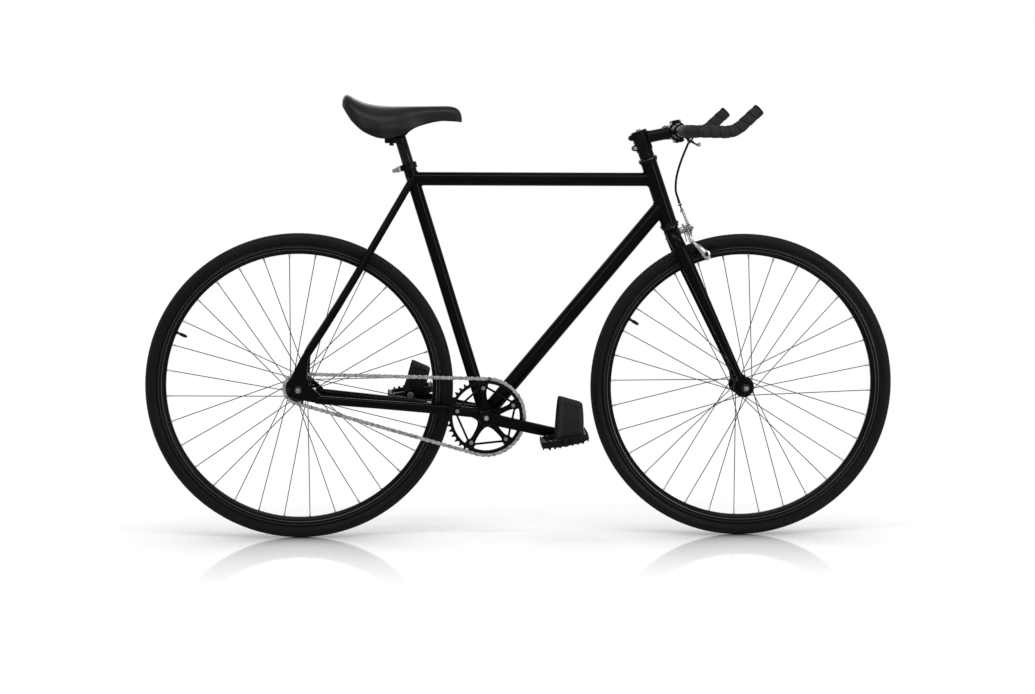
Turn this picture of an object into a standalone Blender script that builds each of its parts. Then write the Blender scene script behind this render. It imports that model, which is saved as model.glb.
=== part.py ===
"""Fixed gear bicycle, modelled piece by piece in metres.

X points forward, Y to the rider's left and Z up. The origin is on the ground,
midway between the two axles. The drive side faces -Y.
"""
import math

import bmesh
import bpy
from mathutils import Matrix, Vector
from mathutils.geometry import tessellate_polygon

# Gaps between pieces
GAP = 0.0003
WHEEL_END_GAP = 0.0006

# Facet counts
WHEEL_SEGMENTS = 32
INNER_TUBE_SEGMENTS = 20
INNER_TUBE_SIDES = 5
TUBE_SIDES = 16
STAY_SIDES = 10
TURNED_SEGMENTS = 12
BAR_SIDES = 8
CORD_RESOLUTION = 2
SADDLE_STEPS = 8

# Clean-up after joining and cutting
WELD_DISTANCE = 0.000002
FLAT_ANGLE = math.radians(0.05)

# Wheels
TYRE_RADIUS = 0.339
TYRE_WIDTH = 0.028
TYRE_WALL = 0.0028
TYRE_HEIGHT = 0.025
RIM_DEPTH = 0.021
RIM_EDGE_RADIUS = TYRE_RADIUS - TYRE_HEIGHT
RIM_INNER_RADIUS = RIM_EDGE_RADIUS - RIM_DEPTH
RIM_WIDTH = 0.022
RIM_WALL = 0.0018
RIM_BED_DEPTH = 0.008
RIM_BRAKE_TRACK = 0.012
RIM_NOSE_WIDTH = 0.008
BEAD_DEPTH = 0.0055
INNER_TUBE_RADIUS = 0.0075
SPOKE_COUNT = 32
SPOKE_CROSSES = 3
SPOKE_RADIUS = 0.00115
SPOKE_HEAD_OFFSET = 0.00042
FRONT_SPOKE_ANGLE = 87.7
REAR_SPOKE_ANGLE = 94.0
VALVE_HOLE_STEPS = 5.5
VALVE_RADIUS = 0.004
VALVE_REACH = 0.024

# Hubs and axles
FLANGE_RADIUS = 0.023
FLANGE_THICKNESS = 0.0032
SPOKE_CIRCLE_RADIUS = 0.0195
HUB_BARREL_RADIUS = 0.014
HUB_BORE_RADIUS = 0.009
HUB_END_RADIUS = 0.012
FRONT_FLANGE_OFFSET = 0.0345
FRONT_HUB_HALF = 0.043
FRONT_OVER_LOCKNUT = 0.100
FRONT_AXLE_RADIUS = 0.0045
REAR_FLANGE_OFFSET = 0.030
REAR_HUB_HALF = 0.049
REAR_OVER_LOCKNUT = 0.120
REAR_AXLE_RADIUS = 0.005
COG_SEAT_RADIUS = 0.017
LOCKRING_SEAT_RADIUS = 0.0150
LOCKRING_RADIUS = 0.021
LOCKRING_WIDTH = 0.004
AXLE_NUT_RADIUS = 0.0095
AXLE_NUT_WIDTH = 0.008
AXLE_END = 0.0065
FORK_TIP_THICKNESS = 0.0055
TRACK_END_THICKNESS = 0.006

# Chain drive
CHAIN_PITCH = 0.0127
RING_TEETH = 42
COG_TEETH = 16
CHAINSTAY_CLEARANCE = 0.077
CHAINSTAY_LENGTH = TYRE_RADIUS + CHAINSTAY_CLEARANCE
CHAIN_LINE = 0.042
TOOTH_THICKNESS = 0.0028
TOOTH_HEIGHT = 0.0034
TOOTH_ROOT_DEPTH = 0.0046
TOOTH_ROOT_HALF = 0.0027
ROLLER_HALF_LENGTH = 0.0037
LINK_HALF_HEIGHT = 0.0042
LINK_WAIST_HALF = 0.0029
INNER_PLATE_FACE = 0.00165
PLATE_THICKNESS = 0.0013

# Crankset
BOLT_CIRCLE_RADIUS = 0.065
RING_INNER_RADIUS = 0.074
RING_BAR_WIDTH = 0.005
RING_TAB_RADIUS = 0.009
SPIDER_THICKNESS = 0.005
SPIDER_TIP_RADIUS = 0.0075
SPIDER_WEB_RADIUS = 0.030
CRANK_LENGTH = 0.170
CRANK_ANGLE = -12.2
CRANK_THICKNESS = 0.012
CRANK_FLARE = 0.010
CRANK_BOSS_RADIUS = 0.018
CRANK_ARM_HALF = 0.0125
CRANK_END_HALF = 0.0115
CRANK_EYE_RADIUS = 0.014
CRANK_INNER_FACE = 0.0525
SPINDLE_RADIUS = 0.0085
SPINDLE_SQUARE = 0.0125
CRANK_BOLT_RADIUS = 0.0075
CRANK_BOLT_POCKET = 0.010
PEDAL_SPINDLE_RADIUS = 0.005
PEDAL_THREAD_RADIUS = 0.007

# Frame
BOTTOM_BRACKET_DROP = 0.064
DOWN_TUBE_CLEARANCE = 0.234
FRONT_CENTRE = TYRE_RADIUS + DOWN_TUBE_CLEARANCE
HEAD_ANGLE = 71.0
SEAT_ANGLE = 72.9
HEAD_TUBE_LENGTH = 0.139
SEAT_TUBE_RISE = 0.0315
HEAD_TUBE_DIAMETER = 0.036
HEAD_TUBE_BORE = 0.034
TOP_TUBE_DIAMETER = 0.030
DOWN_TUBE_DIAMETER = 0.034
SEAT_TUBE_DIAMETER = 0.0286
SEAT_TUBE_BORE_DEPTH = 0.180
TOP_TUBE_DROP = 0.0365
DOWN_TUBE_RISE = 0.042
SHELL_DIAMETER = 0.040
SHELL_BORE = 0.034
SHELL_WIDTH = 0.068
SEAT_STAY_DIAMETER = 0.016
SEAT_STAY_SPREAD = 0.0155
CHAIN_STAY_HALF_WIDTH = 0.0085
CHAIN_STAY_HALF_HEIGHT = 0.011
CHAIN_STAY_END_RADIUS = 0.008
CHAIN_STAY_SPREAD = 0.0235
CHAIN_STAY_RISE = 0.0064
BRIDGE_DIAMETER = 0.013

# Fork
FORK_RAKE = 0.0405
CROWN_CLEARANCE = 0.0465
AXLE_TO_CROWN = TYRE_RADIUS + CROWN_CLEARANCE
STEERER_DIAMETER = 0.0286
STEERER_BORE = 0.022
STEERER_BORE_DEPTH = 0.070
CROWN_BOSS_DIAMETER = 0.034
CROWN_BOSS_DEPTH = 0.022
BLADE_SPREAD = 0.0335
BLADE_TOP_HALF_DEPTH = 0.0150
BLADE_TOP_OFFSET = -0.001
BLADE_TOP_HALF_WIDTH = 0.0095
BLADE_TIP_RADIUS = 0.0065

# Headset, from the head tube's ends outwards
LOWER_STACK = 0.013
CUP_FLANGE_RADIUS = 0.0213
CUP_DEPTH = 0.008
CUP_INSERT_DEPTH = 0.010
BEARING_RADIUS = 0.0188
BEARING_HEIGHT = 0.0042
SPACER_RADIUS = 0.0166
SPACER_BOTTOM = 0.0133
SPACER_TOP = 0.0277

# Stem
STEM_CLAMP_BOTTOM = 0.028
STEM_CLAMP_TOP = 0.070
STEM_CLAMP_RADIUS = 0.0185
STEM_AXIS_HEIGHT = 0.0567
STEM_LENGTH = 0.080
STEM_DROP_ANGLE = 7.7
STEM_TUBE_RADIUS = 0.0132
STEM_BAR_CLAMP_RADIUS = 0.0205
STEM_BAR_CLAMP_WIDTH = 0.044
STEM_EAR_HALF_HEIGHT = 0.025
STEM_EAR_DEPTH = 0.009
PINCH_LOBE_RADIUS = 0.0066
PINCH_LOBE_OFFSET = 0.0198
PINCH_LOBE_HEIGHTS = (0.0401, 0.0640)
PINCH_LOBE_HALF_WIDTH = 0.010
STEM_CAP_HEIGHT = 0.004
PRELOAD_SHAFT_RADIUS = 0.003
STAR_NUT_DEPTH = 0.030

# Handlebar and tape
BAR_CLAMP_RADIUS = 0.0159
BAR_RADIUS = 0.0111
BAR_TILT = 1.2
BAR_HALF_WIDTH = 0.216
BAR_BEND_RADIUS = 0.040
BAR_FLAT_REACH = 0.093
BAR_HORN_ANGLE = 44.0
BAR_HORN_BEND_RADIUS = 0.050
BAR_HORN_LENGTH = 0.0485
TAPE_START = 0.115
TAPE_THICKNESS = 0.0015
TAPE_RIDGE = 0.0007
TAPE_LEAD = 0.020
TAPE_RINGS = 22
PLUG_RADIUS = 0.0131
PLUG_BORE_RADIUS = 0.0092
PLUG_DEPTH = 0.020

# Brake lever on the bar
LEVER_CLAMP_OFFSET = 0.058
LEVER_CLAMP_WIDTH = 0.012
LEVER_CLAMP_WALL = 0.0036
LEVER_PIVOT_FORWARD = 0.0235
LEVER_PIVOT_DROP = 0.0185
LEVER_AXIS_TILT = 60.0
LEVER_BOSS_RADIUS = 0.0062
LEVER_LUG_HALF = 0.0062
LEVER_EYE_HALF = 0.0025
LEVER_LENGTH = 0.088
LEVER_PIN_RADIUS = 0.0025
HOUSING_RADIUS = 0.0025
WIRE_RADIUS = 0.0009

# Front caliper, measured along the steering axis from the head tube's top
CALIPER_BELOW_CROWN = 0.013
CALIPER_HEIGHT = -(HEAD_TUBE_LENGTH + LOWER_STACK + CALIPER_BELOW_CROWN)
CALIPER_FRONT_ARM = 0.0405
CALIPER_REAR_ARM = 0.0335
CALIPER_ARM_HALF = 0.0029
CALIPER_STOP = (0.034, CALIPER_HEIGHT + 0.0405)
CALIPER_ANCHOR = (0.034, CALIPER_HEIGHT - 0.0120)
CALIPER_BOLT_RADIUS = 0.003
CALIPER_NUT_RADIUS = 0.0045
CALIPER_NUT_DEPTH = 0.006
PAD_ANGLE = 106.4
PAD_TRACK_DEPTH = 0.0065
PAD_TRACK_RADIUS = RIM_EDGE_RADIUS - PAD_TRACK_DEPTH
PAD_LENGTH = 0.050
PAD_HEIGHT = 0.009
PAD_THICKNESS = 0.008
PAD_CLEARANCE = 0.0025

# Saddle and seat post
SEAT_POST_DIAMETER = 0.0254
SEAT_POST_INSERTION = 0.090
SEAT_POST_TOP = 0.0575
COLLAR_HEIGHT = 0.014
COLLAR_RADIUS = 0.0178
COLLAR_RECESS = 0.010
SADDLE_LENGTH = 0.260
SADDLE_HALF_WIDTH = 0.074
SADDLE_REAR_BEHIND_POST = 0.1265
SADDLE_TOP_ABOVE_POST = 0.081
SADDLE_DROP = 0.0855
SADDLE_CROWN_RISE = 0.0065
SADDLE_PADDING = 0.010
SADDLE_BASE_INSET = 0.0125
SADDLE_BASE_WALL = 0.0035
RAIL_RADIUS = 0.0035
RAIL_SPREAD = 0.022
RAIL_HEIGHT = 0.008
RAIL_BED = (-0.050, 0.012)
RAIL_CLAMP_BOLT = 0.020

# Pedals
PEDAL_LENGTH = 0.104
PEDAL_WIDTH = 0.090
PEDAL_HALF_THICKNESS = 0.0085
PEDAL_BARREL_RADIUS = 0.0115
PEDAL_GAP_TO_CRANK = 0.008
PEDAL_PITCH = 11.0
PEDAL_FRAME_WIDTH = 0.010
STRAP_THICKNESS = 0.0025
RIGHT_STRAP_HEIGHT = 0.080
LEFT_STRAP_HEIGHT = 0.056
RIGHT_STRAP_EDGES = ((-0.018, 0.005, 0.156), (0.034, 0.052, -0.145))
LEFT_STRAP_EDGES = ((-0.020, 0.017, 0.220), (0.034, 0.054, -0.240))

# Directions
LEFT = Vector((0.0, 1.0, 0.0))
RIGHT = Vector((0.0, -1.0, 0.0))
LEVEL = Vector((1.0, 0.0, 0.0))
HEAD_UP = Vector((-math.cos(math.radians(HEAD_ANGLE)), 0.0, math.sin(math.radians(HEAD_ANGLE))))
HEAD_FORWARD = Vector((HEAD_UP.z, 0.0, -HEAD_UP.x))
SEAT_UP = Vector((-math.cos(math.radians(SEAT_ANGLE)), 0.0, math.sin(math.radians(SEAT_ANGLE))))
SEAT_FORWARD = Vector((SEAT_UP.z, 0.0, -SEAT_UP.x))


def polar(degrees, radius=1.0):
    """A vector in the plane of the wheels, turned up from straight ahead."""
    angle = math.radians(degrees)
    return Vector((math.cos(angle), 0.0, math.sin(angle))) * radius


# Chain drive layout
RING_RADIUS = CHAIN_PITCH / (2.0 * math.sin(math.pi / RING_TEETH))
COG_RADIUS = CHAIN_PITCH / (2.0 * math.sin(math.pi / COG_TEETH))
CHAIN_SLOPE = math.asin((RING_RADIUS - COG_RADIUS) / CHAINSTAY_LENGTH)
RING_WRAP = math.floor(RING_TEETH * (0.5 + CHAIN_SLOPE / math.pi))
COG_WRAP = math.floor(COG_TEETH * (0.5 - CHAIN_SLOPE / math.pi))
RING_SPAN = math.pi * RING_WRAP / RING_TEETH
COG_SPAN = math.pi * COG_WRAP / COG_TEETH
SPAN_SHIFT = RING_RADIUS * math.cos(RING_SPAN) + COG_RADIUS * math.cos(COG_SPAN)
SPAN_RISE = RING_RADIUS * math.sin(RING_SPAN) - COG_RADIUS * math.sin(COG_SPAN)
RUN_LINKS = round(math.hypot(CHAINSTAY_LENGTH + SPAN_SHIFT, SPAN_RISE) / CHAIN_PITCH)
AXLE_SPACING = math.sqrt((RUN_LINKS * CHAIN_PITCH) ** 2 - SPAN_RISE ** 2) - SPAN_SHIFT
CHAIN_LINKS = RING_WRAP + COG_WRAP + 2 * RUN_LINKS

# Main points
REAR_CENTRE = math.sqrt(AXLE_SPACING ** 2 - BOTTOM_BRACKET_DROP ** 2)
WHEELBASE = REAR_CENTRE + FRONT_CENTRE
REAR_AXLE = Vector((-WHEELBASE / 2.0, 0.0, TYRE_RADIUS))
FRONT_AXLE = Vector((WHEELBASE / 2.0, 0.0, TYRE_RADIUS))
BOTTOM_BRACKET = REAR_AXLE + Vector((REAR_CENTRE, 0.0, -BOTTOM_BRACKET_DROP))
CROWN = FRONT_AXLE - HEAD_FORWARD * FORK_RAKE + HEAD_UP * AXLE_TO_CROWN
HEAD_BOTTOM = CROWN + HEAD_UP * LOWER_STACK
HEAD_TOP = HEAD_BOTTOM + HEAD_UP * HEAD_TUBE_LENGTH
TOP_TUBE_HEIGHT = HEAD_TOP.z - TOP_TUBE_DROP
SEAT_TUBE_LENGTH = (TOP_TUBE_HEIGHT - BOTTOM_BRACKET.z) / SEAT_UP.z + SEAT_TUBE_RISE
SEAT_TOP = BOTTOM_BRACKET + SEAT_UP * SEAT_TUBE_LENGTH
STEM_FORWARD = (HEAD_FORWARD * math.cos(math.radians(STEM_DROP_ANGLE))
                - HEAD_UP * math.sin(math.radians(STEM_DROP_ANGLE)))
STEM_UP = Vector((-STEM_FORWARD.z, 0.0, STEM_FORWARD.x))
STEM_ROOT = HEAD_TOP + HEAD_UP * STEM_AXIS_HEIGHT
BAR_CENTRE = STEM_ROOT + STEM_FORWARD * STEM_LENGTH
BLADE_DIRECTION = (CROWN - HEAD_UP * 0.010 + HEAD_FORWARD * BLADE_TOP_OFFSET - FRONT_AXLE).normalized()
CRANK_DIRECTION = polar(CRANK_ANGLE)
CRANK_SIDE = Vector((-CRANK_DIRECTION.z, 0.0, CRANK_DIRECTION.x))
PEDAL_FORWARD = polar(PEDAL_PITCH)
PEDAL_UP = Vector((-PEDAL_FORWARD.z, 0.0, PEDAL_FORWARD.x))
SADDLE_ORIGIN = SEAT_TOP + SEAT_UP * SEAT_POST_TOP


def clear_scene():
    """Start from an empty scene."""
    for thing in list(bpy.data.objects):
        bpy.data.objects.remove(thing, do_unlink=True)


def finish_of(name, colour, roughness, metallic=0.0):
    """One plain surface finish."""
    surface = bpy.data.materials.new(name)
    surface.use_nodes = True
    shader = surface.node_tree.nodes["Principled BSDF"]
    shader.inputs["Base Color"].default_value = (*colour, 1.0)
    shader.inputs["Roughness"].default_value = roughness
    shader.inputs["Metallic"].default_value = metallic
    return surface


def pivot_at(name, place, parent=None):
    """An empty on a joint's axis, which the moving pieces hang from."""
    empty = bpy.data.objects.new(name, None)
    bpy.context.scene.collection.objects.link(empty)
    base = parent["place"] if parent else Vector()
    empty.parent = parent["object"] if parent else None
    empty.location = place - base
    return {"object": empty, "place": place.copy()}


def solid(points, faces):
    """A closed body from points and faces, with its faces turned outwards."""
    mesh = bpy.data.meshes.new("solid")
    work = bmesh.new()
    corners = [work.verts.new(point) for point in points]
    for face in faces:
        work.faces.new([corners[index] for index in face])
    bmesh.ops.recalc_face_normals(work, faces=work.faces)
    work.to_mesh(mesh)
    work.free()
    body = bpy.data.objects.new("solid", mesh)
    bpy.context.scene.collection.objects.link(body)
    return body


def retouch(mesh, flatten=False):
    """Weld stray doubles and split faces into triangles, or melt flat areas together."""
    work = bmesh.new()
    work.from_mesh(mesh)
    bmesh.ops.remove_doubles(work, verts=work.verts, dist=WELD_DISTANCE)
    bmesh.ops.dissolve_degenerate(work, edges=work.edges, dist=WELD_DISTANCE)
    bmesh.ops.triangulate(work, faces=work.faces)
    if flatten:
        bmesh.ops.dissolve_limit(work, angle_limit=FLAT_ANGLE, verts=work.verts, edges=work.edges)
        loose = [edge for edge in work.edges if not edge.link_faces]
        bmesh.ops.delete(work, geom=loose, context="EDGES")
        bmesh.ops.triangulate(work, faces=work.faces)
    work.to_mesh(mesh)
    work.free()


def combine(body, tools, operation):
    """Join other solids to a body or cut them from it."""
    retouch(body.data)
    for tool in tools:
        retouch(tool.data)
        modifier = body.modifiers.new(operation, "BOOLEAN")
        modifier.operation = operation
        modifier.solver = "EXACT"
        modifier.object = tool
        bpy.context.view_layer.update()
        graph = bpy.context.evaluated_depsgraph_get()
        mesh = bpy.data.meshes.new_from_object(body.evaluated_get(graph))
        body.modifiers.clear()
        body.data = mesh
        retouch(body.data, flatten=True)
        bpy.data.objects.remove(tool, do_unlink=True)
    return body


def join(body, *tools):
    """Weld solids into one body."""
    return combine(body, tools, "UNION")


def cut(body, *tools):
    """Take solids away from a body."""
    return combine(body, tools, "DIFFERENCE")


def piece(name, body, finish, pivot=None, sharp=38.0):
    """Name a finished solid, give it its surface and hang it on its pivot."""
    body.name = name
    body.data.name = name
    body.data.materials.clear()
    body.data.materials.append(finish)
    body.data.shade_smooth()
    body.data.set_sharp_from_angle(angle=math.radians(sharp))
    if pivot:
        body.data.transform(Matrix.Translation(-pivot["place"]))
        body.parent = pivot["object"]
    return body


def cross_reference(axis):
    """A fixed direction square to an axis, so that coaxial pieces share their facets."""
    guide = LEVEL if abs(axis.y) > 0.9 else LEFT
    return (guide - axis * guide.dot(axis)).normalized()


def turned(outline, origin, axis, segments=TURNED_SEGMENTS):
    """Turn a closed outline of (distance along, radius) points about an axis."""
    axis = axis.normalized()
    across = cross_reference(axis)
    other = axis.cross(across)
    points = []
    rings = []
    for along, radius in outline:
        if radius == 0.0:
            rings.append([len(points)] * segments)
            points.append(origin + axis * along)
            continue
        rings.append(list(range(len(points), len(points) + segments)))
        for step in range(segments):
            angle = 2.0 * math.pi * step / segments
            spoke = across * math.cos(angle) + other * math.sin(angle)
            points.append(origin + axis * along + spoke * radius)
    faces = []
    for index, ring in enumerate(rings):
        following = rings[(index + 1) % len(rings)]
        for step in range(segments):
            after = (step + 1) % segments
            corners = [ring[step], ring[after], following[after], following[step]]
            face = list(dict.fromkeys(corners))
            if len(face) > 2:
                faces.append(face)
    return solid(points, faces)


def cylinder(start, end, radius, sides=TURNED_SEGMENTS):
    """A plain round bar between two points."""
    length = (end - start).length
    outline = [(0.0, 0.0), (0.0, radius), (length, radius), (length, 0.0)]
    return turned(outline, start, end - start, sides)


def loft(rings):
    """Skin a row of like rings and close both ends."""
    count = len(rings[0])
    points = [point for ring in rings for point in ring]
    faces = [list(range(count)), list(range(len(points) - count, len(points)))]
    for row in range(len(rings) - 1):
        for step in range(count):
            after = (step + 1) % count
            low = row * count
            high = low + count
            faces.append([low + step, low + after, high + after, high + step])
    return solid(points, faces)


def path_rings(points, radii, sides, guide):
    """Oval rings along a path; each radius is one number or (along the guide, across it)."""
    rings = []
    last = len(points) - 1
    for index, point in enumerate(points):
        before = points[max(index - 1, 0)]
        after = points[min(index + 1, last)]
        heading = Vector()
        if index > 0:
            heading += (point - before).normalized()
        if index < last:
            heading += (after - point).normalized()
        heading.normalize()
        guide = (guide - heading * guide.dot(heading)).normalized()
        other = heading.cross(guide)
        radius = radii[index]
        along, across = radius if isinstance(radius, tuple) else (radius, radius)
        ring = []
        for step in range(sides):
            angle = 2.0 * math.pi * step / sides
            ring.append(point + guide * along * math.cos(angle) + other * across * math.sin(angle))
        rings.append(ring)
    return rings


def swept(points, radii, sides, guide):
    """A bar of changing oval section along a path."""
    return loft(path_rings(points, radii, sides, guide))


def plate(loops, origin, along, up, thickness):
    """Extrude a flat outline, with any holes, along the normal of its plane."""
    normal = along.cross(up).normalized()
    flat = [[Vector((x, y, 0.0)) for x, y in loop] for loop in loops]
    triangles = tessellate_polygon(flat)
    count = sum(len(loop) for loop in loops)
    points = []
    for offset in (0.0, thickness):
        for loop in loops:
            points += [origin + along * x + up * y + normal * offset for x, y in loop]
    faces = [list(triangle) for triangle in triangles]
    faces += [[index + count for index in triangle] for triangle in triangles]
    start = 0
    for loop in loops:
        for step in range(len(loop)):
            low = start + step
            high = start + (step + 1) % len(loop)
            faces.append([low, high, high + count, low + count])
        start += len(loop)
    return solid(points, faces)


def block(centre, along, across, up, size):
    """A box with its own directions and its three sizes."""
    half = [value / 2.0 for value in size]
    outline = [(-half[0], -half[1]), (half[0], -half[1]), (half[0], half[1]), (-half[0], half[1])]
    origin = centre - along.cross(across).normalized() * half[2]
    return plate([outline], origin, along, across, size[2])


def arc_points(centre, radius, start, end, steps):
    """Points of a flat arc, from one angle to another in degrees."""
    points = []
    for step in range(steps + 1):
        angle = math.radians(start + (end - start) * step / steps)
        points.append((centre[0] + radius * math.cos(angle), centre[1] + radius * math.sin(angle)))
    return points


def steer(forward, left, up):
    """A point measured from the head tube's top, square to the steering axis."""
    return HEAD_TOP + HEAD_FORWARD * forward + LEFT * left + HEAD_UP * up


def bar_point(forward, left, up):
    """A point measured level and upright from the bar's centre."""
    return BAR_CENTRE + Vector((forward, left, up))


def welded_frame():
    """All the tubes of the frame in one weld, bored for the bearings and the seat post."""
    seat_junction = SEAT_TOP + SEAT_UP * ((TOP_TUBE_HEIGHT - SEAT_TOP.z) / SEAT_UP.z)
    head_junction = HEAD_TOP + HEAD_UP * ((TOP_TUBE_HEIGHT - HEAD_TOP.z) / HEAD_UP.z)
    down_junction = HEAD_BOTTOM + HEAD_UP * DOWN_TUBE_RISE
    half_shell = LEFT * SHELL_WIDTH / 2.0
    body = cylinder(BOTTOM_BRACKET - half_shell, BOTTOM_BRACKET + half_shell,
                    SHELL_DIAMETER / 2.0, TUBE_SIDES)
    body = join(
        body,
        cylinder(BOTTOM_BRACKET, down_junction, DOWN_TUBE_DIAMETER / 2.0, TUBE_SIDES),
        cylinder(HEAD_BOTTOM, HEAD_TOP, HEAD_TUBE_DIAMETER / 2.0, TUBE_SIDES),
        cylinder(seat_junction, head_junction, TOP_TUBE_DIAMETER / 2.0, TUBE_SIDES),
        cylinder(BOTTOM_BRACKET, SEAT_TOP, SEAT_TUBE_DIAMETER / 2.0, TUBE_SIDES),
    )
    for side in (-1.0, 1.0):
        body = join(body, chain_stay(side), track_end(side), seat_stay(side, seat_junction))
    body = join(body, stay_bridge(seat_junction), shell_bridge())
    bore_end = HEAD_UP * 0.001
    body = cut(
        body,
        cylinder(HEAD_BOTTOM - bore_end, HEAD_TOP + bore_end, HEAD_TUBE_BORE / 2.0, TUBE_SIDES),
        cylinder(SEAT_TOP - SEAT_UP * SEAT_TUBE_BORE_DEPTH, SEAT_TOP + SEAT_UP * 0.001,
                 SEAT_POST_DIAMETER / 2.0 + GAP, TUBE_SIDES),
        cylinder(BOTTOM_BRACKET - half_shell * 1.1, BOTTOM_BRACKET + half_shell * 1.1,
                 SHELL_BORE / 2.0, TUBE_SIDES),
    )
    return body


def track_end_middle(side):
    """Where a rear track end's plate lies across the frame."""
    return side * (REAR_OVER_LOCKNUT + TRACK_END_THICKNESS) / 2.0


def chain_stay(side):
    """An oval stay that runs past the toothed ring, then spreads to the axle."""
    start = BOTTOM_BRACKET + Vector((-0.006, side * CHAIN_STAY_SPREAD, CHAIN_STAY_RISE))
    end = REAR_AXLE + Vector((0.038, track_end_middle(side), -0.0245))
    bend_at = RING_RADIUS + 0.007
    share = bend_at / (start.x - end.x)
    bend = start.lerp(end, share)
    bend.y = side * (CHAIN_LINE - TOOTH_THICKNESS - 0.0022 - CHAIN_STAY_HALF_WIDTH)
    points = [start, bend, bend.lerp(end, 0.5), end]
    wide = (CHAIN_STAY_HALF_WIDTH, CHAIN_STAY_HALF_HEIGHT)
    narrow = (CHAIN_STAY_END_RADIUS, CHAIN_STAY_END_RADIUS)
    middle = (CHAIN_STAY_HALF_WIDTH, (wide[1] + narrow[1]) / 2.0)
    return swept(points, [wide, wide, middle, narrow], STAY_SIDES, LEFT)


def seat_stay(side, junction):
    """A thin stay from the side of the seat tube down to the track end."""
    start = REAR_AXLE + Vector((-0.0045, track_end_middle(side), 0.024))
    end = junction + LEFT * side * SEAT_STAY_SPREAD
    tip = start.lerp(end, 0.06)
    radius = SEAT_STAY_DIAMETER / 2.0
    return swept([start, tip, end], [radius * 0.8, radius, radius], STAY_SIDES, LEFT)


def track_end(side):
    """A plate with a slot that opens to the rear, for the axle."""
    slot = REAR_AXLE_RADIUS + GAP
    outline = [
        (-0.026, slot), (-0.026, 0.014), (-0.015, 0.028), (0.004, 0.031), (0.016, 0.014),
        (0.034, -0.006), (0.047, -0.016), (0.044, -0.034), (0.020, -0.025), (-0.008, -0.016),
        (-0.026, -0.013), (-0.026, -slot), (0.010, -slot), (0.010 + slot * 0.8, 0.0), (0.010, slot),
    ]
    inner = side * REAR_OVER_LOCKNUT / 2.0
    start = inner if side < 0.0 else inner + TRACK_END_THICKNESS
    return plate([outline], REAR_AXLE + LEFT * start, LEVEL, Vector((0, 0, 1)), TRACK_END_THICKNESS)


def stay_bridge(junction):
    """A short tube between the seat stays, just clear of the tyre."""
    top = junction
    low = REAR_AXLE + Vector((-0.0045, 0.0, 0.024))
    direction = (top - low).normalized()
    centre = low + direction * (TYRE_RADIUS + 0.020)
    reach = LEFT * 0.034
    return cylinder(centre - reach, centre + reach, BRIDGE_DIAMETER / 2.0, STAY_SIDES)


def shell_bridge():
    """A short tube between the chain stays, behind the bottom bracket."""
    clear = REAR_AXLE.x + TYRE_RADIUS + 0.012
    centre = Vector((clear + BRIDGE_DIAMETER / 2.0, 0.0, BOTTOM_BRACKET.z + CHAIN_STAY_RISE + 0.003))
    reach = LEFT * CHAIN_STAY_SPREAD
    return cylinder(centre - reach, centre + reach, BRIDGE_DIAMETER / 2.0, STAY_SIDES)


def headset_cup(base, outward):
    """A pressed cup: a sleeve in the head tube and a pocket for the bearing."""
    sleeve = STEERER_DIAMETER / 2.0 + 2.0 * GAP
    pocket = BEARING_RADIUS + GAP
    outline = [
        (-CUP_INSERT_DEPTH, sleeve), (-CUP_INSERT_DEPTH, HEAD_TUBE_BORE / 2.0 - GAP),
        (GAP, HEAD_TUBE_BORE / 2.0 - GAP), (GAP, CUP_FLANGE_RADIUS),
        (CUP_DEPTH, CUP_FLANGE_RADIUS), (CUP_DEPTH, pocket),
        (CUP_DEPTH - BEARING_HEIGHT, pocket), (CUP_DEPTH - BEARING_HEIGHT, sleeve),
    ]
    return turned(outline, base, outward, TUBE_SIDES)


def headset_bearing(base, outward):
    """The cartridge bearing that sits in a cup's pocket."""
    low = CUP_DEPTH - BEARING_HEIGHT + GAP
    high = CUP_DEPTH + GAP
    bore = STEERER_DIAMETER / 2.0 + 3.0 * GAP
    radius = BEARING_RADIUS - GAP
    outline = [(low, bore), (low, radius), (high, radius), (high, bore)]
    return turned(outline, base, outward, TURNED_SEGMENTS)


def crown_race():
    """The ring on the fork crown that the lower bearing runs on."""
    bore = STEERER_DIAMETER / 2.0 + GAP
    low = GAP
    high = LOWER_STACK - CUP_DEPTH - 2.0 * GAP
    outline = [(low, bore), (low, 0.0195), (high - 0.0012, 0.0195), (high, 0.0180), (high, bore)]
    return turned(outline, CROWN, HEAD_UP, TUBE_SIDES)


def headset_cover():
    """The top cover that turns with the steerer."""
    bore = STEERER_DIAMETER / 2.0 + GAP
    low = CUP_DEPTH + 2.0 * GAP
    outline = [(low, bore), (low, CUP_FLANGE_RADIUS), (low + 0.0022, CUP_FLANGE_RADIUS),
               (SPACER_BOTTOM - GAP, SPACER_RADIUS), (SPACER_BOTTOM - GAP, bore)]
    return turned(outline, HEAD_TOP, HEAD_UP, TUBE_SIDES)


def headset_spacer():
    """The spacer between the headset and the stem."""
    bore = STEERER_DIAMETER / 2.0 + GAP
    outline = [(SPACER_BOTTOM, bore), (SPACER_BOTTOM, SPACER_RADIUS),
               (SPACER_TOP, SPACER_RADIUS), (SPACER_TOP, bore)]
    return turned(outline, HEAD_TOP, HEAD_UP, TUBE_SIDES)


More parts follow.
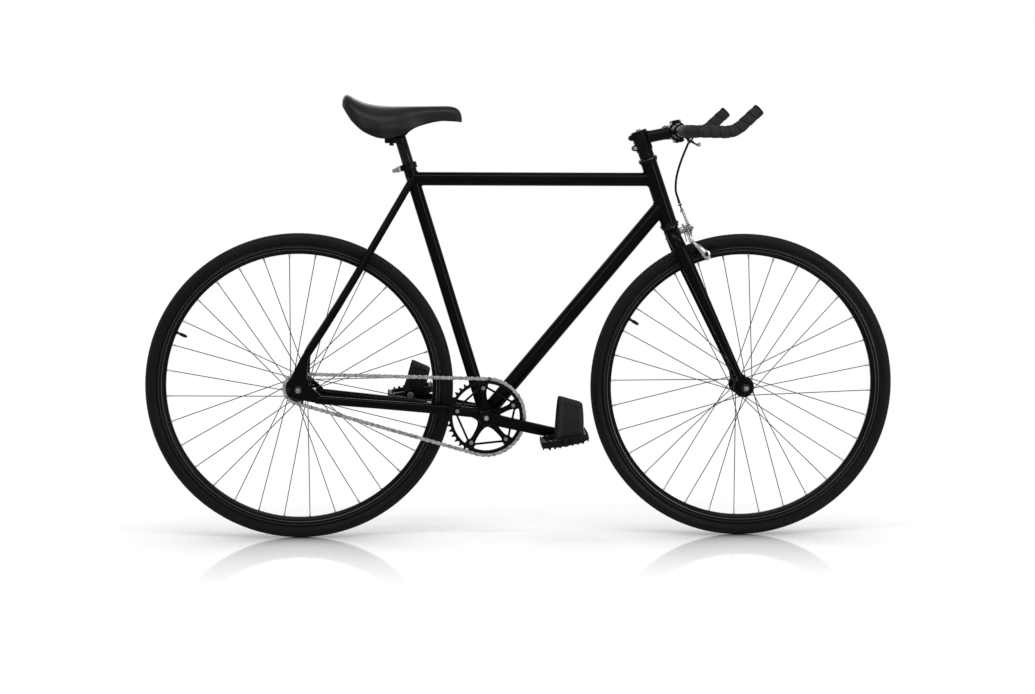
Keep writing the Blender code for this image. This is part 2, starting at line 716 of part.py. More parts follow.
def fork_blade(side):
    """One straight, tapering blade that curves in to the crown."""
    tip = (FRONT_OVER_LOCKNUT + FORK_TIP_THICKNESS) / 2.0
    crown_reach = (CROWN - FRONT_AXLE).dot(BLADE_DIRECTION)
    shoulder = crown_reach - 0.072
    stations = [
        (0.026, tip, BLADE_TIP_RADIUS, BLADE_TIP_RADIUS),
        (shoulder, BLADE_SPREAD, BLADE_TOP_HALF_DEPTH, BLADE_TOP_HALF_WIDTH),
        (crown_reach - 0.044, BLADE_SPREAD * 0.86, BLADE_TOP_HALF_DEPTH, BLADE_TOP_HALF_WIDTH),
        (crown_reach - 0.026, BLADE_SPREAD * 0.60, 0.0152, 0.0105),
        (crown_reach - 0.014, BLADE_SPREAD * 0.28, 0.0154, 0.0115),
        (crown_reach - 0.011, -0.003, 0.0154, 0.0120),
    ]
    points = []
    radii = []
    for reach, spread, depth, width in stations:
        points.append(FRONT_AXLE + BLADE_DIRECTION * reach + LEFT * side * spread)
        radii.append((depth, width))
    across = LEFT.cross(BLADE_DIRECTION)
    return swept(points, radii, STAY_SIDES, across)


def fork_tip(side):
    """The plate at a blade's foot, with its slot open at the bottom."""
    slot = FRONT_AXLE_RADIUS + GAP
    up = BLADE_DIRECTION
    along = Vector((up.z, 0.0, -up.x))
    outline = [
        (-0.0055, 0.036), (-0.0125, 0.008), (-0.0125, -0.006), (-0.0065, -0.014), (-slot, -0.014),
        (-slot, 0.001), (-slot * 0.5, slot), (slot * 0.5, slot), (slot, 0.001), (slot, -0.014),
        (0.0065, -0.014), (0.0125, -0.006), (0.0125, 0.008), (0.0055, 0.036),
    ]
    inner = side * FRONT_OVER_LOCKNUT / 2.0
    start = inner if side < 0.0 else inner + FORK_TIP_THICKNESS
    return plate([outline], FRONT_AXLE + LEFT * start, along, up, FORK_TIP_THICKNESS)


def fork():
    """Steerer, crown, blades and dropouts in one weld."""
    steerer_top = STEM_CLAMP_TOP - 0.003
    body = cylinder(CROWN - HEAD_UP * CROWN_BOSS_DEPTH, CROWN, CROWN_BOSS_DIAMETER / 2.0, TUBE_SIDES)
    body = join(
        body,
        cylinder(CROWN - HEAD_UP * 0.010, HEAD_TOP + HEAD_UP * steerer_top,
                 STEERER_DIAMETER / 2.0, TUBE_SIDES),
        fork_blade(-1.0), fork_blade(1.0), fork_tip(-1.0), fork_tip(1.0),
    )
    bore_top = HEAD_TOP + HEAD_UP * (steerer_top + 0.001)
    body = cut(
        body,
        cylinder(bore_top - HEAD_UP * STEERER_BORE_DEPTH, bore_top, STEERER_BORE / 2.0, TUBE_SIDES),
        cylinder(steer(-0.030, 0.0, CALIPER_HEIGHT), steer(0.030, 0.0, CALIPER_HEIGHT),
                 CALIPER_BOLT_RADIUS + GAP, STAY_SIDES),
        cylinder(steer(-0.030, 0.0, CALIPER_HEIGHT), steer(-CALIPER_NUT_DEPTH, 0.0, CALIPER_HEIGHT),
                 CALIPER_NUT_RADIUS + GAP, STAY_SIDES),
    )
    return body


def stem():
    """The stem body: steerer clamp, tube, bar cradle and the split rear lobes."""
    bore = STEERER_DIAMETER / 2.0 + GAP
    body = cylinder(steer(0.0, 0.0, STEM_CLAMP_BOTTOM), steer(0.0, 0.0, STEM_CLAMP_TOP),
                    STEM_CLAMP_RADIUS, TUBE_SIDES)
    body = join(body, cylinder(STEM_ROOT, BAR_CENTRE - STEM_FORWARD * 0.006, STEM_TUBE_RADIUS, TUBE_SIDES))
    half = LEFT * STEM_BAR_CLAMP_WIDTH / 2.0
    body = join(body, cylinder(BAR_CENTRE - half, BAR_CENTRE + half, STEM_BAR_CLAMP_RADIUS, TUBE_SIDES))
    ear_centre = BAR_CENTRE - STEM_FORWARD * STEM_EAR_DEPTH / 2.0
    ear_size = (STEM_EAR_DEPTH, 2.0 * STEM_EAR_HALF_HEIGHT, STEM_BAR_CLAMP_WIDTH)
    body = join(body, block(ear_centre, STEM_FORWARD, STEM_UP, LEFT, ear_size))
    for height in PINCH_LOBE_HEIGHTS:
        reach = LEFT * PINCH_LOBE_HALF_WIDTH
        centre = steer(-PINCH_LOBE_OFFSET, 0.0, height)
        body = join(body, cylinder(centre - reach, centre + reach, PINCH_LOBE_RADIUS, STAY_SIDES))
    front = BAR_CENTRE + STEM_FORWARD * 0.050
    body = cut(
        body,
        cylinder(steer(0.0, 0.0, STEM_CLAMP_BOTTOM - 0.020), steer(0.0, 0.0, STEM_CLAMP_TOP + 0.020),
                 bore, TUBE_SIDES),
        block(front, STEM_FORWARD, STEM_UP, LEFT, (0.100, 0.080, 0.080)),
        cylinder(BAR_CENTRE - half * 1.2, BAR_CENTRE + half * 1.2, BAR_CLAMP_RADIUS + GAP, TUBE_SIDES),
        block(steer(-0.030, 0.0, 0.049), HEAD_FORWARD, HEAD_UP, LEFT, (0.036, 0.080, 0.002)),
    )
    return body


def stem_faceplate():
    """The front half of the bar clamp, with its four bolt corners."""
    half = LEFT * STEM_BAR_CLAMP_WIDTH / 2.0
    body = cylinder(BAR_CENTRE - half, BAR_CENTRE + half, STEM_BAR_CLAMP_RADIUS, TUBE_SIDES)
    ear_centre = BAR_CENTRE + STEM_FORWARD * STEM_EAR_DEPTH / 2.0
    ear_size = (STEM_EAR_DEPTH, 2.0 * STEM_EAR_HALF_HEIGHT, STEM_BAR_CLAMP_WIDTH)
    body = join(body, block(ear_centre, STEM_FORWARD, STEM_UP, LEFT, ear_size))
    rear = BAR_CENTRE - STEM_FORWARD * (0.050 - 4.0 * GAP)
    return cut(
        body,
        block(rear, STEM_FORWARD, STEM_UP, LEFT, (0.100, 0.080, 0.080)),
        cylinder(BAR_CENTRE - half * 1.2, BAR_CENTRE + half * 1.2, BAR_CLAMP_RADIUS + GAP, TUBE_SIDES),
    )


def stem_cap():
    """The cap on the steerer, with its hole for the preload bolt."""
    low = STEM_CLAMP_TOP + GAP
    high = low + STEM_CAP_HEIGHT
    hole = PRELOAD_SHAFT_RADIUS + GAP
    outline = [(low, hole), (low, STEM_CLAMP_RADIUS - 0.0005), (high - 0.0015, STEM_CLAMP_RADIUS - 0.0005),
               (high, STEM_CLAMP_RADIUS - 0.003), (high, hole)]
    return turned(outline, HEAD_TOP, HEAD_UP, TUBE_SIDES)


def preload_bolt():
    """The bolt through the cap, down to the star nut inside the steerer."""
    head = STEM_CLAMP_TOP + STEM_CAP_HEIGHT + 2.0 * GAP
    nut = STEM_CLAMP_TOP - STAR_NUT_DEPTH
    outline = [
        (nut, 0.0), (nut, PRELOAD_SHAFT_RADIUS), (nut + 0.004, PRELOAD_SHAFT_RADIUS),
        (nut + 0.004, STEERER_BORE / 2.0 - GAP), (nut + 0.006, STEERER_BORE / 2.0 - GAP),
        (nut + 0.006, PRELOAD_SHAFT_RADIUS), (head, PRELOAD_SHAFT_RADIUS),
        (head, 0.005), (head + 0.003, 0.005), (head + 0.003, 0.0),
    ]
    return turned(outline, HEAD_TOP, HEAD_UP, BAR_SIDES)


def bar_stations(side):
    """Points from the middle of the bar to the end of one horn, with their distance along it."""
    bend_start = BAR_HALF_WIDTH - BAR_BEND_RADIUS
    flat_end = BAR_FLAT_REACH - BAR_HORN_BEND_RADIUS * math.tan(math.radians(BAR_HORN_ANGLE / 2.0))
    points = [(0.0, 0.035, 0.0), (0.0, 0.050, 0.0), (0.0, TAPE_START, 0.0)]
    for forward, left in arc_points((BAR_BEND_RADIUS, bend_start), BAR_BEND_RADIUS, 180.0, 90.0, 4):
        points.append((forward, left, 0.0))
    corner = (flat_end, BAR_HORN_BEND_RADIUS)
    for forward, up in arc_points(corner, BAR_HORN_BEND_RADIUS, -90.0, BAR_HORN_ANGLE - 90.0, 3):
        points.append((forward, BAR_HALF_WIDTH, up))
    tail = points[-1]
    rise = math.radians(BAR_HORN_ANGLE)
    points.append((tail[0] + BAR_HORN_LENGTH * math.cos(rise), tail[1],
                   tail[2] + BAR_HORN_LENGTH * math.sin(rise)))
    tilt = math.radians(BAR_TILT)
    ahead = Vector((math.cos(tilt), 0.0, -math.sin(tilt)))
    upward = Vector((math.sin(tilt), 0.0, math.cos(tilt)))
    return [BAR_CENTRE + ahead * forward + LEFT * side * left + upward * up for forward, left, up in points]


def handlebar():
    """A bullhorn bar: flat across, forward along the sides and up at the ends."""
    right = bar_stations(-1.0)
    left = bar_stations(1.0)
    points = list(reversed(right)) + left
    bulge = [BAR_CLAMP_RADIUS]
    plain = [BAR_RADIUS] * (len(left) - 1)
    radii = plain + bulge + bulge + plain
    body = swept(points, radii, BAR_SIDES, Vector((0, 0, 1)))
    for row in (right, left):
        out = (row[-1] - row[-2]).normalized()
        body = cut(body, cylinder(row[-1] - out * (PLUG_DEPTH + GAP), row[-1] + out * 0.001,
                                  PLUG_BORE_RADIUS, BAR_SIDES))
    return body


def resample(points, count):
    """Evenly spaced points along a path, with the distance of each from its start."""
    lengths = [0.0]
    for before, after in zip(points, points[1:]):
        lengths.append(lengths[-1] + (after - before).length)
    spaced = []
    for step in range(count):
        target = lengths[-1] * step / (count - 1)
        index = 0
        while index < len(points) - 2 and lengths[index + 1] < target:
            index += 1
        share = (target - lengths[index]) / (lengths[index + 1] - lengths[index])
        spaced.append((points[index].lerp(points[index + 1], min(share, 1.0)), target))
    return spaced


def bar_tape(side):
    """Tape wound round one side of the bar, each turn lapping the one before."""
    core = bar_stations(side)[2:]
    inner_radius = BAR_RADIUS + GAP
    inner = path_rings(core, [inner_radius] * len(core), BAR_SIDES, Vector((0, 0, 1)))
    spaced = resample(core, TAPE_RINGS)
    outer = path_rings([point for point, _ in spaced], [1.0] * TAPE_RINGS, BAR_SIDES, Vector((0, 0, 1)))
    skin = []
    for (centre, distance), ring in zip(spaced, outer):
        wound = []
        for step, point in enumerate(ring):
            phase = (distance / TAPE_LEAD + step / BAR_SIDES) % 1.0
            radius = inner_radius + TAPE_THICKNESS + TAPE_RIDGE * (0.5 - phase)
            wound.append(centre + (point - centre) * radius)
        skin.append(wound)
    return sleeve(inner, skin)


def sleeve(inner, outer):
    """A hollow sleeve between two rows of rings, which may differ in number."""
    sides = len(inner[0])
    points = [point for ring in inner + outer for point in ring]
    faces = []
    shift = len(inner) * sides
    for row in range(len(inner) - 1):
        for step in range(sides):
            after = (step + 1) % sides
            low = row * sides
            faces.append([low + after, low + step, low + sides + step, low + sides + after])
    for row in range(len(outer) - 1):
        for step in range(sides):
            after = (step + 1) % sides
            low = shift + row * sides
            faces.append([low + step, low + after, low + sides + after, low + sides + step])
    inner_last = (len(inner) - 1) * sides
    outer_last = shift + (len(outer) - 1) * sides
    for step in range(sides):
        after = (step + 1) % sides
        faces.append([step, after, shift + after, shift + step])
        faces.append([inner_last + after, inner_last + step, outer_last + step, outer_last + after])
    return solid(points, faces)


def bar_plug(side):
    """The round plug pushed into one end of the bar."""
    row = bar_stations(side)
    out = (row[-1] - row[-2]).normalized()
    shank = PLUG_BORE_RADIUS - GAP
    outline = [(-PLUG_DEPTH + GAP, 0.0), (-PLUG_DEPTH + GAP, shank), (GAP, shank), (GAP, PLUG_RADIUS),
               (0.0022, PLUG_RADIUS), (0.0040, PLUG_RADIUS * 0.7), (0.0046, 0.0)]
    return turned(outline, row[-1], out, BAR_SIDES)


def lever_frame():
    """The brake lever's hinge: its place, its axis and the way the blade moves."""
    tilt = math.radians(LEVER_AXIS_TILT)
    axis = Vector((-math.sin(tilt), 0.0, -math.cos(tilt)))
    pull = Vector((-math.cos(tilt), 0.0, math.sin(tilt)))
    place = bar_point(LEVER_PIVOT_FORWARD, -LEVER_CLAMP_OFFSET, -LEVER_PIVOT_DROP)
    return place, axis, pull


def brake_lever_clamp():
    """The ring on the bar, its forked lug and the pin that the lever turns on."""
    place, axis, _ = lever_frame()
    bore = BAR_RADIUS + GAP
    ring_radius = bore + LEVER_CLAMP_WALL
    middle = bar_point(0.0, -LEVER_CLAMP_OFFSET, 0.0)
    half = LEFT * LEVER_CLAMP_WIDTH / 2.0
    body = cylinder(middle - half, middle + half, ring_radius, TURNED_SEGMENTS)
    reach = (place - middle).normalized()
    lug_length = (place - middle).length - 0.008
    lug = middle + reach * (0.008 + lug_length / 2.0)
    cheek = axis * LEVER_LUG_HALF
    slot = axis * (LEVER_EYE_HALF + GAP)
    body = join(
        body,
        block(lug, reach, LEFT, reach.cross(LEFT), (lug_length, LEVER_CLAMP_WIDTH - 0.002, 0.010)),
        cylinder(place - cheek, place + cheek, LEVER_BOSS_RADIUS, STAY_SIDES),
    )
    body = cut(
        body,
        cylinder(place - slot, place + slot, LEVER_BOSS_RADIUS + 0.0020, TURNED_SEGMENTS),
        cylinder(middle - half * 1.4, middle + half * 1.4, bore, BAR_SIDES),
    )
    return join(body, cylinder(place - cheek * 0.9, place + cheek * 0.9, LEVER_PIN_RADIUS, STAY_SIDES))


def brake_lever():
    """The blade: an eye on the pin, then a curved finger bar along the handlebar."""
    place, axis, pull = lever_frame()
    rows = [(0.002, 0.000, 0.0020, 0.0022), (0.0090, 0.0012, 0.0020, 0.0022),
            (0.016, 0.0024, 0.0050, 0.0022), (0.030, 0.0044, 0.0056, 0.0024), (0.055, 0.0066, 0.0062, 0.0026),
            (0.078, 0.0100, 0.0058, 0.0026), (LEVER_LENGTH, 0.0135, 0.0040, 0.0022)]
    points = [place + RIGHT * out - pull * away for out, away, _, _ in rows]
    radii = [(tall, thick) for _, _, tall, thick in rows]
    eye = axis * LEVER_EYE_HALF
    body = cylinder(place - eye, place + eye, LEVER_BOSS_RADIUS - GAP, STAY_SIDES)
    body = join(body, swept(points, radii, 8, axis))
    return cut(body, cylinder(place - axis * 0.008, place + axis * 0.008, LEVER_PIN_RADIUS + GAP, STAY_SIDES))


def housing_route():
    """The cable housing's own points, from the lever's lug to the caliper's adjuster."""
    place, _, _ = lever_frame()
    stop = steer(CALIPER_FRONT_ARM, CALIPER_STOP[0], CALIPER_STOP[1] + 0.014)
    return [
        place + LEFT * (LEVER_BOSS_RADIUS + GAP), bar_point(0.0230, -0.038, -0.022),
        bar_point(0.0170, -0.022, -0.042), bar_point(0.0095, -0.006, -0.068),
        bar_point(0.0035, 0.012, -0.100), bar_point(0.0040, 0.027, -0.130),
        stop + HEAD_UP * 0.012, stop + HEAD_UP * GAP,
    ]


def smooth_route(points, spacing):
    """A smooth curve through chosen points, read off at even spacing."""
    dense = []
    last = len(points) - 1
    for index in range(last):
        p0 = points[max(index - 1, 0)]
        p1 = points[index]
        p2 = points[index + 1]
        p3 = points[min(index + 2, last)]
        for step in range(12):
            t = step / 12.0
            dense.append(0.5 * (2.0 * p1 + (p2 - p0) * t + (2.0 * p0 - 5.0 * p1 + 4.0 * p2 - p3) * t ** 2
                                + (3.0 * p1 - p0 - 3.0 * p2 + p3) * t ** 3))
    dense.append(points[-1])
    length = sum((after - before).length for before, after in zip(dense, dense[1:]))
    return [point for point, _ in resample(dense, max(int(length / spacing) + 1, 3))]


def cord(name, points, radius, finish, pivot):
    """A cord as a curve with a round section and closed ends."""
    data = bpy.data.curves.new(name, "CURVE")
    data.dimensions = "3D"
    data.bevel_depth = radius
    data.bevel_resolution = CORD_RESOLUTION
    data.use_fill_caps = True
    line = data.splines.new("POLY")
    line.points.add(len(points) - 1)
    for target, point in zip(line.points, points):
        target.co = (*(point - pivot["place"]), 1.0)
    data.materials.append(finish)
    body = bpy.data.objects.new(name, data)
    bpy.context.scene.collection.objects.link(body)
    body.parent = pivot["object"]
    return body


def pad_centre(side):
    """The middle of a brake pad, level with the rim's brake track."""
    across = RIM_WIDTH / 2.0 + PAD_CLEARANCE + PAD_THICKNESS / 2.0
    return FRONT_AXLE + polar(PAD_ANGLE, PAD_TRACK_RADIUS) + LEFT * side * across


def steer_coordinates(point):
    """A point's distances ahead of the steering axis and up it."""
    offset = point - HEAD_TOP
    return offset.dot(HEAD_FORWARD), offset.dot(HEAD_UP)


def caliper_arm(layer, route, low_side):
    """A forged arm: a curved bar through the pivot, drilled for the centre bolt."""
    pad_forward, pad_up = steer_coordinates(pad_centre(low_side))
    across = RIM_WIDTH / 2.0 + PAD_CLEARANCE + PAD_THICKNESS + 0.0045
    points = []
    radii = []
    for left, up, half in route:
        points.append(steer(layer, left, up))
        radii.append((CALIPER_ARM_HALF, half))
    points.append(steer(pad_forward - 0.006, low_side * (across + 0.0035), pad_up + 0.012))
    points.append(steer(pad_forward, low_side * across, pad_up - 0.007))
    radii += [(0.0036, 0.0045), (0.0036, 0.0048)]
    return swept(points, radii, 6, HEAD_FORWARD)


def drilled_arm(layer, route, low_side):
    """An arm with its round boss and the hole for the centre bolt."""
    body = caliper_arm(layer, route, low_side)
    front = steer(layer + CALIPER_ARM_HALF, 0.0, CALIPER_HEIGHT)
    back = steer(layer - CALIPER_ARM_HALF, 0.0, CALIPER_HEIGHT)
    body = join(body, cylinder(back - HEAD_FORWARD * 0.0002, front + HEAD_FORWARD * 0.0002, 0.0085, STAY_SIDES))
    reach = HEAD_FORWARD * 0.010
    return cut(body, cylinder(back - reach, front + reach, CALIPER_BOLT_RADIUS + GAP, STAY_SIDES))


def caliper_arm_left():
    """The front arm: adjuster at the upper left, pad at the lower left."""
    left, up = CALIPER_STOP
    route = [(left + 0.0010, up + 0.0006, 0.0040), (left - 0.0090, up - 0.0030, 0.0050),
             (left - 0.0160, up - 0.0140, 0.0052),
             (0.0100, CALIPER_HEIGHT + 0.012, 0.0060), (0.0045, CALIPER_HEIGHT - 0.001, 0.0066),
             (0.0200, CALIPER_HEIGHT - 0.016, 0.0056), (0.0340, CALIPER_HEIGHT - 0.030, 0.0050)]
    body = drilled_arm(CALIPER_FRONT_ARM, route, 1.0)
    boss = steer(CALIPER_FRONT_ARM, left, up)
    body = join(body, cylinder(boss - HEAD_UP * 0.0052, boss + HEAD_UP * 0.0135, 0.0042, BAR_SIDES))
    return cut(body, cylinder(boss - HEAD_UP * 0.010, boss + HEAD_UP * 0.020, 0.0016, BAR_SIDES))


def caliper_arm_right():
    """The rear arm: cable anchor at the lower left, pad at the lower right."""
    left, up = CALIPER_ANCHOR
    route = [(left + 0.004, up, 0.0048), (left - 0.014, up + 0.004, 0.0052),
             (0.0060, CALIPER_HEIGHT - 0.002, 0.0064), (-0.0060, CALIPER_HEIGHT, 0.0064),
             (-0.0220, CALIPER_HEIGHT - 0.012, 0.0056), (-0.0340, CALIPER_HEIGHT - 0.030, 0.0050)]
    body = drilled_arm(CALIPER_REAR_ARM, route, -1.0)
    boss = steer(CALIPER_REAR_ARM, left, up)
    return join(body, cylinder(boss + HEAD_FORWARD * 0.002, boss + HEAD_FORWARD * 0.0090, 0.0045, STAY_SIDES))


def caliper_bolt():
    """The centre bolt through the crown, with its washer, front nut and sunk rear nut."""
    shaft = CALIPER_BOLT_RADIUS
    crown_front = CROWN_BOSS_DIAMETER / 2.0 + GAP
    back = -CROWN_BOSS_DIAMETER / 2.0 + 0.001
    nut_front = -CALIPER_NUT_DEPTH - GAP
    rear_arm = CALIPER_REAR_ARM - CALIPER_ARM_HALF - GAP
    front_arm = CALIPER_FRONT_ARM + CALIPER_ARM_HALF + GAP
    outline = [
        (back, 0.0), (back, CALIPER_NUT_RADIUS), (nut_front, CALIPER_NUT_RADIUS), (nut_front, shaft),
        (crown_front, shaft), (crown_front, 0.0075), (rear_arm, 0.0075), (rear_arm, shaft),
        (front_arm, shaft), (front_arm, 0.0055), (front_arm + 0.005, 0.0055), (front_arm + 0.005, 0.0),
    ]
    return turned(outline, steer(0.0, 0.0, CALIPER_HEIGHT), HEAD_FORWARD, STAY_SIDES)


def caliper_spring():
    """The bent wire that spreads the arms, anchored above the pivot."""
    layer = CALIPER_REAR_ARM - CALIPER_ARM_HALF - 0.0022
    loop = [(-0.027, -0.030), (-0.019, -0.008), (-0.0125, 0.006), (-0.006, 0.0125), (0.006, 0.0125),
            (0.0125, 0.006), (0.019, -0.008), (0.027, -0.030)]
    points = [steer(layer, left, CALIPER_HEIGHT + up) for left, up in loop]
    return swept(points, [0.0011] * len(points), 6, HEAD_FORWARD)


def release_lever():
    """The small cam lever at the cable anchor that lets the arms spread."""
    boss = steer(CALIPER_REAR_ARM + 0.0093, CALIPER_ANCHOR[0], CALIPER_ANCHOR[1])
    hub = cylinder(boss, boss + HEAD_FORWARD * 0.004, 0.0052, STAY_SIDES)
    lift = HEAD_FORWARD * 0.002
    rows = [(0.002, 0.0, 0.0030), (0.011, 0.004, 0.0028), (0.020, 0.010, 0.0022)]
    points = [boss + lift + HEAD_FORWARD * ahead * 0.6 + LEFT * out for out, ahead, _ in rows]
    radii = [(0.0016, tall) for _, _, tall in rows]
    return join(hub, swept(points, radii, 8, HEAD_FORWARD))


def brake_pad(side):
    """A rubber block in its holder, along the brake track."""
    centre = pad_centre(side)
    tangent = polar(PAD_ANGLE - 90.0)
    radial = polar(PAD_ANGLE)
    half = PAD_THICKNESS / 2.0
    rings = []
    for shift, length, height in ((-half, 0.92, 0.88), (-half * 0.3, 1.0, 1.0), (half, 0.96, 0.9)):
        reach = PAD_LENGTH / 2.0 * length
        rise = PAD_HEIGHT / 2.0 * height
        middle = centre + LEFT * side * shift
        ring = []
        for along, up in ((-1, -0.6), (-0.86, -1), (0.86, -1), (1, -0.6), (1, 0.6), (0.86, 1), (-0.86, 1), (-1, 0.6)):
            ring.append(middle + tangent * along * reach + radial * up * rise)
        rings.append(ring)
    return loft(rings)


def tyre(axle):
    """The tyre: a round carcass that narrows to two beads inside the rim."""
    half = TYRE_WIDTH / 2.0
    centre = TYRE_RADIUS - half
    bead_outer = RIM_WIDTH / 2.0 - RIM_WALL - GAP
    bead_tip = bead_outer - 0.0011
    bead_low = RIM_EDGE_RADIUS - BEAD_DEPTH
    neck = RIM_EDGE_RADIUS + 0.0004
    inner_half = half - TYRE_WALL - 0.0017
    outline = []
    for degrees in (105.0, 50.0, 0.0, -50.0, -105.0):
        angle = math.radians(degrees)
        outline.append((half * math.sin(angle), centre + half * math.cos(angle)))
    outline += [(-bead_outer, neck), (-bead_tip, bead_low), (-inner_half, centre)]
    outline += [(0.0, TYRE_RADIUS - TYRE_WALL), (inner_half, centre)]
    outline += [(bead_tip, bead_low), (bead_outer, neck)]
    return turned(outline, axle, LEFT, WHEEL_SEGMENTS)


def rim(axle, valve_angle):
    """A V-section rim with a bed between its walls and one valve hole."""
    half = RIM_WIDTH / 2.0
    wall = half - RIM_WALL
    bed = RIM_EDGE_RADIUS - RIM_BED_DEPTH
    track = RIM_EDGE_RADIUS - RIM_BRAKE_TRACK
    nose = RIM_NOSE_WIDTH / 2.0
    outline = [
        (half, RIM_EDGE_RADIUS), (half, track), (nose, RIM_INNER_RADIUS), (-nose, RIM_INNER_RADIUS),
        (-half, track), (-half, RIM_EDGE_RADIUS), (-wall, RIM_EDGE_RADIUS), (-wall, bed),
        (wall, bed), (wall, RIM_EDGE_RADIUS),
    ]
    body = turned(outline, axle, LEFT, WHEEL_SEGMENTS)
    hole = cylinder(axle + polar(valve_angle, RIM_INNER_RADIUS - 0.010),
                    axle + polar(valve_angle, RIM_EDGE_RADIUS), VALVE_RADIUS + GAP, BAR_SIDES)
    return cut(body, hole)


def inner_tube(axle, valve_angle):
    """The air tube, with the valve bonded to it and out through the rim."""
    centre = TYRE_RADIUS - TYRE_WIDTH / 2.0 - 0.0015
    outline = []
    for step in range(INNER_TUBE_SIDES):
        angle = 2.0 * math.pi * step / INNER_TUBE_SIDES
        outline.append((INNER_TUBE_RADIUS * math.sin(angle), centre + INNER_TUBE_RADIUS * math.cos(angle)))
    body = turned(outline, axle, LEFT, INNER_TUBE_SEGMENTS)
    start = axle + polar(valve_angle, centre - 0.002)
    end = axle + polar(valve_angle, RIM_INNER_RADIUS - VALVE_REACH)
    return join(body, cylinder(start, end, VALVE_RADIUS, BAR_SIDES))


def spokes(axle, flange_offset, first_angle, leads):
    """All the spokes of a wheel, laced over three crosses; leads says which way each flange starts."""
    per_flange = SPOKE_COUNT // 2
    hole_step = 360.0 / per_flange
    rim_step = 360.0 / SPOKE_COUNT
    lead = hole_step * SPOKE_CROSSES
    rim_reach = (RIM_INNER_RADIUS - WHEEL_END_GAP) * math.cos(math.pi / WHEEL_SEGMENTS) - WHEEL_END_GAP
    points = []
    faces = []
    for side, lead_turn in zip((-1.0, 1.0), leads):
        shift = 0.0 if side < 0.0 else rim_step
        for index in range(per_flange):
            turn = lead_turn if index % 2 else -lead_turn
            rim_angle = first_angle + shift + hole_step * index
            hub_angle = rim_angle - turn * lead
            face = side * (flange_offset + turn * (FLANGE_THICKNESS / 2.0 + SPOKE_HEAD_OFFSET))
            inner = axle + polar(hub_angle, SPOKE_CIRCLE_RADIUS) + LEFT * face
            outer = axle + polar(rim_angle, rim_reach)
            start = len(points)
            for ring in path_rings([inner, outer], [SPOKE_RADIUS] * 2, 3, LEFT):
                points += ring
            faces += [[start, start + 1, start + 2], [start + 3, start + 4, start + 5]]
            for step in range(3):
                after = (step + 1) % 3
                faces.append([start + step, start + after, start + 3 + after, start + 3 + step])
    return solid(points, faces)


def front_hub():
    """The front hub shell with its spokes."""
    offset = FRONT_FLANGE_OFFSET
    thick = FLANGE_THICKNESS / 2.0
    right = [(-FRONT_HUB_HALF, HUB_BORE_RADIUS), (-FRONT_HUB_HALF, HUB_END_RADIUS),
             (-offset - thick, HUB_BARREL_RADIUS), (-offset - thick, FLANGE_RADIUS),
             (-offset + thick, FLANGE_RADIUS), (-offset + thick, HUB_BARREL_RADIUS)]
    left = [(-along, radius) for along, radius in reversed(right)]
    body = turned(right + left, FRONT_AXLE, LEFT, TURNED_SEGMENTS)
    return join(body, spokes(FRONT_AXLE, offset, FRONT_SPOKE_ANGLE, (-1.0, -1.0)))


def cog_faces():
    """The inner and outer faces of the cog, across the frame."""
    return -CHAIN_LINE - TOOTH_THICKNESS / 2.0, -CHAIN_LINE + TOOTH_THICKNESS / 2.0


def rear_hub():
    """The rear hub shell, stepped on the right for the cog and its lockring."""
    offset = REAR_FLANGE_OFFSET
    thick = FLANGE_THICKNESS / 2.0
    outer, inner = cog_faces()
    outline = [
        (-REAR_HUB_HALF, HUB_BORE_RADIUS), (-REAR_HUB_HALF, LOCKRING_SEAT_RADIUS),
        (outer - GAP, LOCKRING_SEAT_RADIUS), (outer - GAP, COG_SEAT_RADIUS),
        (inner + GAP, COG_SEAT_RADIUS), (inner + GAP, 0.0195), (-offset - thick, 0.0195),
        (-offset - thick, FLANGE_RADIUS), (-offset + thick, FLANGE_RADIUS),
        (-offset + thick, HUB_BARREL_RADIUS + 0.002), (offset - thick, HUB_BARREL_RADIUS + 0.002),
        (offset - thick, FLANGE_RADIUS), (offset + thick, FLANGE_RADIUS),
        (offset + thick, HUB_BARREL_RADIUS), (REAR_HUB_HALF, HUB_END_RADIUS),
        (REAR_HUB_HALF, HUB_BORE_RADIUS),
    ]
    body = turned(outline, REAR_AXLE, LEFT, TURNED_SEGMENTS)
    return join(body, spokes(REAR_AXLE, offset, REAR_SPOKE_ANGLE, (1.0, -1.0)))


def axle(centre, radius, hub_half, over_locknut, tip_thickness):
    """A threaded axle with its cones inside the hub, locknuts and outer nuts."""
    inner = over_locknut / 2.0 - GAP
    outer = over_locknut / 2.0 + tip_thickness + GAP
    nut = outer + AXLE_NUT_WIDTH
    end = nut + AXLE_END
    cone = HUB_BORE_RADIUS - GAP
    half = [(hub_half - 0.006, radius), (hub_half - 0.006, cone), (inner, cone), (inner, radius),
            (outer, radius), (outer, AXLE_NUT_RADIUS), (nut, AXLE_NUT_RADIUS), (nut, radius),
            (end, radius), (end, 0.0)]
    outline = [(-along, value) for along, value in reversed(half)] + half
    return turned(outline, centre, LEFT, TURNED_SEGMENTS)


def toothed_outline(radius, teeth, phase):
    """The outline of a toothed wheel; a gap between teeth lies at the phase angle."""
    outline = []
    root = radius - TOOTH_ROOT_DEPTH
    tip = radius + TOOTH_HEIGHT
    for tooth in range(teeth):
        middle = phase + 2.0 * math.pi * tooth / teeth
        spans = ((root, -TOOTH_ROOT_HALF / root), (root, TOOTH_ROOT_HALF / root), (tip, math.pi / teeth))
        for distance, shift in spans:
            outline.append((distance * math.cos(middle + shift), distance * math.sin(middle + shift)))
    return outline


def drive_direction():
    """The line from the rear axle to the bottom bracket, as an angle."""
    line = BOTTOM_BRACKET - REAR_AXLE
    return math.atan2(line.z, line.x)


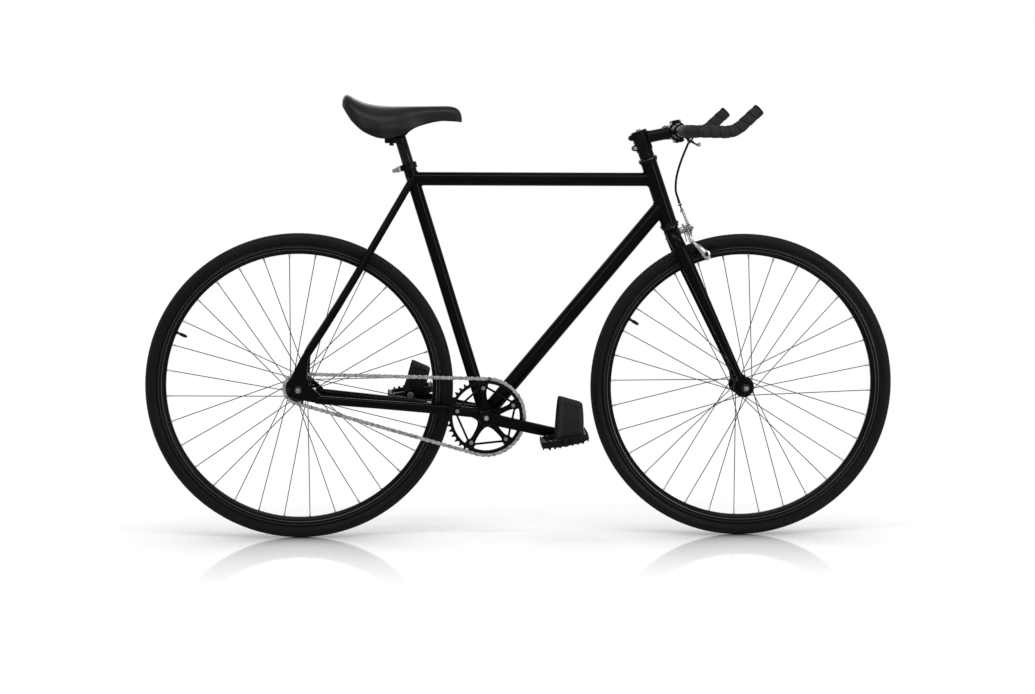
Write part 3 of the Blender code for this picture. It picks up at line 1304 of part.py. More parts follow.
def rear_cog():
    """The fixed cog, threaded on the hub."""
    phase = drive_direction() + math.pi - COG_SPAN
    outer, _ = cog_faces()
    hole = [(x, y) for x, y in arc_points((0.0, 0.0), COG_SEAT_RADIUS + GAP, 0.0, 360.0, TURNED_SEGMENTS)][:-1]
    loops = [toothed_outline(COG_RADIUS, COG_TEETH, phase), hole]
    origin = REAR_AXLE + LEFT * (outer + TOOTH_THICKNESS)
    return plate(loops, origin, LEVEL, Vector((0, 0, 1)), TOOTH_THICKNESS)


def lockring():
    """The left-threaded ring that holds the cog."""
    outer, _ = cog_faces()
    high = outer - 2.0 * GAP
    outline = [(high - LOCKRING_WIDTH, LOCKRING_SEAT_RADIUS + GAP), (high - LOCKRING_WIDTH, LOCKRING_RADIUS - 0.001),
               (high - LOCKRING_WIDTH + 0.001, LOCKRING_RADIUS), (high, LOCKRING_RADIUS),
               (high, LOCKRING_SEAT_RADIUS + GAP)]
    return turned(outline, REAR_AXLE, LEFT, TURNED_SEGMENTS)


def spider_angles():
    """The five arms of the spider; one lies straight behind the crank."""
    return [CRANK_ANGLE + 180.0 + 72.0 * index for index in range(5)]


def toothed_ring():
    """The chain ring: teeth outside, crescent windows and a five-sided hole inside."""
    phase = drive_direction() + RING_SPAN
    loops = [toothed_outline(RING_RADIUS, RING_TEETH, phase)]
    angles = spider_angles()
    for index, degrees in enumerate(angles):
        following = degrees + 72.0
        window = arc_points((0.0, 0.0), RING_INNER_RADIUS, degrees + 9.0, following - 9.0, 5)
        corner_a = (math.cos(math.radians(degrees + 9.0)), math.sin(math.radians(degrees + 9.0)))
        corner_b = (math.cos(math.radians(following - 9.0)), math.sin(math.radians(following - 9.0)))
        low = BOLT_CIRCLE_RADIUS + 0.002
        window += [(corner_b[0] * low, corner_b[1] * low), (corner_a[0] * low, corner_a[1] * low)]
        loops.append(window)
    hole = []
    for degrees in angles:
        bolt = (BOLT_CIRCLE_RADIUS * math.cos(math.radians(degrees)),
                BOLT_CIRCLE_RADIUS * math.sin(math.radians(degrees)))
        hole += arc_points(bolt, RING_TAB_RADIUS, degrees + 250.0, degrees + 110.0, 3)
    loops.append(hole)
    origin = BOTTOM_BRACKET + RIGHT * (CHAIN_LINE - TOOTH_THICKNESS / 2.0)
    return plate(loops, origin, LEVEL, Vector((0, 0, 1)), TOOTH_THICKNESS)


def crank_outline(grow):
    """The crank's side outline, from the boss to the pedal eye, grown or shrunk a little."""
    boss = CRANK_BOSS_RADIUS + grow
    eye = CRANK_EYE_RADIUS + grow
    root = CRANK_ARM_HALF + grow
    tip = CRANK_END_HALF + grow
    outline = arc_points((0.0, 0.0), boss, 55.0, 305.0, 8)
    outline += [(0.036, -root), (CRANK_LENGTH - 0.024, -tip)]
    outline += arc_points((CRANK_LENGTH, 0.0), eye, -125.0, 125.0, 6)
    outline += [(CRANK_LENGTH - 0.024, tip), (0.036, root)]
    return outline


def crank_arm(side, direction):
    """A crank arm with softened edges that flares outwards to the pedal."""
    up = Vector((-direction.z, 0.0, direction.x))
    levels = ((0.0, 0.0), (CRANK_THICKNESS - 0.003, 0.0), (CRANK_THICKNESS, -0.0026))
    rings = []
    for depth, grow in levels:
        ring = []
        for x, y in crank_outline(grow):
            flare = CRANK_FLARE * min(max(x, 0.0), CRANK_LENGTH) / CRANK_LENGTH
            across = CRANK_INNER_FACE + depth + flare
            ring.append(BOTTOM_BRACKET + direction * x + up * y + LEFT * side * across)
        rings.append(ring)
    return loft(rings)


def pedal_place(side):
    """The centre of a pedal's spindle at the crank's end, and the crank's direction."""
    direction = CRANK_DIRECTION if side < 0.0 else -CRANK_DIRECTION
    return BOTTOM_BRACKET + direction * CRANK_LENGTH, direction


def crank_outer_face():
    """How far out the crank's face lies at the pedal eye."""
    return CRANK_INNER_FACE + CRANK_FLARE + CRANK_THICKNESS


def full_crank(side):
    """A crank with its boss, its square hole and the pedal spindle screwed into its eye."""
    eye, direction = pedal_place(side)
    body = crank_arm(side, direction)
    boss_face = CRANK_INNER_FACE - 0.010
    out = LEFT * side
    body = join(body, cylinder(BOTTOM_BRACKET + out * boss_face, BOTTOM_BRACKET + out * (CRANK_INNER_FACE + 0.004),
                               CRANK_BOSS_RADIUS - 0.001, TURNED_SEGMENTS))
    face = crank_outer_face()
    pedal_end = face + PEDAL_GAP_TO_CRANK + PEDAL_WIDTH - 0.010
    spindle = [(face - 0.004, 0.0), (face - 0.004, PEDAL_THREAD_RADIUS), (face + 0.004, PEDAL_THREAD_RADIUS),
               (face + 0.006, PEDAL_SPINDLE_RADIUS), (pedal_end, PEDAL_SPINDLE_RADIUS), (pedal_end, 0.0)]
    body = join(body, turned(spindle, eye, out, TURNED_SEGMENTS))
    up = Vector((-direction.z, 0.0, direction.x))
    square = SPINDLE_SQUARE + 2.0 * GAP
    outer = CRANK_INNER_FACE + CRANK_THICKNESS
    return cut(
        body,
        block(BOTTOM_BRACKET + out * CRANK_INNER_FACE, direction, up, out, (square, square, 0.060)),
        cylinder(BOTTOM_BRACKET + out * (outer - 0.0055), BOTTOM_BRACKET + out * (outer + 0.010),
                 CRANK_BOLT_POCKET, TURNED_SEGMENTS),
    )


def spider():
    """Five tapering arms that carry the ring, with curved webs between them."""
    outline = []
    for degrees in spider_angles():
        bolt = (BOLT_CIRCLE_RADIUS * math.cos(math.radians(degrees)),
                BOLT_CIRCLE_RADIUS * math.sin(math.radians(degrees)))
        outline += arc_points(bolt, SPIDER_TIP_RADIUS, degrees - 95.0, degrees + 95.0, 4)
        for share, radius in ((0.26, SPIDER_WEB_RADIUS * 1.12), (0.5, SPIDER_WEB_RADIUS * 0.92),
                              (0.74, SPIDER_WEB_RADIUS * 1.12)):
            angle = math.radians(degrees + 72.0 * share)
            outline.append((radius * math.cos(angle), radius * math.sin(angle)))
    inner = CHAIN_LINE + TOOTH_THICKNESS / 2.0 + GAP
    return plate([outline], BOTTOM_BRACKET + RIGHT * inner, LEVEL, Vector((0, 0, 1)), SPIDER_THICKNESS)


def right_crank():
    """The drive side crank with its spider."""
    body = full_crank(-1.0)
    star = spider()
    half = SPINDLE_SQUARE / 2.0 + GAP
    star = cut(star, block(BOTTOM_BRACKET + RIGHT * CHAIN_LINE, CRANK_DIRECTION, CRANK_SIDE, RIGHT,
                           (2.0 * half, 2.0 * half, 0.040)))
    return join(body, star)


def crank_spindle():
    """The square taper spindle with a crank bolt in each end."""
    reach = CRANK_INNER_FACE + CRANK_THICKNESS - 0.0055 + GAP
    square_start = SHELL_WIDTH / 2.0 + 0.0040
    body = cylinder(BOTTOM_BRACKET - LEFT * square_start, BOTTOM_BRACKET + LEFT * square_start,
                    SPINDLE_RADIUS, TURNED_SEGMENTS)
    square_length = reach - 0.001 - square_start + 0.001
    for side in (-1.0, 1.0):
        middle = BOTTOM_BRACKET + LEFT * side * (square_start - 0.001 + square_length / 2.0)
        body = join(body, block(middle, CRANK_DIRECTION, CRANK_SIDE, RIGHT,
                                (SPINDLE_SQUARE, SPINDLE_SQUARE, square_length)))
        start = BOTTOM_BRACKET + LEFT * side * (reach - 0.003)
        head = BOTTOM_BRACKET + LEFT * side * reach
        body = join(body, cylinder(start, head + LEFT * side * 0.0002, 0.004, STAY_SIDES))
        body = join(body, cylinder(head, head + LEFT * side * 0.0042, CRANK_BOLT_RADIUS, STAY_SIDES))
    return body


def bracket_cartridge():
    """The sealed sleeve of the bottom bracket, screwed into the shell."""
    half = SHELL_WIDTH / 2.0
    outer = SHELL_BORE / 2.0 - 2.0 * GAP
    bore = SPINDLE_RADIUS + GAP
    outline = [(-half - 0.0025, bore), (-half - 0.0025, outer + 0.002), (-half - GAP, outer + 0.002),
               (-half - GAP, outer), (half + GAP, outer), (half + GAP, outer + 0.002),
               (half + 0.0025, outer + 0.002), (half + 0.0025, bore)]
    return turned(outline, BOTTOM_BRACKET, LEFT, TURNED_SEGMENTS)


def chain_pins():
    """Every pin of the chain in order, as points in the plane of the drive."""
    angle = drive_direction()
    along = Vector((math.cos(angle), 0.0, math.sin(angle)))
    across = Vector((-math.sin(angle), 0.0, math.cos(angle)))

    def on_circle(centre, radius, turn):
        return centre + along * radius * math.cos(turn) + across * radius * math.sin(turn)

    pins = []
    for index in range(RING_WRAP + 1):
        turn = RING_SPAN - 2.0 * math.pi * index / RING_TEETH
        pins.append(on_circle(BOTTOM_BRACKET, RING_RADIUS, turn))
    cog_pins = []
    for index in range(COG_WRAP + 1):
        turn = -(math.pi - COG_SPAN) - 2.0 * math.pi * index / COG_TEETH
        cog_pins.append(on_circle(REAR_AXLE, COG_RADIUS, turn))
    low_start = pins[-1]
    for index in range(1, RUN_LINKS):
        pins.append(low_start.lerp(cog_pins[0], index / RUN_LINKS))
    pins += cog_pins
    for index in range(1, RUN_LINKS):
        pins.append(cog_pins[-1].lerp(pins[0], index / RUN_LINKS))
    return pins


def chain_waist(index):
    """The inner and outer faces of a link's side plates, by turns narrow and wide."""
    narrow = INNER_PLATE_FACE
    wide = INNER_PLATE_FACE + PLATE_THICKNESS
    if CHAIN_LINKS % 2 and index == CHAIN_LINKS - 1:
        narrow = wide = (narrow + wide) / 2.0
    start = wide if index % 2 else narrow
    return start, start + PLATE_THICKNESS


def roller_chain():
    """The closed chain: side plates waisted between the pins, and a roller on each pin."""
    pins = chain_pins()
    count = len(pins)
    points = []
    faces = []
    stride = 20
    for index, pin in enumerate(pins):
        after = pins[(index + 1) % count]
        before = pins[index - 1]
        heading = (after - before).normalized()
        up = Vector((-heading.z, 0.0, heading.x))
        link = (after - pin).normalized()
        link_up = Vector((-link.z, 0.0, link.x))
        waist = pin.lerp(after, 0.5)
        waist_inner, waist_outer = chain_waist(index)
        pin_outer = INNER_PLATE_FACE + 2.0 * PLATE_THICKNESS
        for side in (-1.0, 1.0):
            base = RIGHT * CHAIN_LINE
            near = base + LEFT * side * INNER_PLATE_FACE
            far = base + LEFT * side * pin_outer
            points += [pin + near + up * LINK_HALF_HEIGHT, pin + near - up * LINK_HALF_HEIGHT,
                       pin + far + up * LINK_HALF_HEIGHT, pin + far - up * LINK_HALF_HEIGHT]
            points += [pin + near + heading * ROLLER_HALF_LENGTH, pin + near - heading * ROLLER_HALF_LENGTH]
            near = base + LEFT * side * waist_inner
            far = base + LEFT * side * waist_outer
            points += [waist + near + link_up * LINK_WAIST_HALF, waist + near - link_up * LINK_WAIST_HALF,
                       waist + far + link_up * LINK_WAIST_HALF, waist + far - link_up * LINK_WAIST_HALF]
    half = stride // 2
    for index in range(count):
        here = index * stride
        there = ((index + 1) % count) * stride
        for side in (0, half):
            a = here + side
            b = there + side
            faces += [[a, a + 2, a + 8, a + 6], [a + 1, a + 7, a + 9, a + 3], [a + 2, a + 3, a + 9, a + 8],
                      [a, a + 6, a + 7, a + 1, a + 4]]
            faces += [[a + 6, a + 8, b + 2, b], [a + 7, b + 1, b + 3, a + 9], [a + 8, a + 9, b + 3, b + 2],
                      [a + 6, b, b + 5, b + 1, a + 7]]
        for low, high in ((0, 4), (4, 1), (1, 5), (5, 0)):
            faces.append([here + low, here + high, here + half + high, here + half + low])
    return solid(points, faces)


def saddle_shape(share):
    """Half width, top height and skirt height of the saddle, from tail (0) to nose (1)."""
    width_stops = ((0.0, 0.38), (0.06, 0.72), (0.18, 0.97), (0.30, 1.0), (0.44, 0.80), (0.58, 0.50),
                   (0.72, 0.335), (0.88, 0.285), (0.96, 0.25), (1.0, 0.14))
    top_stops = ((0.0, 0.0), (0.04, 0.158), (0.10, 0.023), (0.20, -0.099), (0.34, -0.164),
                 (0.50, -0.175), (0.80, -0.166), (0.88, -0.164), (0.95, -0.222), (0.98, -0.304), (1.0, -0.468))
    skirt_stops = ((0.0, -0.187), (0.04, -0.386), (0.09, -0.596), (0.19, -0.848), (0.34, -1.0),
                   (0.50, -0.895), (0.62, -0.696), (0.75, -0.538), (0.93, -0.532), (1.0, -0.544))
    values = []
    for stops in (width_stops, top_stops, skirt_stops):
        value = stops[-1][1]
        for (x0, y0), (x1, y1) in zip(stops, stops[1:]):
            if x0 <= share <= x1:
                value = y0 + (y1 - y0) * (share - x0) / (x1 - x0)
                break
        values.append(value)
    return values[0] * SADDLE_HALF_WIDTH, values[1] * SADDLE_DROP, values[2] * SADDLE_DROP


def saddle_ring(share, inset, wall, first):
    """One cross section of the saddle: over the crown from a chosen step, then back underneath."""
    half, top, skirt = saddle_shape(share)
    half -= inset
    top -= inset
    centre = SADDLE_ORIGIN + Vector((SADDLE_LENGTH * share - SADDLE_REAR_BEHIND_POST, 0.0,
                                     SADDLE_TOP_ABOVE_POST + SADDLE_CROWN_RISE))
    thin = min(wall, half * 0.45)
    low_top = max(top - wall * 1.2, skirt + 0.004)
    steps = list(range(first, SADDLE_STEPS + 1 - first))
    ring = []
    for width, height, row in ((half, top, steps), (half - thin, low_top, reversed(steps))):
        for step in row:
            turn = math.pi * step / SADDLE_STEPS
            sway = math.cos(turn)
            across = math.copysign(abs(sway) ** 0.85, sway)
            rise = max(math.sin(turn), 0.0) ** 0.72
            ring.append(centre + Vector((0.0, width * across, skirt + (height - skirt) * rise)))
    return ring


def saddle_point(along, across, up):
    """A point from the post's head, in shares of the saddle's length, rail spread and height."""
    return SADDLE_ORIGIN + Vector((along * SADDLE_LENGTH, across * RAIL_SPREAD, up * SADDLE_TOP_ABOVE_POST))


def saddle_cover():
    """The padded cover: crowned, with drawn-in sides and a rolled tail."""
    shares = (0.0, 0.02, 0.06, 0.12, 0.20, 0.30, 0.42, 0.54, 0.66, 0.80, 0.92, 0.98, 1.0)
    return loft([saddle_ring(share, 0.0, SADDLE_PADDING, 0) for share in shares])


def saddle_base():
    """The moulded shell under the cover, with three sockets for the rails."""
    shares = (0.06, 0.12, 0.20, 0.30, 0.42, 0.54, 0.66, 0.80, 0.92)
    body = loft([saddle_ring(share, SADDLE_BASE_INSET, SADDLE_BASE_WALL, 2) for share in shares])
    up = Vector((0, 0, 1))
    for side in (-1.0, 1.0):
        socket = saddle_point(-0.423, side * 1.227, 0.8346)
        body = join(body, block(socket, LEVEL, LEFT, up, (0.006, 0.006, SADDLE_TOP_ABOVE_POST * 0.1333)))
    nose = saddle_point(0.3885, 0.0, 0.6593)
    return join(body, block(nose, LEVEL, LEFT, up, (0.014, 0.010, SADDLE_TOP_ABOVE_POST * 0.1136)))


def saddle_rails():
    """One steel wire bent into two rails that meet under the nose."""
    bed = RAIL_HEIGHT / SADDLE_TOP_ABOVE_POST
    half = [(-0.4231, 1.273, 0.7284), (-0.400, 1.273, 0.6049), (-0.3308, 1.227, 0.4198),
            (-0.2538, 1.068, 0.1852), (RAIL_BED[0] / SADDLE_LENGTH, 1.0, bed), (0.0, 1.0, bed),
            (0.0692, 0.864, 0.2593), (0.1385, 0.636, 0.3827), (0.2692, 0.409, 0.5062),
            (0.3769, 0.295, 0.5531), (0.4077, 0.182, 0.5556)]
    right = [saddle_point(along, -across, up) for along, across, up in half]
    left = [saddle_point(along, across, up) for along, across, up in reversed(half)]
    points = right + left
    return swept(points, [RAIL_RADIUS] * len(points), 8, Vector((0, 0, 1)))


def rail_grooves():
    """Two bars that cut the rails' grooves in the post's head and in the clamp."""
    grooves = []
    for side in (-1.0, 1.0):
        start = SADDLE_ORIGIN + Vector((RAIL_BED[0], side * RAIL_SPREAD, RAIL_HEIGHT))
        end = SADDLE_ORIGIN + Vector((RAIL_BED[1], side * RAIL_SPREAD, RAIL_HEIGHT))
        grooves.append(cylinder(start, end, RAIL_RADIUS + GAP, 8))
    return grooves


def seat_post():
    """The post and its forged head, cut to take the rails."""
    radius = SEAT_POST_DIAMETER / 2.0
    bottom = SEAT_TOP - SEAT_UP * SEAT_POST_INSERTION
    body = cylinder(bottom, SADDLE_ORIGIN - SEAT_UP * 0.006, radius, TUBE_SIDES)
    head = SADDLE_ORIGIN + Vector((-0.0155, 0.0, -0.0015))
    body = join(body, block(head, LEVEL, LEFT, Vector((0, 0, 1)), (0.039, 0.056, 0.013)))
    bolt = SADDLE_ORIGIN + Vector((-RAIL_CLAMP_BOLT, 0.0, 0.0))
    reach = Vector((0, 0, 0.030))
    return cut(body, *rail_grooves(), cylinder(bolt - reach, bolt + reach, 0.0034, STAY_SIDES))


def rail_clamp():
    """The upper half of the rail clamp."""
    centre = SADDLE_ORIGIN + Vector((-0.0185, 0.0, 0.0115))
    body = block(centre, LEVEL, LEFT, Vector((0, 0, 1)), (0.033, 0.056, 0.0120))
    bolt = SADDLE_ORIGIN + Vector((-RAIL_CLAMP_BOLT, 0.0, 0.0))
    return cut(body, *rail_grooves(), cylinder(bolt, bolt + Vector((0, 0, 0.040)), 0.0034, STAY_SIDES))


def rail_clamp_bolt():
    """The bolt from under the head up into the clamp."""
    low = -0.0015 - 0.0065 - GAP
    high = 0.0175 + GAP
    outline = [(low - 0.005, 0.0), (low - 0.005, 0.0052), (low, 0.0052), (low, 0.0030), (high, 0.0030),
               (high, 0.0052), (high + 0.003, 0.0052), (high + 0.003, 0.0)]
    return turned(outline, SADDLE_ORIGIN + Vector((-RAIL_CLAMP_BOLT, 0.0, 0.0)), Vector((0, 0, 1)), STAY_SIDES)


def collar_point(forward, left, up):
    """A point measured from the seat tube's top, square to the tube."""
    return SEAT_TOP + SEAT_FORWARD * forward + LEFT * left + SEAT_UP * up


def seat_post_collar():
    """The clamp round the seat tube's top, with two ears at the rear."""
    low = -COLLAR_RECESS
    high = COLLAR_HEIGHT - COLLAR_RECESS
    step = GAP
    tube_bore = SEAT_TUBE_DIAMETER / 2.0 + GAP
    post_bore = SEAT_POST_DIAMETER / 2.0 + GAP
    outline = [(low, tube_bore), (low, COLLAR_RADIUS), (high, COLLAR_RADIUS), (high, post_bore),
               (step, post_bore), (step, tube_bore)]
    body = turned(outline, SEAT_TOP, SEAT_UP, TUBE_SIDES)
    middle = (low + high) / 2.0
    ears = block(collar_point(-COLLAR_RADIUS - 0.004, 0.0, middle), SEAT_FORWARD, SEAT_UP, LEFT,
                 (0.013, COLLAR_HEIGHT - 0.002, 0.020))
    ears = cut(ears, cylinder(SEAT_TOP - SEAT_UP * 0.040, SEAT_TOP + SEAT_UP * 0.040,
                              COLLAR_RADIUS - 0.002, TUBE_SIDES))
    body = join(body, ears)
    skewer = collar_point(-COLLAR_RADIUS - 0.0055, 0.0, middle)
    return cut(
        body,
        cylinder(skewer - LEFT * 0.020, skewer + LEFT * 0.020, 0.0028, STAY_SIDES),
        block(collar_point(-COLLAR_RADIUS, 0.0, middle), SEAT_FORWARD, SEAT_UP, LEFT,
              (0.026, COLLAR_HEIGHT + 0.010, 0.0025)),
    )


def skewer_place():
    """The middle of the collar's skewer."""
    return collar_point(-COLLAR_RADIUS - 0.0055, 0.0, COLLAR_HEIGHT / 2.0 - COLLAR_RECESS)


def collar_skewer():
    """The collar's through bolt, with its nut on the left and the cam pin's fork on the right."""
    ear = 0.010 + GAP
    outline = [(-0.0165, 0.0), (-0.0165, 0.0040), (-ear, 0.0040), (-ear, 0.0025), (ear, 0.0025),
               (ear, 0.0060), (ear + 0.005, 0.0060), (ear + 0.005, 0.0)]
    return turned(outline, skewer_place(), LEFT, STAY_SIDES)


def collar_lever():
    """The cam lever, closed along the collar and pointing back."""
    place = lever_pin_place()
    body = cylinder(place - SEAT_UP * 0.0055, place + SEAT_UP * 0.0055, 0.0055, STAY_SIDES)
    rows = [(0.002, 0.0, 0.0050), (0.010, 0.0015, 0.0050), (0.018, 0.0005, 0.0042)]
    points = [place - SEAT_FORWARD * back + RIGHT * out for back, out, _ in rows]
    radii = [(tall, 0.0024) for _, _, tall in rows]
    return join(body, swept(points, radii, 8, SEAT_UP))


def lever_pin_place():
    """Where the collar lever's cam turns, just outside the skewer's end."""
    return skewer_place() + RIGHT * (0.0165 + 0.0055 + GAP)


def pedal_point(side, forward, out, up):
    """A point measured from the crank's eye, in the pedal's own tilted directions."""
    eye, _ = pedal_place(side)
    return eye + PEDAL_FORWARD * forward + LEFT * side * out + PEDAL_UP * up


def pedal_body(side):
    """A cage with two windows, bored along its middle for the spindle."""
    start = crank_outer_face() + PEDAL_GAP_TO_CRANK
    half = PEDAL_LENGTH / 2.0
    corner = 0.012
    wide = PEDAL_WIDTH
    outline = [(-half, corner), (-half + corner, 0.0), (half - corner, 0.0), (half, corner),
               (half, wide - corner), (half - corner, wide), (-half + corner, wide), (-half, wide - corner)]
    loops = [outline]
    bar = PEDAL_FRAME_WIDTH
    for sign in (-1.0, 1.0):
        near = sign * (PEDAL_BARREL_RADIUS - 0.001)
        far = sign * (half - bar)
        loops.append([(near, bar), (far, bar + 0.004), (far, wide - bar - 0.004), (near, wide - bar)])
    low = PEDAL_HALF_THICKNESS
    origin = pedal_point(side, 0.0, start, -side * low)
    body = plate(loops, origin, PEDAL_FORWARD, LEFT * side, 2.0 * PEDAL_HALF_THICKNESS)
    barrel_start = pedal_point(side, 0.0, start, 0.0)
    barrel_end = pedal_point(side, 0.0, start + PEDAL_WIDTH, 0.0)
    body = join(body, cylinder(barrel_start, barrel_end, PEDAL_BARREL_RADIUS, TURNED_SEGMENTS))
    bore_start = pedal_point(side, 0.0, start - 0.004, 0.0)
    bore_end = pedal_point(side, 0.0, start + PEDAL_WIDTH - 0.008, 0.0)
    return cut(body, cylinder(bore_start, bore_end, PEDAL_SPINDLE_RADIUS + GAP, TURNED_SEGMENTS))


def foot_strap(side, height, edges):
    """A wide webbing strap that arches over the pedal and hooks under both its sides.

    Each edge has its place along the pedal at the foot and at the top, and how much it rises.
    """
    inner_edge = crank_outer_face() + PEDAL_GAP_TO_CRANK - GAP * 2.0
    outer_edge = inner_edge + PEDAL_WIDTH + GAP * 4.0
    middle = (inner_edge + outer_edge) / 2.0
    reach = (outer_edge - inner_edge) / 2.0
    under = -PEDAL_BARREL_RADIUS - 2.0 * GAP
    line = [(inner_edge + 0.012, under), (inner_edge, under)]
    steps = 10
    for step in range(steps + 1):
        turn = math.pi * (1.0 - step / steps)
        lift = math.sin(turn) ** 0.55 if step not in (0, steps) else 0.0
        line.append((middle + reach * math.cos(turn), PEDAL_HALF_THICKNESS + (height - PEDAL_HALF_THICKNESS) * lift))
    line += [(outer_edge, under), (outer_edge - 0.012, under)]
    rings = []
    for index, (out, up) in enumerate(line):
        before = line[max(index - 1, 0)]
        after = line[min(index + 1, len(line) - 1)]
        heading = Vector((after[0] - before[0], after[1] - before[1])).normalized()
        normal = Vector((-heading.y, heading.x)) * STRAP_THICKNESS
        if index in (0, len(line) - 1):
            normal = Vector((0.0, -STRAP_THICKNESS))
        share = max(up, 0.0) / height
        ring = []
        for low, high, lean in edges:
            forward = low + (high - low) * share
            rise = up * (1.0 + lean * share)
            ring.append(pedal_point(side, forward, out, rise))
            ring.append(pedal_point(side, forward, out + normal.x, rise + normal.y))
        rings.append([ring[0], ring[1], ring[3], ring[2]])
    eyelet = PEDAL_SPINDLE_RADIUS + 0.0025
    start = pedal_point(side, 0.0, inner_edge - 0.006, 0.0)
    end = pedal_point(side, 0.0, inner_edge + 0.006, 0.0)
    return cut(loft(rings), cylinder(start, end, eyelet, TURNED_SEGMENTS))


def build():
    """Make every piece and hang the moving ones on their pivots."""
    clear_scene()
    black = finish_of("black_paint", (0.012, 0.012, 0.013), 0.35)
    dark = finish_of("black_anodised", (0.02, 0.02, 0.02), 0.4, 0.6)
    steel = finish_of("bright_steel", (0.72, 0.72, 0.72), 0.25, 1.0)
    chain_steel = finish_of("chain_steel", (0.55, 0.55, 0.55), 0.35, 1.0)
    rubber = finish_of("tyre_rubber", (0.018, 0.018, 0.018), 0.8)
    cloth = finish_of("strap_webbing", (0.02, 0.02, 0.02), 0.9)
    vinyl = finish_of("saddle_vinyl", (0.016, 0.016, 0.016), 0.5)
    plastic = finish_of("black_plastic", (0.02, 0.02, 0.02), 0.55)

    steering = pivot_at("steering_pivot", HEAD_TOP)
    front_wheel = pivot_at("front_wheel_pivot", FRONT_AXLE, steering)
    rear_wheel = pivot_at("rear_wheel_pivot", REAR_AXLE)
    cranks = pivot_at("crank_pivot", BOTTOM_BRACKET)
    post = pivot_at("seat_post_pivot", SEAT_TOP)
    lever = pivot_at("collar_lever_pivot", lever_pin_place())
    brake = pivot_at("brake_lever_pivot", lever_frame()[0], steering)
    left_arm = pivot_at("left_arm_pivot", steer(CALIPER_FRONT_ARM, 0.0, CALIPER_HEIGHT), steering)
    right_arm = pivot_at("right_arm_pivot", steer(CALIPER_REAR_ARM, 0.0, CALIPER_HEIGHT), steering)
    release = pivot_at("release_pivot", steer(CALIPER_REAR_ARM, *CALIPER_ANCHOR), right_arm)
    right_pedal = pivot_at("right_pedal_pivot", pedal_place(-1.0)[0], cranks)
    left_pedal = pivot_at("left_pedal_pivot", pedal_place(1.0)[0], cranks)

    piece("frame", welded_frame(), black)
    piece("upper_headset_cup", headset_cup(HEAD_TOP, HEAD_UP), dark)
    piece("lower_headset_cup", headset_cup(HEAD_BOTTOM, -HEAD_UP), dark)
    piece("upper_headset_bearing", headset_bearing(HEAD_TOP, HEAD_UP), steel)
    piece("lower_headset_bearing", headset_bearing(HEAD_BOTTOM, -HEAD_UP), steel)
    piece("bottom_bracket_cartridge", bracket_cartridge(), dark)
    piece("seat_post_collar", seat_post_collar(), dark)
    piece("collar_skewer", collar_skewer(), steel)
    piece("collar_lever", collar_lever(), steel, lever)
    piece("chain", roller_chain(), chain_steel)
    piece("rear_axle", axle(REAR_AXLE, REAR_AXLE_RADIUS, REAR_HUB_HALF, REAR_OVER_LOCKNUT,
                            TRACK_END_THICKNESS), steel)

    piece("seat_post", seat_post(), dark, post)
    piece("rail_clamp", rail_clamp(), dark, post)
    piece("rail_clamp_bolt", rail_clamp_bolt(), steel, post)
    piece("saddle_rails", saddle_rails(), dark, post)
    piece("saddle_base", saddle_base(), plastic, post)
    piece("saddle_cover", saddle_cover(), vinyl, post)

    piece("fork", fork(), black, steering)
    piece("crown_race", crown_race(), steel, steering)
    piece("headset_cover", headset_cover(), dark, steering)
    piece("headset_spacer", headset_spacer(), dark, steering)
    piece("stem", stem(), dark, steering)
    piece("stem_faceplate", stem_faceplate(), dark, steering)
    piece("stem_cap", stem_cap(), dark, steering)
    piece("preload_bolt", preload_bolt(), steel, steering)
    piece("handlebar", handlebar(), dark, steering)
    piece("right_bar_tape", bar_tape(-1.0), rubber, steering)
    piece("left_bar_tape", bar_tape(1.0), rubber, steering)
    piece("right_bar_plug", bar_plug(-1.0), plastic, steering)
    piece("left_bar_plug", bar_plug(1.0), plastic, steering)
    piece("brake_lever_clamp", brake_lever_clamp(), dark, steering)
    piece("brake_lever", brake_lever(), steel, brake)
    cord("brake_cable_housing", smooth_route(housing_route(), 0.011), HOUSING_RADIUS, plastic, steering)
    wire_top = steer(CALIPER_FRONT_ARM, CALIPER_STOP[0], CALIPER_STOP[1] + 0.0130)
    wire_low = steer(CALIPER_FRONT_ARM + 0.0012, CALIPER_ANCHOR[0] + 0.0075, CALIPER_ANCHOR[1] - 0.012)
    wire_middle = steer(CALIPER_FRONT_ARM, CALIPER_STOP[0], CALIPER_STOP[1] - 0.012)
    cord("brake_inner_wire", [wire_top, wire_middle, wire_low], WIRE_RADIUS, steel, steering)
    piece("caliper_bolt", caliper_bolt(), steel, steering)
    piece("caliper_spring", caliper_spring(), steel, steering)
    piece("left_caliper_arm", caliper_arm_left(), steel, left_arm)
    piece("right_caliper_arm", caliper_arm_right(), steel, right_arm)
    piece("left_brake_pad", brake_pad(1.0), rubber, left_arm)
    piece("right_brake_pad", brake_pad(-1.0), rubber, right_arm)
    piece("caliper_release_lever", release_lever(), steel, release)
    piece("front_axle", axle(FRONT_AXLE, FRONT_AXLE_RADIUS, FRONT_HUB_HALF, FRONT_OVER_LOCKNUT,
                             FORK_TIP_THICKNESS), steel, steering)

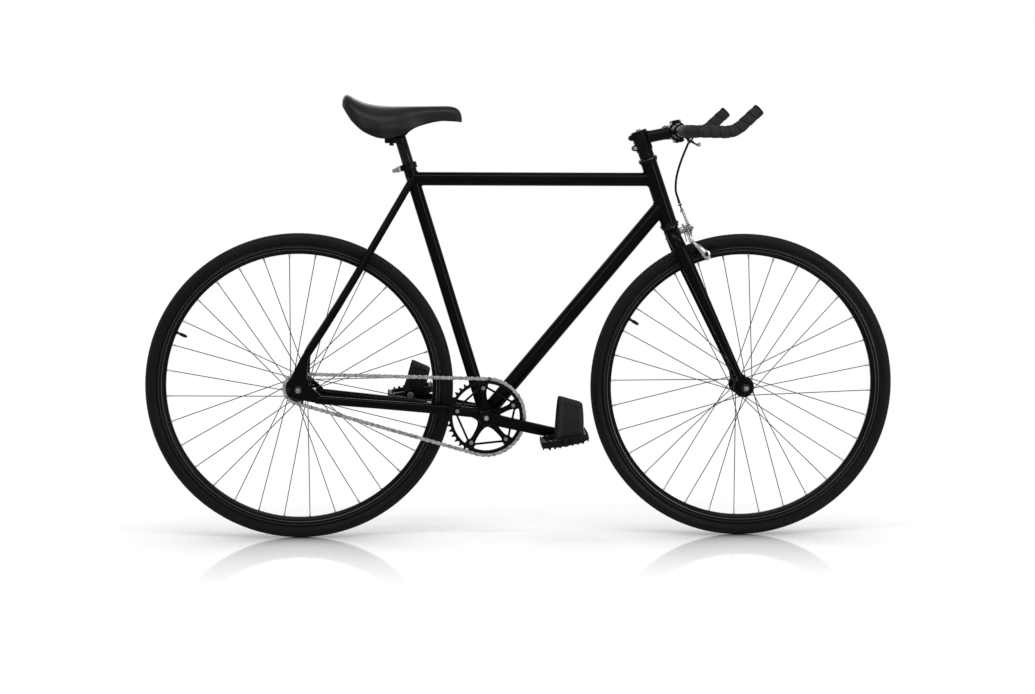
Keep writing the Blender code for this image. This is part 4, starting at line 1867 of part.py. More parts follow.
    rim_step = 360.0 / SPOKE_COUNT
    front_valve = FRONT_SPOKE_ANGLE + VALVE_HOLE_STEPS * rim_step
    rear_valve = REAR_SPOKE_ANGLE + VALVE_HOLE_STEPS * rim_step
    piece("front_tyre", tyre(FRONT_AXLE), rubber, front_wheel)
    piece("front_inner_tube", inner_tube(FRONT_AXLE, front_valve), rubber, front_wheel)
    piece("front_rim", rim(FRONT_AXLE, front_valve), dark, front_wheel)
    piece("front_hub", front_hub(), dark, front_wheel)
    piece("rear_tyre", tyre(REAR_AXLE), rubber, rear_wheel)
    piece("rear_inner_tube", inner_tube(REAR_AXLE, rear_valve), rubber, rear_wheel)
    piece("rear_rim", rim(REAR_AXLE, rear_valve), dark, rear_wheel)
    piece("rear_hub", rear_hub(), dark, rear_wheel)
    piece("rear_cog", rear_cog(), steel, rear_wheel)
    piece("rear_lockring", lockring(), steel, rear_wheel)

    piece("crank_spindle", crank_spindle(), steel, cranks)
    piece("right_crank", right_crank(), black, cranks)
    piece("left_crank", full_crank(1.0), black, cranks)
    piece("chainring", toothed_ring(), black, cranks)
    piece("right_pedal", pedal_body(-1.0), plastic, right_pedal)
    piece("left_pedal", pedal_body(1.0), plastic, left_pedal)
    piece("right_foot_strap", foot_strap(-1.0, RIGHT_STRAP_HEIGHT, RIGHT_STRAP_EDGES), cloth, right_pedal)
    piece("left_foot_strap", foot_strap(1.0, LEFT_STRAP_HEIGHT, LEFT_STRAP_EDGES), cloth, left_pedal)


build()
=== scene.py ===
"""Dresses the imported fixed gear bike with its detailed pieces, its finishes and a plain studio."""

import math

import bmesh
import bpy
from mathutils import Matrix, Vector
from mathutils.geometry import tessellate_polygon


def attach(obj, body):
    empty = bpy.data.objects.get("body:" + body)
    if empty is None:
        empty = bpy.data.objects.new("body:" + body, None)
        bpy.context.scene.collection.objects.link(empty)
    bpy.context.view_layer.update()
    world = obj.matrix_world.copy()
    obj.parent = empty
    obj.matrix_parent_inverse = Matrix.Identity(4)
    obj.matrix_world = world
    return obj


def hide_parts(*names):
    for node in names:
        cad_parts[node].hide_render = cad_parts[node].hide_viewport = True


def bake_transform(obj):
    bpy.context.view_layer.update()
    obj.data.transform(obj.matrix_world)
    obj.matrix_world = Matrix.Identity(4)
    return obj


bl_info = {
    "name": "Fixed gear bike",
    "version": (1, 0, 0),
    "blender": (4, 5, 0),
    "location": "View3D > Sidebar > Bike",
    "description": "Builds the visible pieces and finishes of a fixed gear bike on its packed frame",
    "category": "Object",
}

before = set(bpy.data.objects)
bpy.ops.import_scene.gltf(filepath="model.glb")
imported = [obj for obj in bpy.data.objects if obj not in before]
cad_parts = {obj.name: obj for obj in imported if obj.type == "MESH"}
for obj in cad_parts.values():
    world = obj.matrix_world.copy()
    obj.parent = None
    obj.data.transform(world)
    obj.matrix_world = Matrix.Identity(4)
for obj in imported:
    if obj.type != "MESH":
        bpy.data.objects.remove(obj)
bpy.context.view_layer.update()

GAP = 0.0003
LEFT = Vector((0.0, 1.0, 0.0))
RIGHT = Vector((0.0, -1.0, 0.0))
LEVEL = Vector((1.0, 0.0, 0.0))
UPRIGHT = Vector((0.0, 0.0, 1.0))

# The wheels, in metres and degrees.
TYRE_RADIUS = 0.339
TYRE_WIDTH = 0.028
TYRE_WALL = 0.0028
TREAD_EDGE = 0.333
RIM_EDGE_RADIUS = 0.314
RIM_INNER_RADIUS = 0.293
RIM_WIDTH = 0.022
RIM_WALL = 0.0018
RIM_BED_DEPTH = 0.008
RIM_BRAKE_TRACK = 0.012
RIM_NOSE_WIDTH = 0.008
BEAD_DEPTH = 0.0055
SPOKE_COUNT = 32
SPOKE_CROSSES = 3
SPOKE_RADIUS = 0.00095
SPOKE_HEAD_OFFSET = 0.00042
FRONT_SPOKE_ANGLE = 87.7
REAR_SPOKE_ANGLE = 94.0
VALVE_HOLE_STEPS = 5.5
VALVE_REACH = 0.024
FLANGE_RADIUS = 0.023
FLANGE_THICKNESS = 0.0032
SPOKE_CIRCLE_RADIUS = 0.0195
HUB_BARREL_RADIUS = 0.014
HUB_BORE_RADIUS = 0.009
HUB_END_RADIUS = 0.012
HUB_LIP = 0.0005
FRONT_FLANGE_OFFSET = 0.0345
FRONT_HUB_HALF = 0.043
FRONT_OVER_LOCKNUT = 0.100
FRONT_AXLE_RADIUS = 0.0045
REAR_FLANGE_OFFSET = 0.030
REAR_HUB_HALF = 0.049
REAR_OVER_LOCKNUT = 0.120
REAR_AXLE_RADIUS = 0.005
COG_SEAT_RADIUS = 0.017
LOCKRING_SEAT_RADIUS = 0.0150
LOCKRING_RADIUS = 0.021
LOCKRING_WIDTH = 0.004
AXLE_NUT_RADIUS = 0.0095
AXLE_NUT_WIDTH = 0.008
AXLE_END = 0.0065
FORK_TIP_THICKNESS = 0.0055
TRACK_END_THICKNESS = 0.006

# The drive.
CHAIN_PITCH = 0.0127
RING_TEETH = 42
COG_TEETH = 16
CHAINSTAY_LENGTH = 0.416
CHAIN_LINE = 0.042
TOOTH_THICKNESS = 0.0028
INNER_PLATE_FACE = 0.00165
PLATE_THICKNESS = 0.0013
BOLT_CIRCLE_RADIUS = 0.065
ARM_PITCH = 72.0
RING_INNER_RADIUS = 0.074
RING_TAB_RADIUS = 0.009
SPIDER_THICKNESS = 0.005
SPIDER_TIP_RADIUS = 0.0075
CRANK_LENGTH = 0.170
CRANK_ANGLE = -12.2
CRANK_THICKNESS = 0.012
CRANK_FLARE = 0.010
CRANK_BOSS_RADIUS = 0.018
CRANK_ARM_HALF = 0.0125
CRANK_END_HALF = 0.0115
CRANK_EYE_RADIUS = 0.014
CRANK_INNER_FACE = 0.0525
SPINDLE_RADIUS = 0.0085
SPINDLE_SQUARE = 0.0125
CRANK_BOLT_RADIUS = 0.0075
PEDAL_SPINDLE_RADIUS = 0.005
PEDAL_THREAD_RADIUS = 0.007

# The frame and the fork.
HEAD_ANGLE = 71.0
SEAT_ANGLE = 72.9
HEAD_TUBE_LENGTH = 0.139
HEAD_TUBE_DIAMETER = 0.036
HEAD_TUBE_BORE = 0.034
TOP_TUBE_DIAMETER = 0.030
DOWN_TUBE_DIAMETER = 0.034
SEAT_TUBE_DIAMETER = 0.0286
SEAT_TUBE_BORE_DEPTH = 0.180
TOP_TUBE_DROP = 0.0365
DOWN_TUBE_RISE = 0.042
SHELL_DIAMETER = 0.040
SHELL_BORE = 0.034
SHELL_WIDTH = 0.068
SEAT_STAY_DIAMETER = 0.016
SEAT_STAY_SPREAD = 0.0155
CHAIN_STAY_HALF_WIDTH = 0.0085
CHAIN_STAY_HALF_HEIGHT = 0.011
CHAIN_STAY_END_RADIUS = 0.008
CHAIN_STAY_SPREAD = 0.0235
CHAIN_STAY_RISE = 0.0064
BRIDGE_DIAMETER = 0.013
STEERER_DIAMETER = 0.0286
CROWN_BOSS_DIAMETER = 0.034
CROWN_BOSS_DEPTH = 0.022
BLADE_SPREAD = 0.0335
BLADE_TOP_HALF_DEPTH = 0.0150
BLADE_TOP_OFFSET = -0.001
BLADE_TOP_HALF_WIDTH = 0.0095
BLADE_TIP_RADIUS = 0.0065
LOWER_STACK = 0.013
CUP_FLANGE_RADIUS = 0.0213
CUP_DEPTH = 0.008
CUP_INSERT_DEPTH = 0.010
BEARING_RADIUS = 0.0188
BEARING_HEIGHT = 0.0042
SPACER_RADIUS = 0.0166
SPACER_BOTTOM = 0.0133
SPACER_TOP = 0.0277

# The stem, the bar and the brake.
STEM_CLAMP_BOTTOM = 0.028
STEM_CLAMP_TOP = 0.070
STEM_CLAMP_RADIUS = 0.0185
STEM_AXIS_HEIGHT = 0.0567
STEM_LENGTH = 0.080
STEM_DROP_ANGLE = 7.7
STEM_TUBE_RADIUS = 0.0132
STEM_BAR_CLAMP_RADIUS = 0.0205
STEM_BAR_CLAMP_WIDTH = 0.044
STEM_EAR_HALF_HEIGHT = 0.025
STEM_EAR_DEPTH = 0.009
PINCH_LOBE_RADIUS = 0.0066
PINCH_LOBE_OFFSET = 0.0198
PINCH_LOBE_HEIGHTS = (0.0401, 0.0640)
PINCH_LOBE_HALF_WIDTH = 0.010
STEM_CAP_HEIGHT = 0.004
BAR_CLAMP_RADIUS = 0.0159
BAR_RADIUS = 0.0111
BAR_TILT = 1.2
BAR_HALF_WIDTH = 0.216
BAR_BEND_RADIUS = 0.040
BAR_FLAT_REACH = 0.093
BAR_HORN_ANGLE = 44.0
BAR_HORN_BEND_RADIUS = 0.050
BAR_HORN_LENGTH = 0.0485
TAPE_START = 0.115
TAPE_THICKNESS = 0.0015
TAPE_RIDGE = 0.0011
TAPE_LEAD = 0.020
PLUG_RADIUS = 0.0131
PLUG_BORE_RADIUS = 0.0092
PLUG_DEPTH = 0.020
LEVER_CLAMP_OFFSET = 0.058
LEVER_CLAMP_WIDTH = 0.012
LEVER_CLAMP_WALL = 0.0036
LEVER_PIVOT_FORWARD = 0.0235
LEVER_PIVOT_DROP = 0.0185
LEVER_AXIS_TILT = 60.0
LEVER_BOSS_RADIUS = 0.0062
LEVER_LUG_HALF = 0.0062
LEVER_EYE_HALF = 0.0025
LEVER_LENGTH = 0.088
LEVER_PIN_RADIUS = 0.0025
HOUSING_RADIUS = 0.0025
WIRE_RADIUS = 0.0009
CALIPER_HEIGHT = -0.165
CALIPER_FRONT_ARM = 0.0405
CALIPER_REAR_ARM = 0.0335
CALIPER_ARM_HALF = 0.0029
CALIPER_FRONT_FACE = CALIPER_FRONT_ARM + CALIPER_ARM_HALF + GAP
CALIPER_REAR_FACE = CALIPER_REAR_ARM - CALIPER_ARM_HALF - GAP
CALIPER_STOP = (0.034, CALIPER_HEIGHT + 0.0405)
CALIPER_ANCHOR = (0.034, CALIPER_HEIGHT - 0.0120)
CALIPER_BOLT_RADIUS = 0.003
PAD_ANGLE = 106.4
PAD_TRACK_RADIUS = RIM_EDGE_RADIUS - 0.0065
PAD_LENGTH = 0.050
PAD_HEIGHT = 0.009
PAD_THICKNESS = 0.008
PAD_CLEARANCE = 0.0025

# The seat post and the saddle.
SEAT_POST_DIAMETER = 0.0254
SEAT_POST_INSERTION = 0.090
COLLAR_HEIGHT = 0.014
COLLAR_RADIUS = 0.0178
COLLAR_RECESS = 0.010
SADDLE_LENGTH = 0.260
SADDLE_HALF_WIDTH = 0.074
SADDLE_REAR_BEHIND_POST = 0.1265
SADDLE_TOP_ABOVE_POST = 0.081
SADDLE_DROP = 0.0855
SADDLE_FOLD_HEIGHT = 0.021
SADDLE_CROWN_RISE = 0.0065
SADDLE_PADDING = 0.010
SADDLE_BASE_INSET = 0.0125
SADDLE_BASE_WALL = 0.0035
RAIL_RADIUS = 0.0035
RAIL_SPREAD = 0.022
RAIL_HEIGHT = 0.008
RAIL_BED = (-0.050, 0.012)
RAIL_CLAMP_BOLT = 0.020

# The pedals.
PEDAL_LENGTH = 0.104
PEDAL_WIDTH = 0.090
PEDAL_HALF_THICKNESS = 0.0085
PEDAL_BARREL_RADIUS = 0.0115
PEDAL_GAP_TO_CRANK = 0.008
PEDAL_PITCH = 11.0
PEDAL_FRAME_WIDTH = 0.010
CRANK_EYE_FACE = CRANK_INNER_FACE + CRANK_FLARE + CRANK_THICKNESS
PEDAL_START = CRANK_EYE_FACE + PEDAL_GAP_TO_CRANK
STRAP_THICKNESS = 0.0025
RIGHT_STRAP_HEIGHT = 0.080
LEFT_STRAP_HEIGHT = 0.056
RIGHT_STRAP_EDGES = ((-0.021, 0.005, 0.156), (0.040, 0.052, -0.145))
LEFT_STRAP_EDGES = ((-0.020, 0.017, 0.220), (0.034, 0.054, -0.240))

# The points that everything else is measured from.
REAR_AXLE = Vector((-0.491902, 0.0, 0.339))
FRONT_AXLE = Vector((0.491902, 0.0, 0.339))
BOTTOM_BRACKET = Vector((-0.081098, 0.0, 0.275))
HEAD_TOP = Vector((0.278616, 0.0, 0.834031))
SEAT_TOP = Vector((-0.251112, 0.0, 0.827638))
SADDLE_ORIGIN = Vector((-0.26802, 0.0, 0.8826))
TOP_TUBE_HEIGHT = HEAD_TOP.z - TOP_TUBE_DROP


def polar(degrees, radius=1.0):
    """A point in the bike's middle plane, by its angle above the ground."""
    turn = math.radians(degrees)
    return Vector((radius * math.cos(turn), 0.0, radius * math.sin(turn)))


HEAD_UP = polar(180.0 - HEAD_ANGLE)
HEAD_FORWARD = Vector((HEAD_UP.z, 0.0, -HEAD_UP.x))
SEAT_UP = polar(180.0 - SEAT_ANGLE)
SEAT_FORWARD = Vector((SEAT_UP.z, 0.0, -SEAT_UP.x))
HEAD_BOTTOM = HEAD_TOP - HEAD_UP * HEAD_TUBE_LENGTH
CROWN = HEAD_BOTTOM - HEAD_UP * LOWER_STACK
STEM_FORWARD = (HEAD_FORWARD * math.cos(math.radians(STEM_DROP_ANGLE))
                - HEAD_UP * math.sin(math.radians(STEM_DROP_ANGLE)))
STEM_UP = Vector((-STEM_FORWARD.z, 0.0, STEM_FORWARD.x))
STEM_ROOT = HEAD_TOP + HEAD_UP * STEM_AXIS_HEIGHT
BAR_CENTRE = STEM_ROOT + STEM_FORWARD * STEM_LENGTH
BLADE_DIRECTION = (CROWN - HEAD_UP * 0.010 + HEAD_FORWARD * BLADE_TOP_OFFSET - FRONT_AXLE).normalized()
CRANK_DIRECTION = polar(CRANK_ANGLE)
PEDAL_FORWARD = polar(PEDAL_PITCH)
PEDAL_UP = Vector((-PEDAL_FORWARD.z, 0.0, PEDAL_FORWARD.x))

RING_RADIUS = CHAIN_PITCH / (2.0 * math.sin(math.pi / RING_TEETH))
COG_RADIUS = CHAIN_PITCH / (2.0 * math.sin(math.pi / COG_TEETH))
CHAIN_SLOPE = math.asin((RING_RADIUS - COG_RADIUS) / CHAINSTAY_LENGTH)
RING_WRAP = math.floor(RING_TEETH * (0.5 + CHAIN_SLOPE / math.pi))
COG_WRAP = math.floor(COG_TEETH * (0.5 - CHAIN_SLOPE / math.pi))
RING_SPAN = math.pi * RING_WRAP / RING_TEETH
COG_SPAN = math.pi * COG_WRAP / COG_TEETH
SPAN_SHIFT = RING_RADIUS * math.cos(RING_SPAN) + COG_RADIUS * math.cos(COG_SPAN)
SPAN_RISE = RING_RADIUS * math.sin(RING_SPAN) - COG_RADIUS * math.sin(COG_SPAN)
RUN_LINKS = round(math.hypot(CHAINSTAY_LENGTH + SPAN_SHIFT, SPAN_RISE) / CHAIN_PITCH)

# The camera, in metres and degrees; a lens and sensor in millimetres.
CAMERA_PLACE = Vector((-0.2508, -4.3, 0.892))
CAMERA_YAW = 3.204
CAMERA_PITCH = -6.18
CAMERA_ROLL = 0.248
CAMERA_LENS = 67.84
CAMERA_SENSOR = 36.0
CAMERA_FAR = 60.0
FLOOR_REACH = 9.0

# How finely round forms are cut, and from which angle on an edge is drawn sharp.
ARM_STEPS = 6
BEAD_SIDES = 10
BLADE_STEPS = 24
STAY_SIDES = 32
STEM_SIDES = 64
TAPE_SIDES = 40
TAPE_RINGS = 200
STRAP_STEPS = 10
SHARP_ANGLE = 40.0
CUT_SHARP_ANGLE = 32.0
SLIVER_AREA = 1e-11
SLIVER_LENGTH = 1e-7
TIP_STEPS = ((0.92, 0.35), (0.70, 0.75), (0.35, 0.97))


class BikeShapes(bpy.types.PropertyGroup):
    """The sizes that a user would change."""

    tube_sides: bpy.props.IntProperty(
        name="Tube sides", description="Facets round the frame tubes", default=48, min=12)
    wheel_sides: bpy.props.IntProperty(
        name="Wheel sides", description="Facets round the tyres and rims", default=192, min=32)
    weld_radius: bpy.props.FloatProperty(
        name="Weld bead", description="Radius of the weld beads", default=0.0019, unit="LENGTH")
    tread_depth: bpy.props.FloatProperty(
        name="Tread depth", description="Depth of the tyre's tread", default=0.0006, unit="LENGTH")
    crown_fill: bpy.props.FloatProperty(
        name="Saddle fill", description="How tightly the saddle is padded", default=0.8,
        min=0.0, max=1.0, subtype="FACTOR")


class BikeColours(bpy.types.PropertyGroup):
    """The colours that a user would change."""

    paint: bpy.props.FloatVectorProperty(
        name="Paint", description="Frame and fork", default=(0.0012, 0.0012, 0.0014), subtype="COLOR")
    anodised: bpy.props.FloatVectorProperty(
        name="Anodised", description="Black metal parts", default=(0.0028, 0.0028, 0.0030), subtype="COLOR")
    steel: bpy.props.FloatVectorProperty(
        name="Steel", description="Bright metal parts", default=(0.30, 0.30, 0.305), subtype="COLOR")
    rubber: bpy.props.FloatVectorProperty(
        name="Rubber", description="Tyres", default=(0.0024, 0.0024, 0.0027), subtype="COLOR")
    vinyl: bpy.props.FloatVectorProperty(
        name="Vinyl", description="Saddle cover", default=(0.0048, 0.0048, 0.0050), subtype="COLOR")
    webbing: bpy.props.FloatVectorProperty(
        name="Webbing", description="Foot straps", default=(0.009, 0.009, 0.0095), subtype="COLOR")
    floor: bpy.props.FloatVectorProperty(
        name="Floor", description="Studio floor", default=(0.8, 0.8, 0.8), subtype="COLOR")


class Value:
    """A number inside a shader; sums on it add the nodes that work them out."""

    def __init__(self, paint, socket):
        self.paint = paint
        self.socket = socket

    def maths(self, operation, *numbers):
        return self.paint.node("ShaderNodeMath", {"operation": operation}, dict(enumerate(numbers)))

    def __add__(self, other):
        return self.maths("ADD", self, other)

    def __radd__(self, other):
        return self.maths("ADD", other, self)

    def __sub__(self, other):
        return self.maths("SUBTRACT", self, other)

    def __rsub__(self, other):
        return self.maths("SUBTRACT", other, self)

    def __mul__(self, other):
        return self.maths("MULTIPLY", self, other)

    def __rmul__(self, other):
        return self.maths("MULTIPLY", other, self)

    def __truediv__(self, other):
        return self.maths("DIVIDE", self, other)

    def sine(self):
        return self.maths("SINE", self)

    def size(self):
        return self.maths("ABSOLUTE", self)

    def power(self, exponent):
        return self.maths("POWER", self, exponent)

    def remainder(self, step):
        return self.maths("FLOORED_MODULO", self, step)

    def between(self, low, high):
        """0 below low, 1 above high, with a soft step in the middle."""
        return self.paint.node("ShaderNodeMapRange", {"interpolation_type": "SMOOTHSTEP"},
                               {"Value": self, "From Min": low, "From Max": high})


class Nodes:
    """A node tree and the one method that adds nodes to it."""

    def __init__(self, tree):
        self.tree = tree

    def plug(self, socket, value):
        """Give a number, a colour or a link to a socket."""
        if isinstance(value, Value):
            self.tree.links.new(value.socket, socket)
        else:
            socket.default_value = value

    def node(self, kind, settings=None, inputs=None, output=0):
        """One node: its settings, then its sockets' values or links, and the output wanted."""
        made = self.tree.nodes.new(kind)
        for key, setting in (settings or {}).items():
            setattr(made, key, setting)
        for key, value in (inputs or {}).items():
            self.plug(made.inputs[key], value)
        return Value(self, made.outputs[output])


class Finish(Nodes):
    """One surface finish: a Principled shader and the nodes that feed it."""

    def __init__(self, name, roughness, metallic=0.0, specular=0.5):
        self.surface = bpy.data.materials.new(name)
        self.surface.use_nodes = True
        super().__init__(self.surface.node_tree)
        self.shader = self.tree.nodes["Principled BSDF"]
        self.feed("Roughness", roughness)
        self.feed("Metallic", metallic)
        self.feed("Specular IOR Level", specular)

    def feed(self, socket, value):
        """Give a value or a link to one of the shader's sockets."""
        self.plug(self.shader.inputs[socket], value)

    def spot(self):
        """Where the point lies on the piece."""
        return self.node("ShaderNodeTexCoord", output="Object")

    def lay(self):
        """Distances along and across a wound or woven strip, kept on its points."""
        return self.node("ShaderNodeAttribute", {"attribute_name": "lay"}, output="Vector")

    def stretched(self, place, scale):
        return self.node("ShaderNodeVectorMath", {"operation": "MULTIPLY"}, {0: place, 1: scale})

    def axes(self, place):
        parts = self.node("ShaderNodeSeparateXYZ", inputs={0: place}).socket.node
        return [Value(self, socket) for socket in parts.outputs]

    def noise(self, scale, detail=2.0, place=None, roughness=0.5):
        return self.node("ShaderNodeTexNoise", {}, {
            "Vector": place or self.spot(), "Scale": scale, "Detail": detail, "Roughness": roughness})

    def cells(self, scale, place=None, feature="F1", randomness=1.0):
        return self.node("ShaderNodeTexVoronoi", {"feature": feature}, {
            "Vector": place or self.spot(), "Scale": scale, "Randomness": randomness})

    def blend(self, share, one, other):
        """A colour between two, by a share."""
        pair = {0: share}
        for socket, colour in ((6, one), (7, other)):
            pair[socket] = colour if isinstance(colour, Value) else (*colour, 1.0)
        return self.node("ShaderNodeMix", {"data_type": "RGBA"}, pair, 2)

    def tones(self, share, colour, dark, pale):
        """Two shades of one colour, by a share."""
        return self.blend(share, tint(colour, dark), tint(colour, pale))

    def relief(self, height, depth, strength=1.0):
        """Feed a height in 0 to 1 to the normal, with its real depth in metres."""
        bump = self.node("ShaderNodeBump", {}, {"Height": height, "Distance": depth, "Strength": strength})
        self.feed("Normal", bump)


def tint(colour, factor):
    return tuple(channel * factor for channel in colour)


def paint_finish(colours):
    """Semi-gloss black powder coat with a light orange peel."""
    finish = Finish("black_paint_coat", 0.2, specular=0.040)
    haze = finish.noise(11.0, 4.0)
    finish.feed("Base Color", finish.tones(haze, colours.paint, 0.8, 1.35))
    finish.feed("Roughness", 0.13 + haze * 0.09)
    finish.relief(finish.noise(650.0, 2.0), 0.00003)
    return finish.surface


def anodised_finish(colours):
    """Bead blasted black anodising, a little worn where it is handled."""
    finish = Finish("black_anodised_metal", 0.3, metallic=0.2, specular=0.055)
    wear = finish.noise(26.0, 5.0).between(0.56, 0.78)
    finish.feed("Base Color", finish.tones(wear, colours.anodised, 1.0, 2.2))
    finish.feed("Roughness", 0.22 + finish.noise(300.0, 2.0) * 0.12)
    finish.relief(finish.noise(2200.0, 1.0), 0.00002)
    return finish.surface


def rim_finish(colours):
    """Black rim: satin on the flanks, with fine turning marks on the brake track and two pale lines painted
    on the track as highlights.
    """
    finish = Finish("black_rim_metal", 0.24, metallic=0.3, specular=0.05)
    x, _, z = finish.axes(finish.spot())
    radius = (x * x + z * z).power(0.5)
    low = RIM_EDGE_RADIUS - RIM_BRAKE_TRACK
    track = radius.between(low - 0.0008, low + 0.0008)
    lines = (radius * 14000.0).sine()
    # Two thin pale lines painted on the brake track: painted highlights, not wear.
    painted_edge_highlights = (1.0 - (radius - low - 0.0003).size().between(0.0002, 0.0010)) + (
        1.0 - (radius - RIM_EDGE_RADIUS + 0.0052).size().between(0.0001, 0.0008)) * 0.7
    dark = finish.tones(track, colours.anodised, 1.0, 1.4)
    finish.feed("Base Color", finish.blend(painted_edge_highlights * 0.55, dark, (0.11, 0.11, 0.11)))
    finish.feed("Roughness", 0.22 - track * 0.04 + finish.noise(90.0, 3.0) * 0.08)
    finish.relief(lines * track * 0.5 + 0.5, 0.00002)
    return finish.surface


def spoke_finish(colours):
    """Black oxide steel wire."""
    finish = Finish("black_spoke_steel", 0.34, metallic=0.6)
    finish.feed("Base Color", finish.tones(finish.noise(40.0, 3.0), colours.anodised, 1.0, 2.6))
    finish.feed("Roughness", 0.28 + finish.noise(120.0, 2.0) * 0.16)
    return finish.surface


def dark_steel_finish(colours):
    """Blackened steel with rubbed edges, for the nuts, the cog and the cups' races."""
    finish = Finish("blackened_steel", 0.3, metallic=0.7)
    rubbed = finish.noise(210.0, 4.0).between(0.52, 0.80)
    finish.feed("Base Color", finish.tones(rubbed, colours.anodised, 2.2, 14.0))
    finish.feed("Roughness", 0.24 + finish.noise(500.0, 2.0) * 0.16)
    finish.relief(finish.noise(900.0, 2.0), 0.00002)
    return finish.surface


def post_finish(colours):
    """Polished black seat post, scored lightly along its length where it slides."""
    finish = Finish("polished_black_post", 0.14, specular=0.10)
    score = finish.noise(1.0, 2.0, finish.stretched(finish.spot(), (900.0, 900.0, 14.0)))
    finish.feed("Base Color", finish.tones(score, colours.anodised, 0.5, 1.1))
    finish.feed("Roughness", 0.07 + score * 0.08)
    finish.relief(score, 0.000004)
    return finish.surface


def steel_finish(colours):
    """Bright plated metal with faint handling marks."""
    finish = Finish("bright_plated_steel", 0.2, metallic=1.0)
    place = finish.spot()
    marks = finish.noise(70.0, 4.0, place)
    finish.feed("Base Color", finish.tones(marks, colours.steel, 0.6, 1.25))
    finish.feed("Roughness", 0.16 + finish.noise(240.0, 3.0, place) * 0.16)
    finish.relief(finish.noise(800.0, 2.0, place), 0.00001)
    return finish.surface


def grey_steel_finish(colours):
    """Duller plated steel, as on the ring bolts and the crank bolts."""
    finish = Finish("dull_plated_steel", 0.3, metallic=1.0)
    marks = finish.noise(180.0, 4.0)
    finish.feed("Base Color", finish.tones(marks, colours.steel, 0.42, 0.8))
    finish.feed("Roughness", 0.24 + finish.noise(320.0, 3.0) * 0.18)
    finish.relief(finish.noise(900.0, 2.0), 0.00001)
    return finish.surface


def wire_finish(colours):
    """Twisted steel strands of an inner wire."""
    finish = Finish("stranded_wire_steel", 0.28, metallic=1.0)
    x, y, z = finish.axes(finish.spot())
    twist = ((x + y) * 3200.0 + z * 1900.0).sine() * 0.5 + 0.5
    # The grooves between strands are painted darker than the strands: painted shade.
    finish.feed("Base Color", finish.blend(twist, tint(colours.steel, 0.45), colours.steel))
    finish.relief(twist, 0.0001)
    return finish.surface


def chain_finish(colours):
    """Chain steel: bright faces with a thin film of oil and dark joints."""
    finish = Finish("oiled_chain_steel", 0.3, metallic=1.0)
    oil = finish.noise(160.0, 3.0).between(0.42, 0.72)
    finish.feed("Base Color", finish.tones(oil, colours.steel, 1.05, 0.38))
    finish.feed("Roughness", 0.26 + oil * 0.2)
    finish.relief(finish.noise(1500.0, 1.0), 0.00002)
    return finish.surface


def tyre_finish(colours):
    """Tyre rubber: a fine file tread on the crown, ribs on the shoulders and smooth walls."""
    finish = Finish("tyre_tread_rubber", 0.42, specular=0.075)
    x, y, z = finish.axes(finish.spot())
    radius = (x * x + z * z).power(0.5)
    angle = finish.node("ShaderNodeMath", {"operation": "ARCTAN2"}, {0: z, 1: x})
    across = y.size()
    crown = radius.between(TREAD_EDGE, TREAD_EDGE + 0.0015)
    wall = radius.between(RIM_EDGE_RADIUS + 0.0015, RIM_EDGE_RADIUS + 0.0035)
    slant = (angle * 640.0 + across * 900.0).sine()
    rows = (across * 2800.0).sine()
    cross = (slant * rows).between(-0.15, 0.35)
    ring = ((radius * 4300.0).sine() * 0.5 + 0.5).between(0.55, 0.9) * (1.0 - crown)
    dust = finish.noise(34.0, 4.0)
    middle = 1.0 - across.between(0.0005, 0.0012)
    # The crown is painted paler than the walls: partly road dust, partly a painted highlight on the tread.
    pale = finish.tones(crown, colours.rubber, 1.0, 3.2)
    finish.feed("Base Color", finish.blend(dust * 0.55, pale, tint(colours.rubber, 2.4)))
    finish.feed("Roughness", 0.30 + crown * 0.26 + dust * 0.10)
    height = crown * cross * (1.0 - middle) + ring * wall * 0.35 + finish.noise(900.0, 2.0) * 0.12
    finish.relief(height, bpy.context.scene.bike_shapes.tread_depth)
    return finish.surface


def tape_finish(colours):
    """Padded bar tape with rows of small round holes and a darker lapped edge; the holes and the lapped edge
    are painted dark as shade.
    """
    finish = Finish("cork_bar_tape", 0.7, specular=0.08)
    lay = finish.lay()
    _, across, _ = finish.axes(lay)
    row = finish.stretched(lay, (420.0, 420.0, 1.0))
    holes = finish.cells(1.0, row, randomness=0.0).between(0.16, 0.3)
    fleck = finish.cells(900.0)
    edge = across.between(0.0, 0.0018)
    mottle = finish.noise(60.0, 4.0)
    speck = finish.noise(1300.0, 2.0).between(0.60, 0.72)
    tone = finish.tones(mottle, colours.webbing, 1.0, 2.5)
    tone = finish.blend(speck * 0.8, tone, tint(colours.webbing, 9.0))
    # The lapped edge and the holes are painted darker: painted shade in the crease and the hollows.
    finish.feed("Base Color", finish.blend(edge * (0.45 + holes * 0.55), tint(colours.webbing, 0.25), tone))
    finish.feed("Roughness", 0.62 + mottle * 0.16)
    finish.relief(holes * 0.75 + fleck * 0.12 + edge * 0.4, 0.0005)
    return finish.surface


def webbing_finish(colours):
    """Woven nylon webbing: a tight twill with lines of stitching along its edges."""
    finish = Finish("woven_strap_nylon", 0.8, specular=0.06)
    along, across, seam = finish.axes(finish.lay())
    weave = ((along + across) * 2600.0).sine() * ((along - across) * 2600.0).sine()
    thread = ((along * 1500.0).sine()).between(-0.2, 0.5) * seam
    # The weave's hollows are painted darker than its raised threads: painted shade.
    tone = finish.tones(weave * 0.5 + 0.5, colours.webbing, 0.65, 1.9)
    finish.feed("Base Color", finish.blend(thread, tone, tint(colours.webbing, 3.4)))
    finish.feed("Roughness", 0.74 + finish.noise(120.0, 2.0) * 0.14)
    finish.relief(weave * 0.3 + thread * 0.7 + 0.3, 0.00035)
    return finish.surface


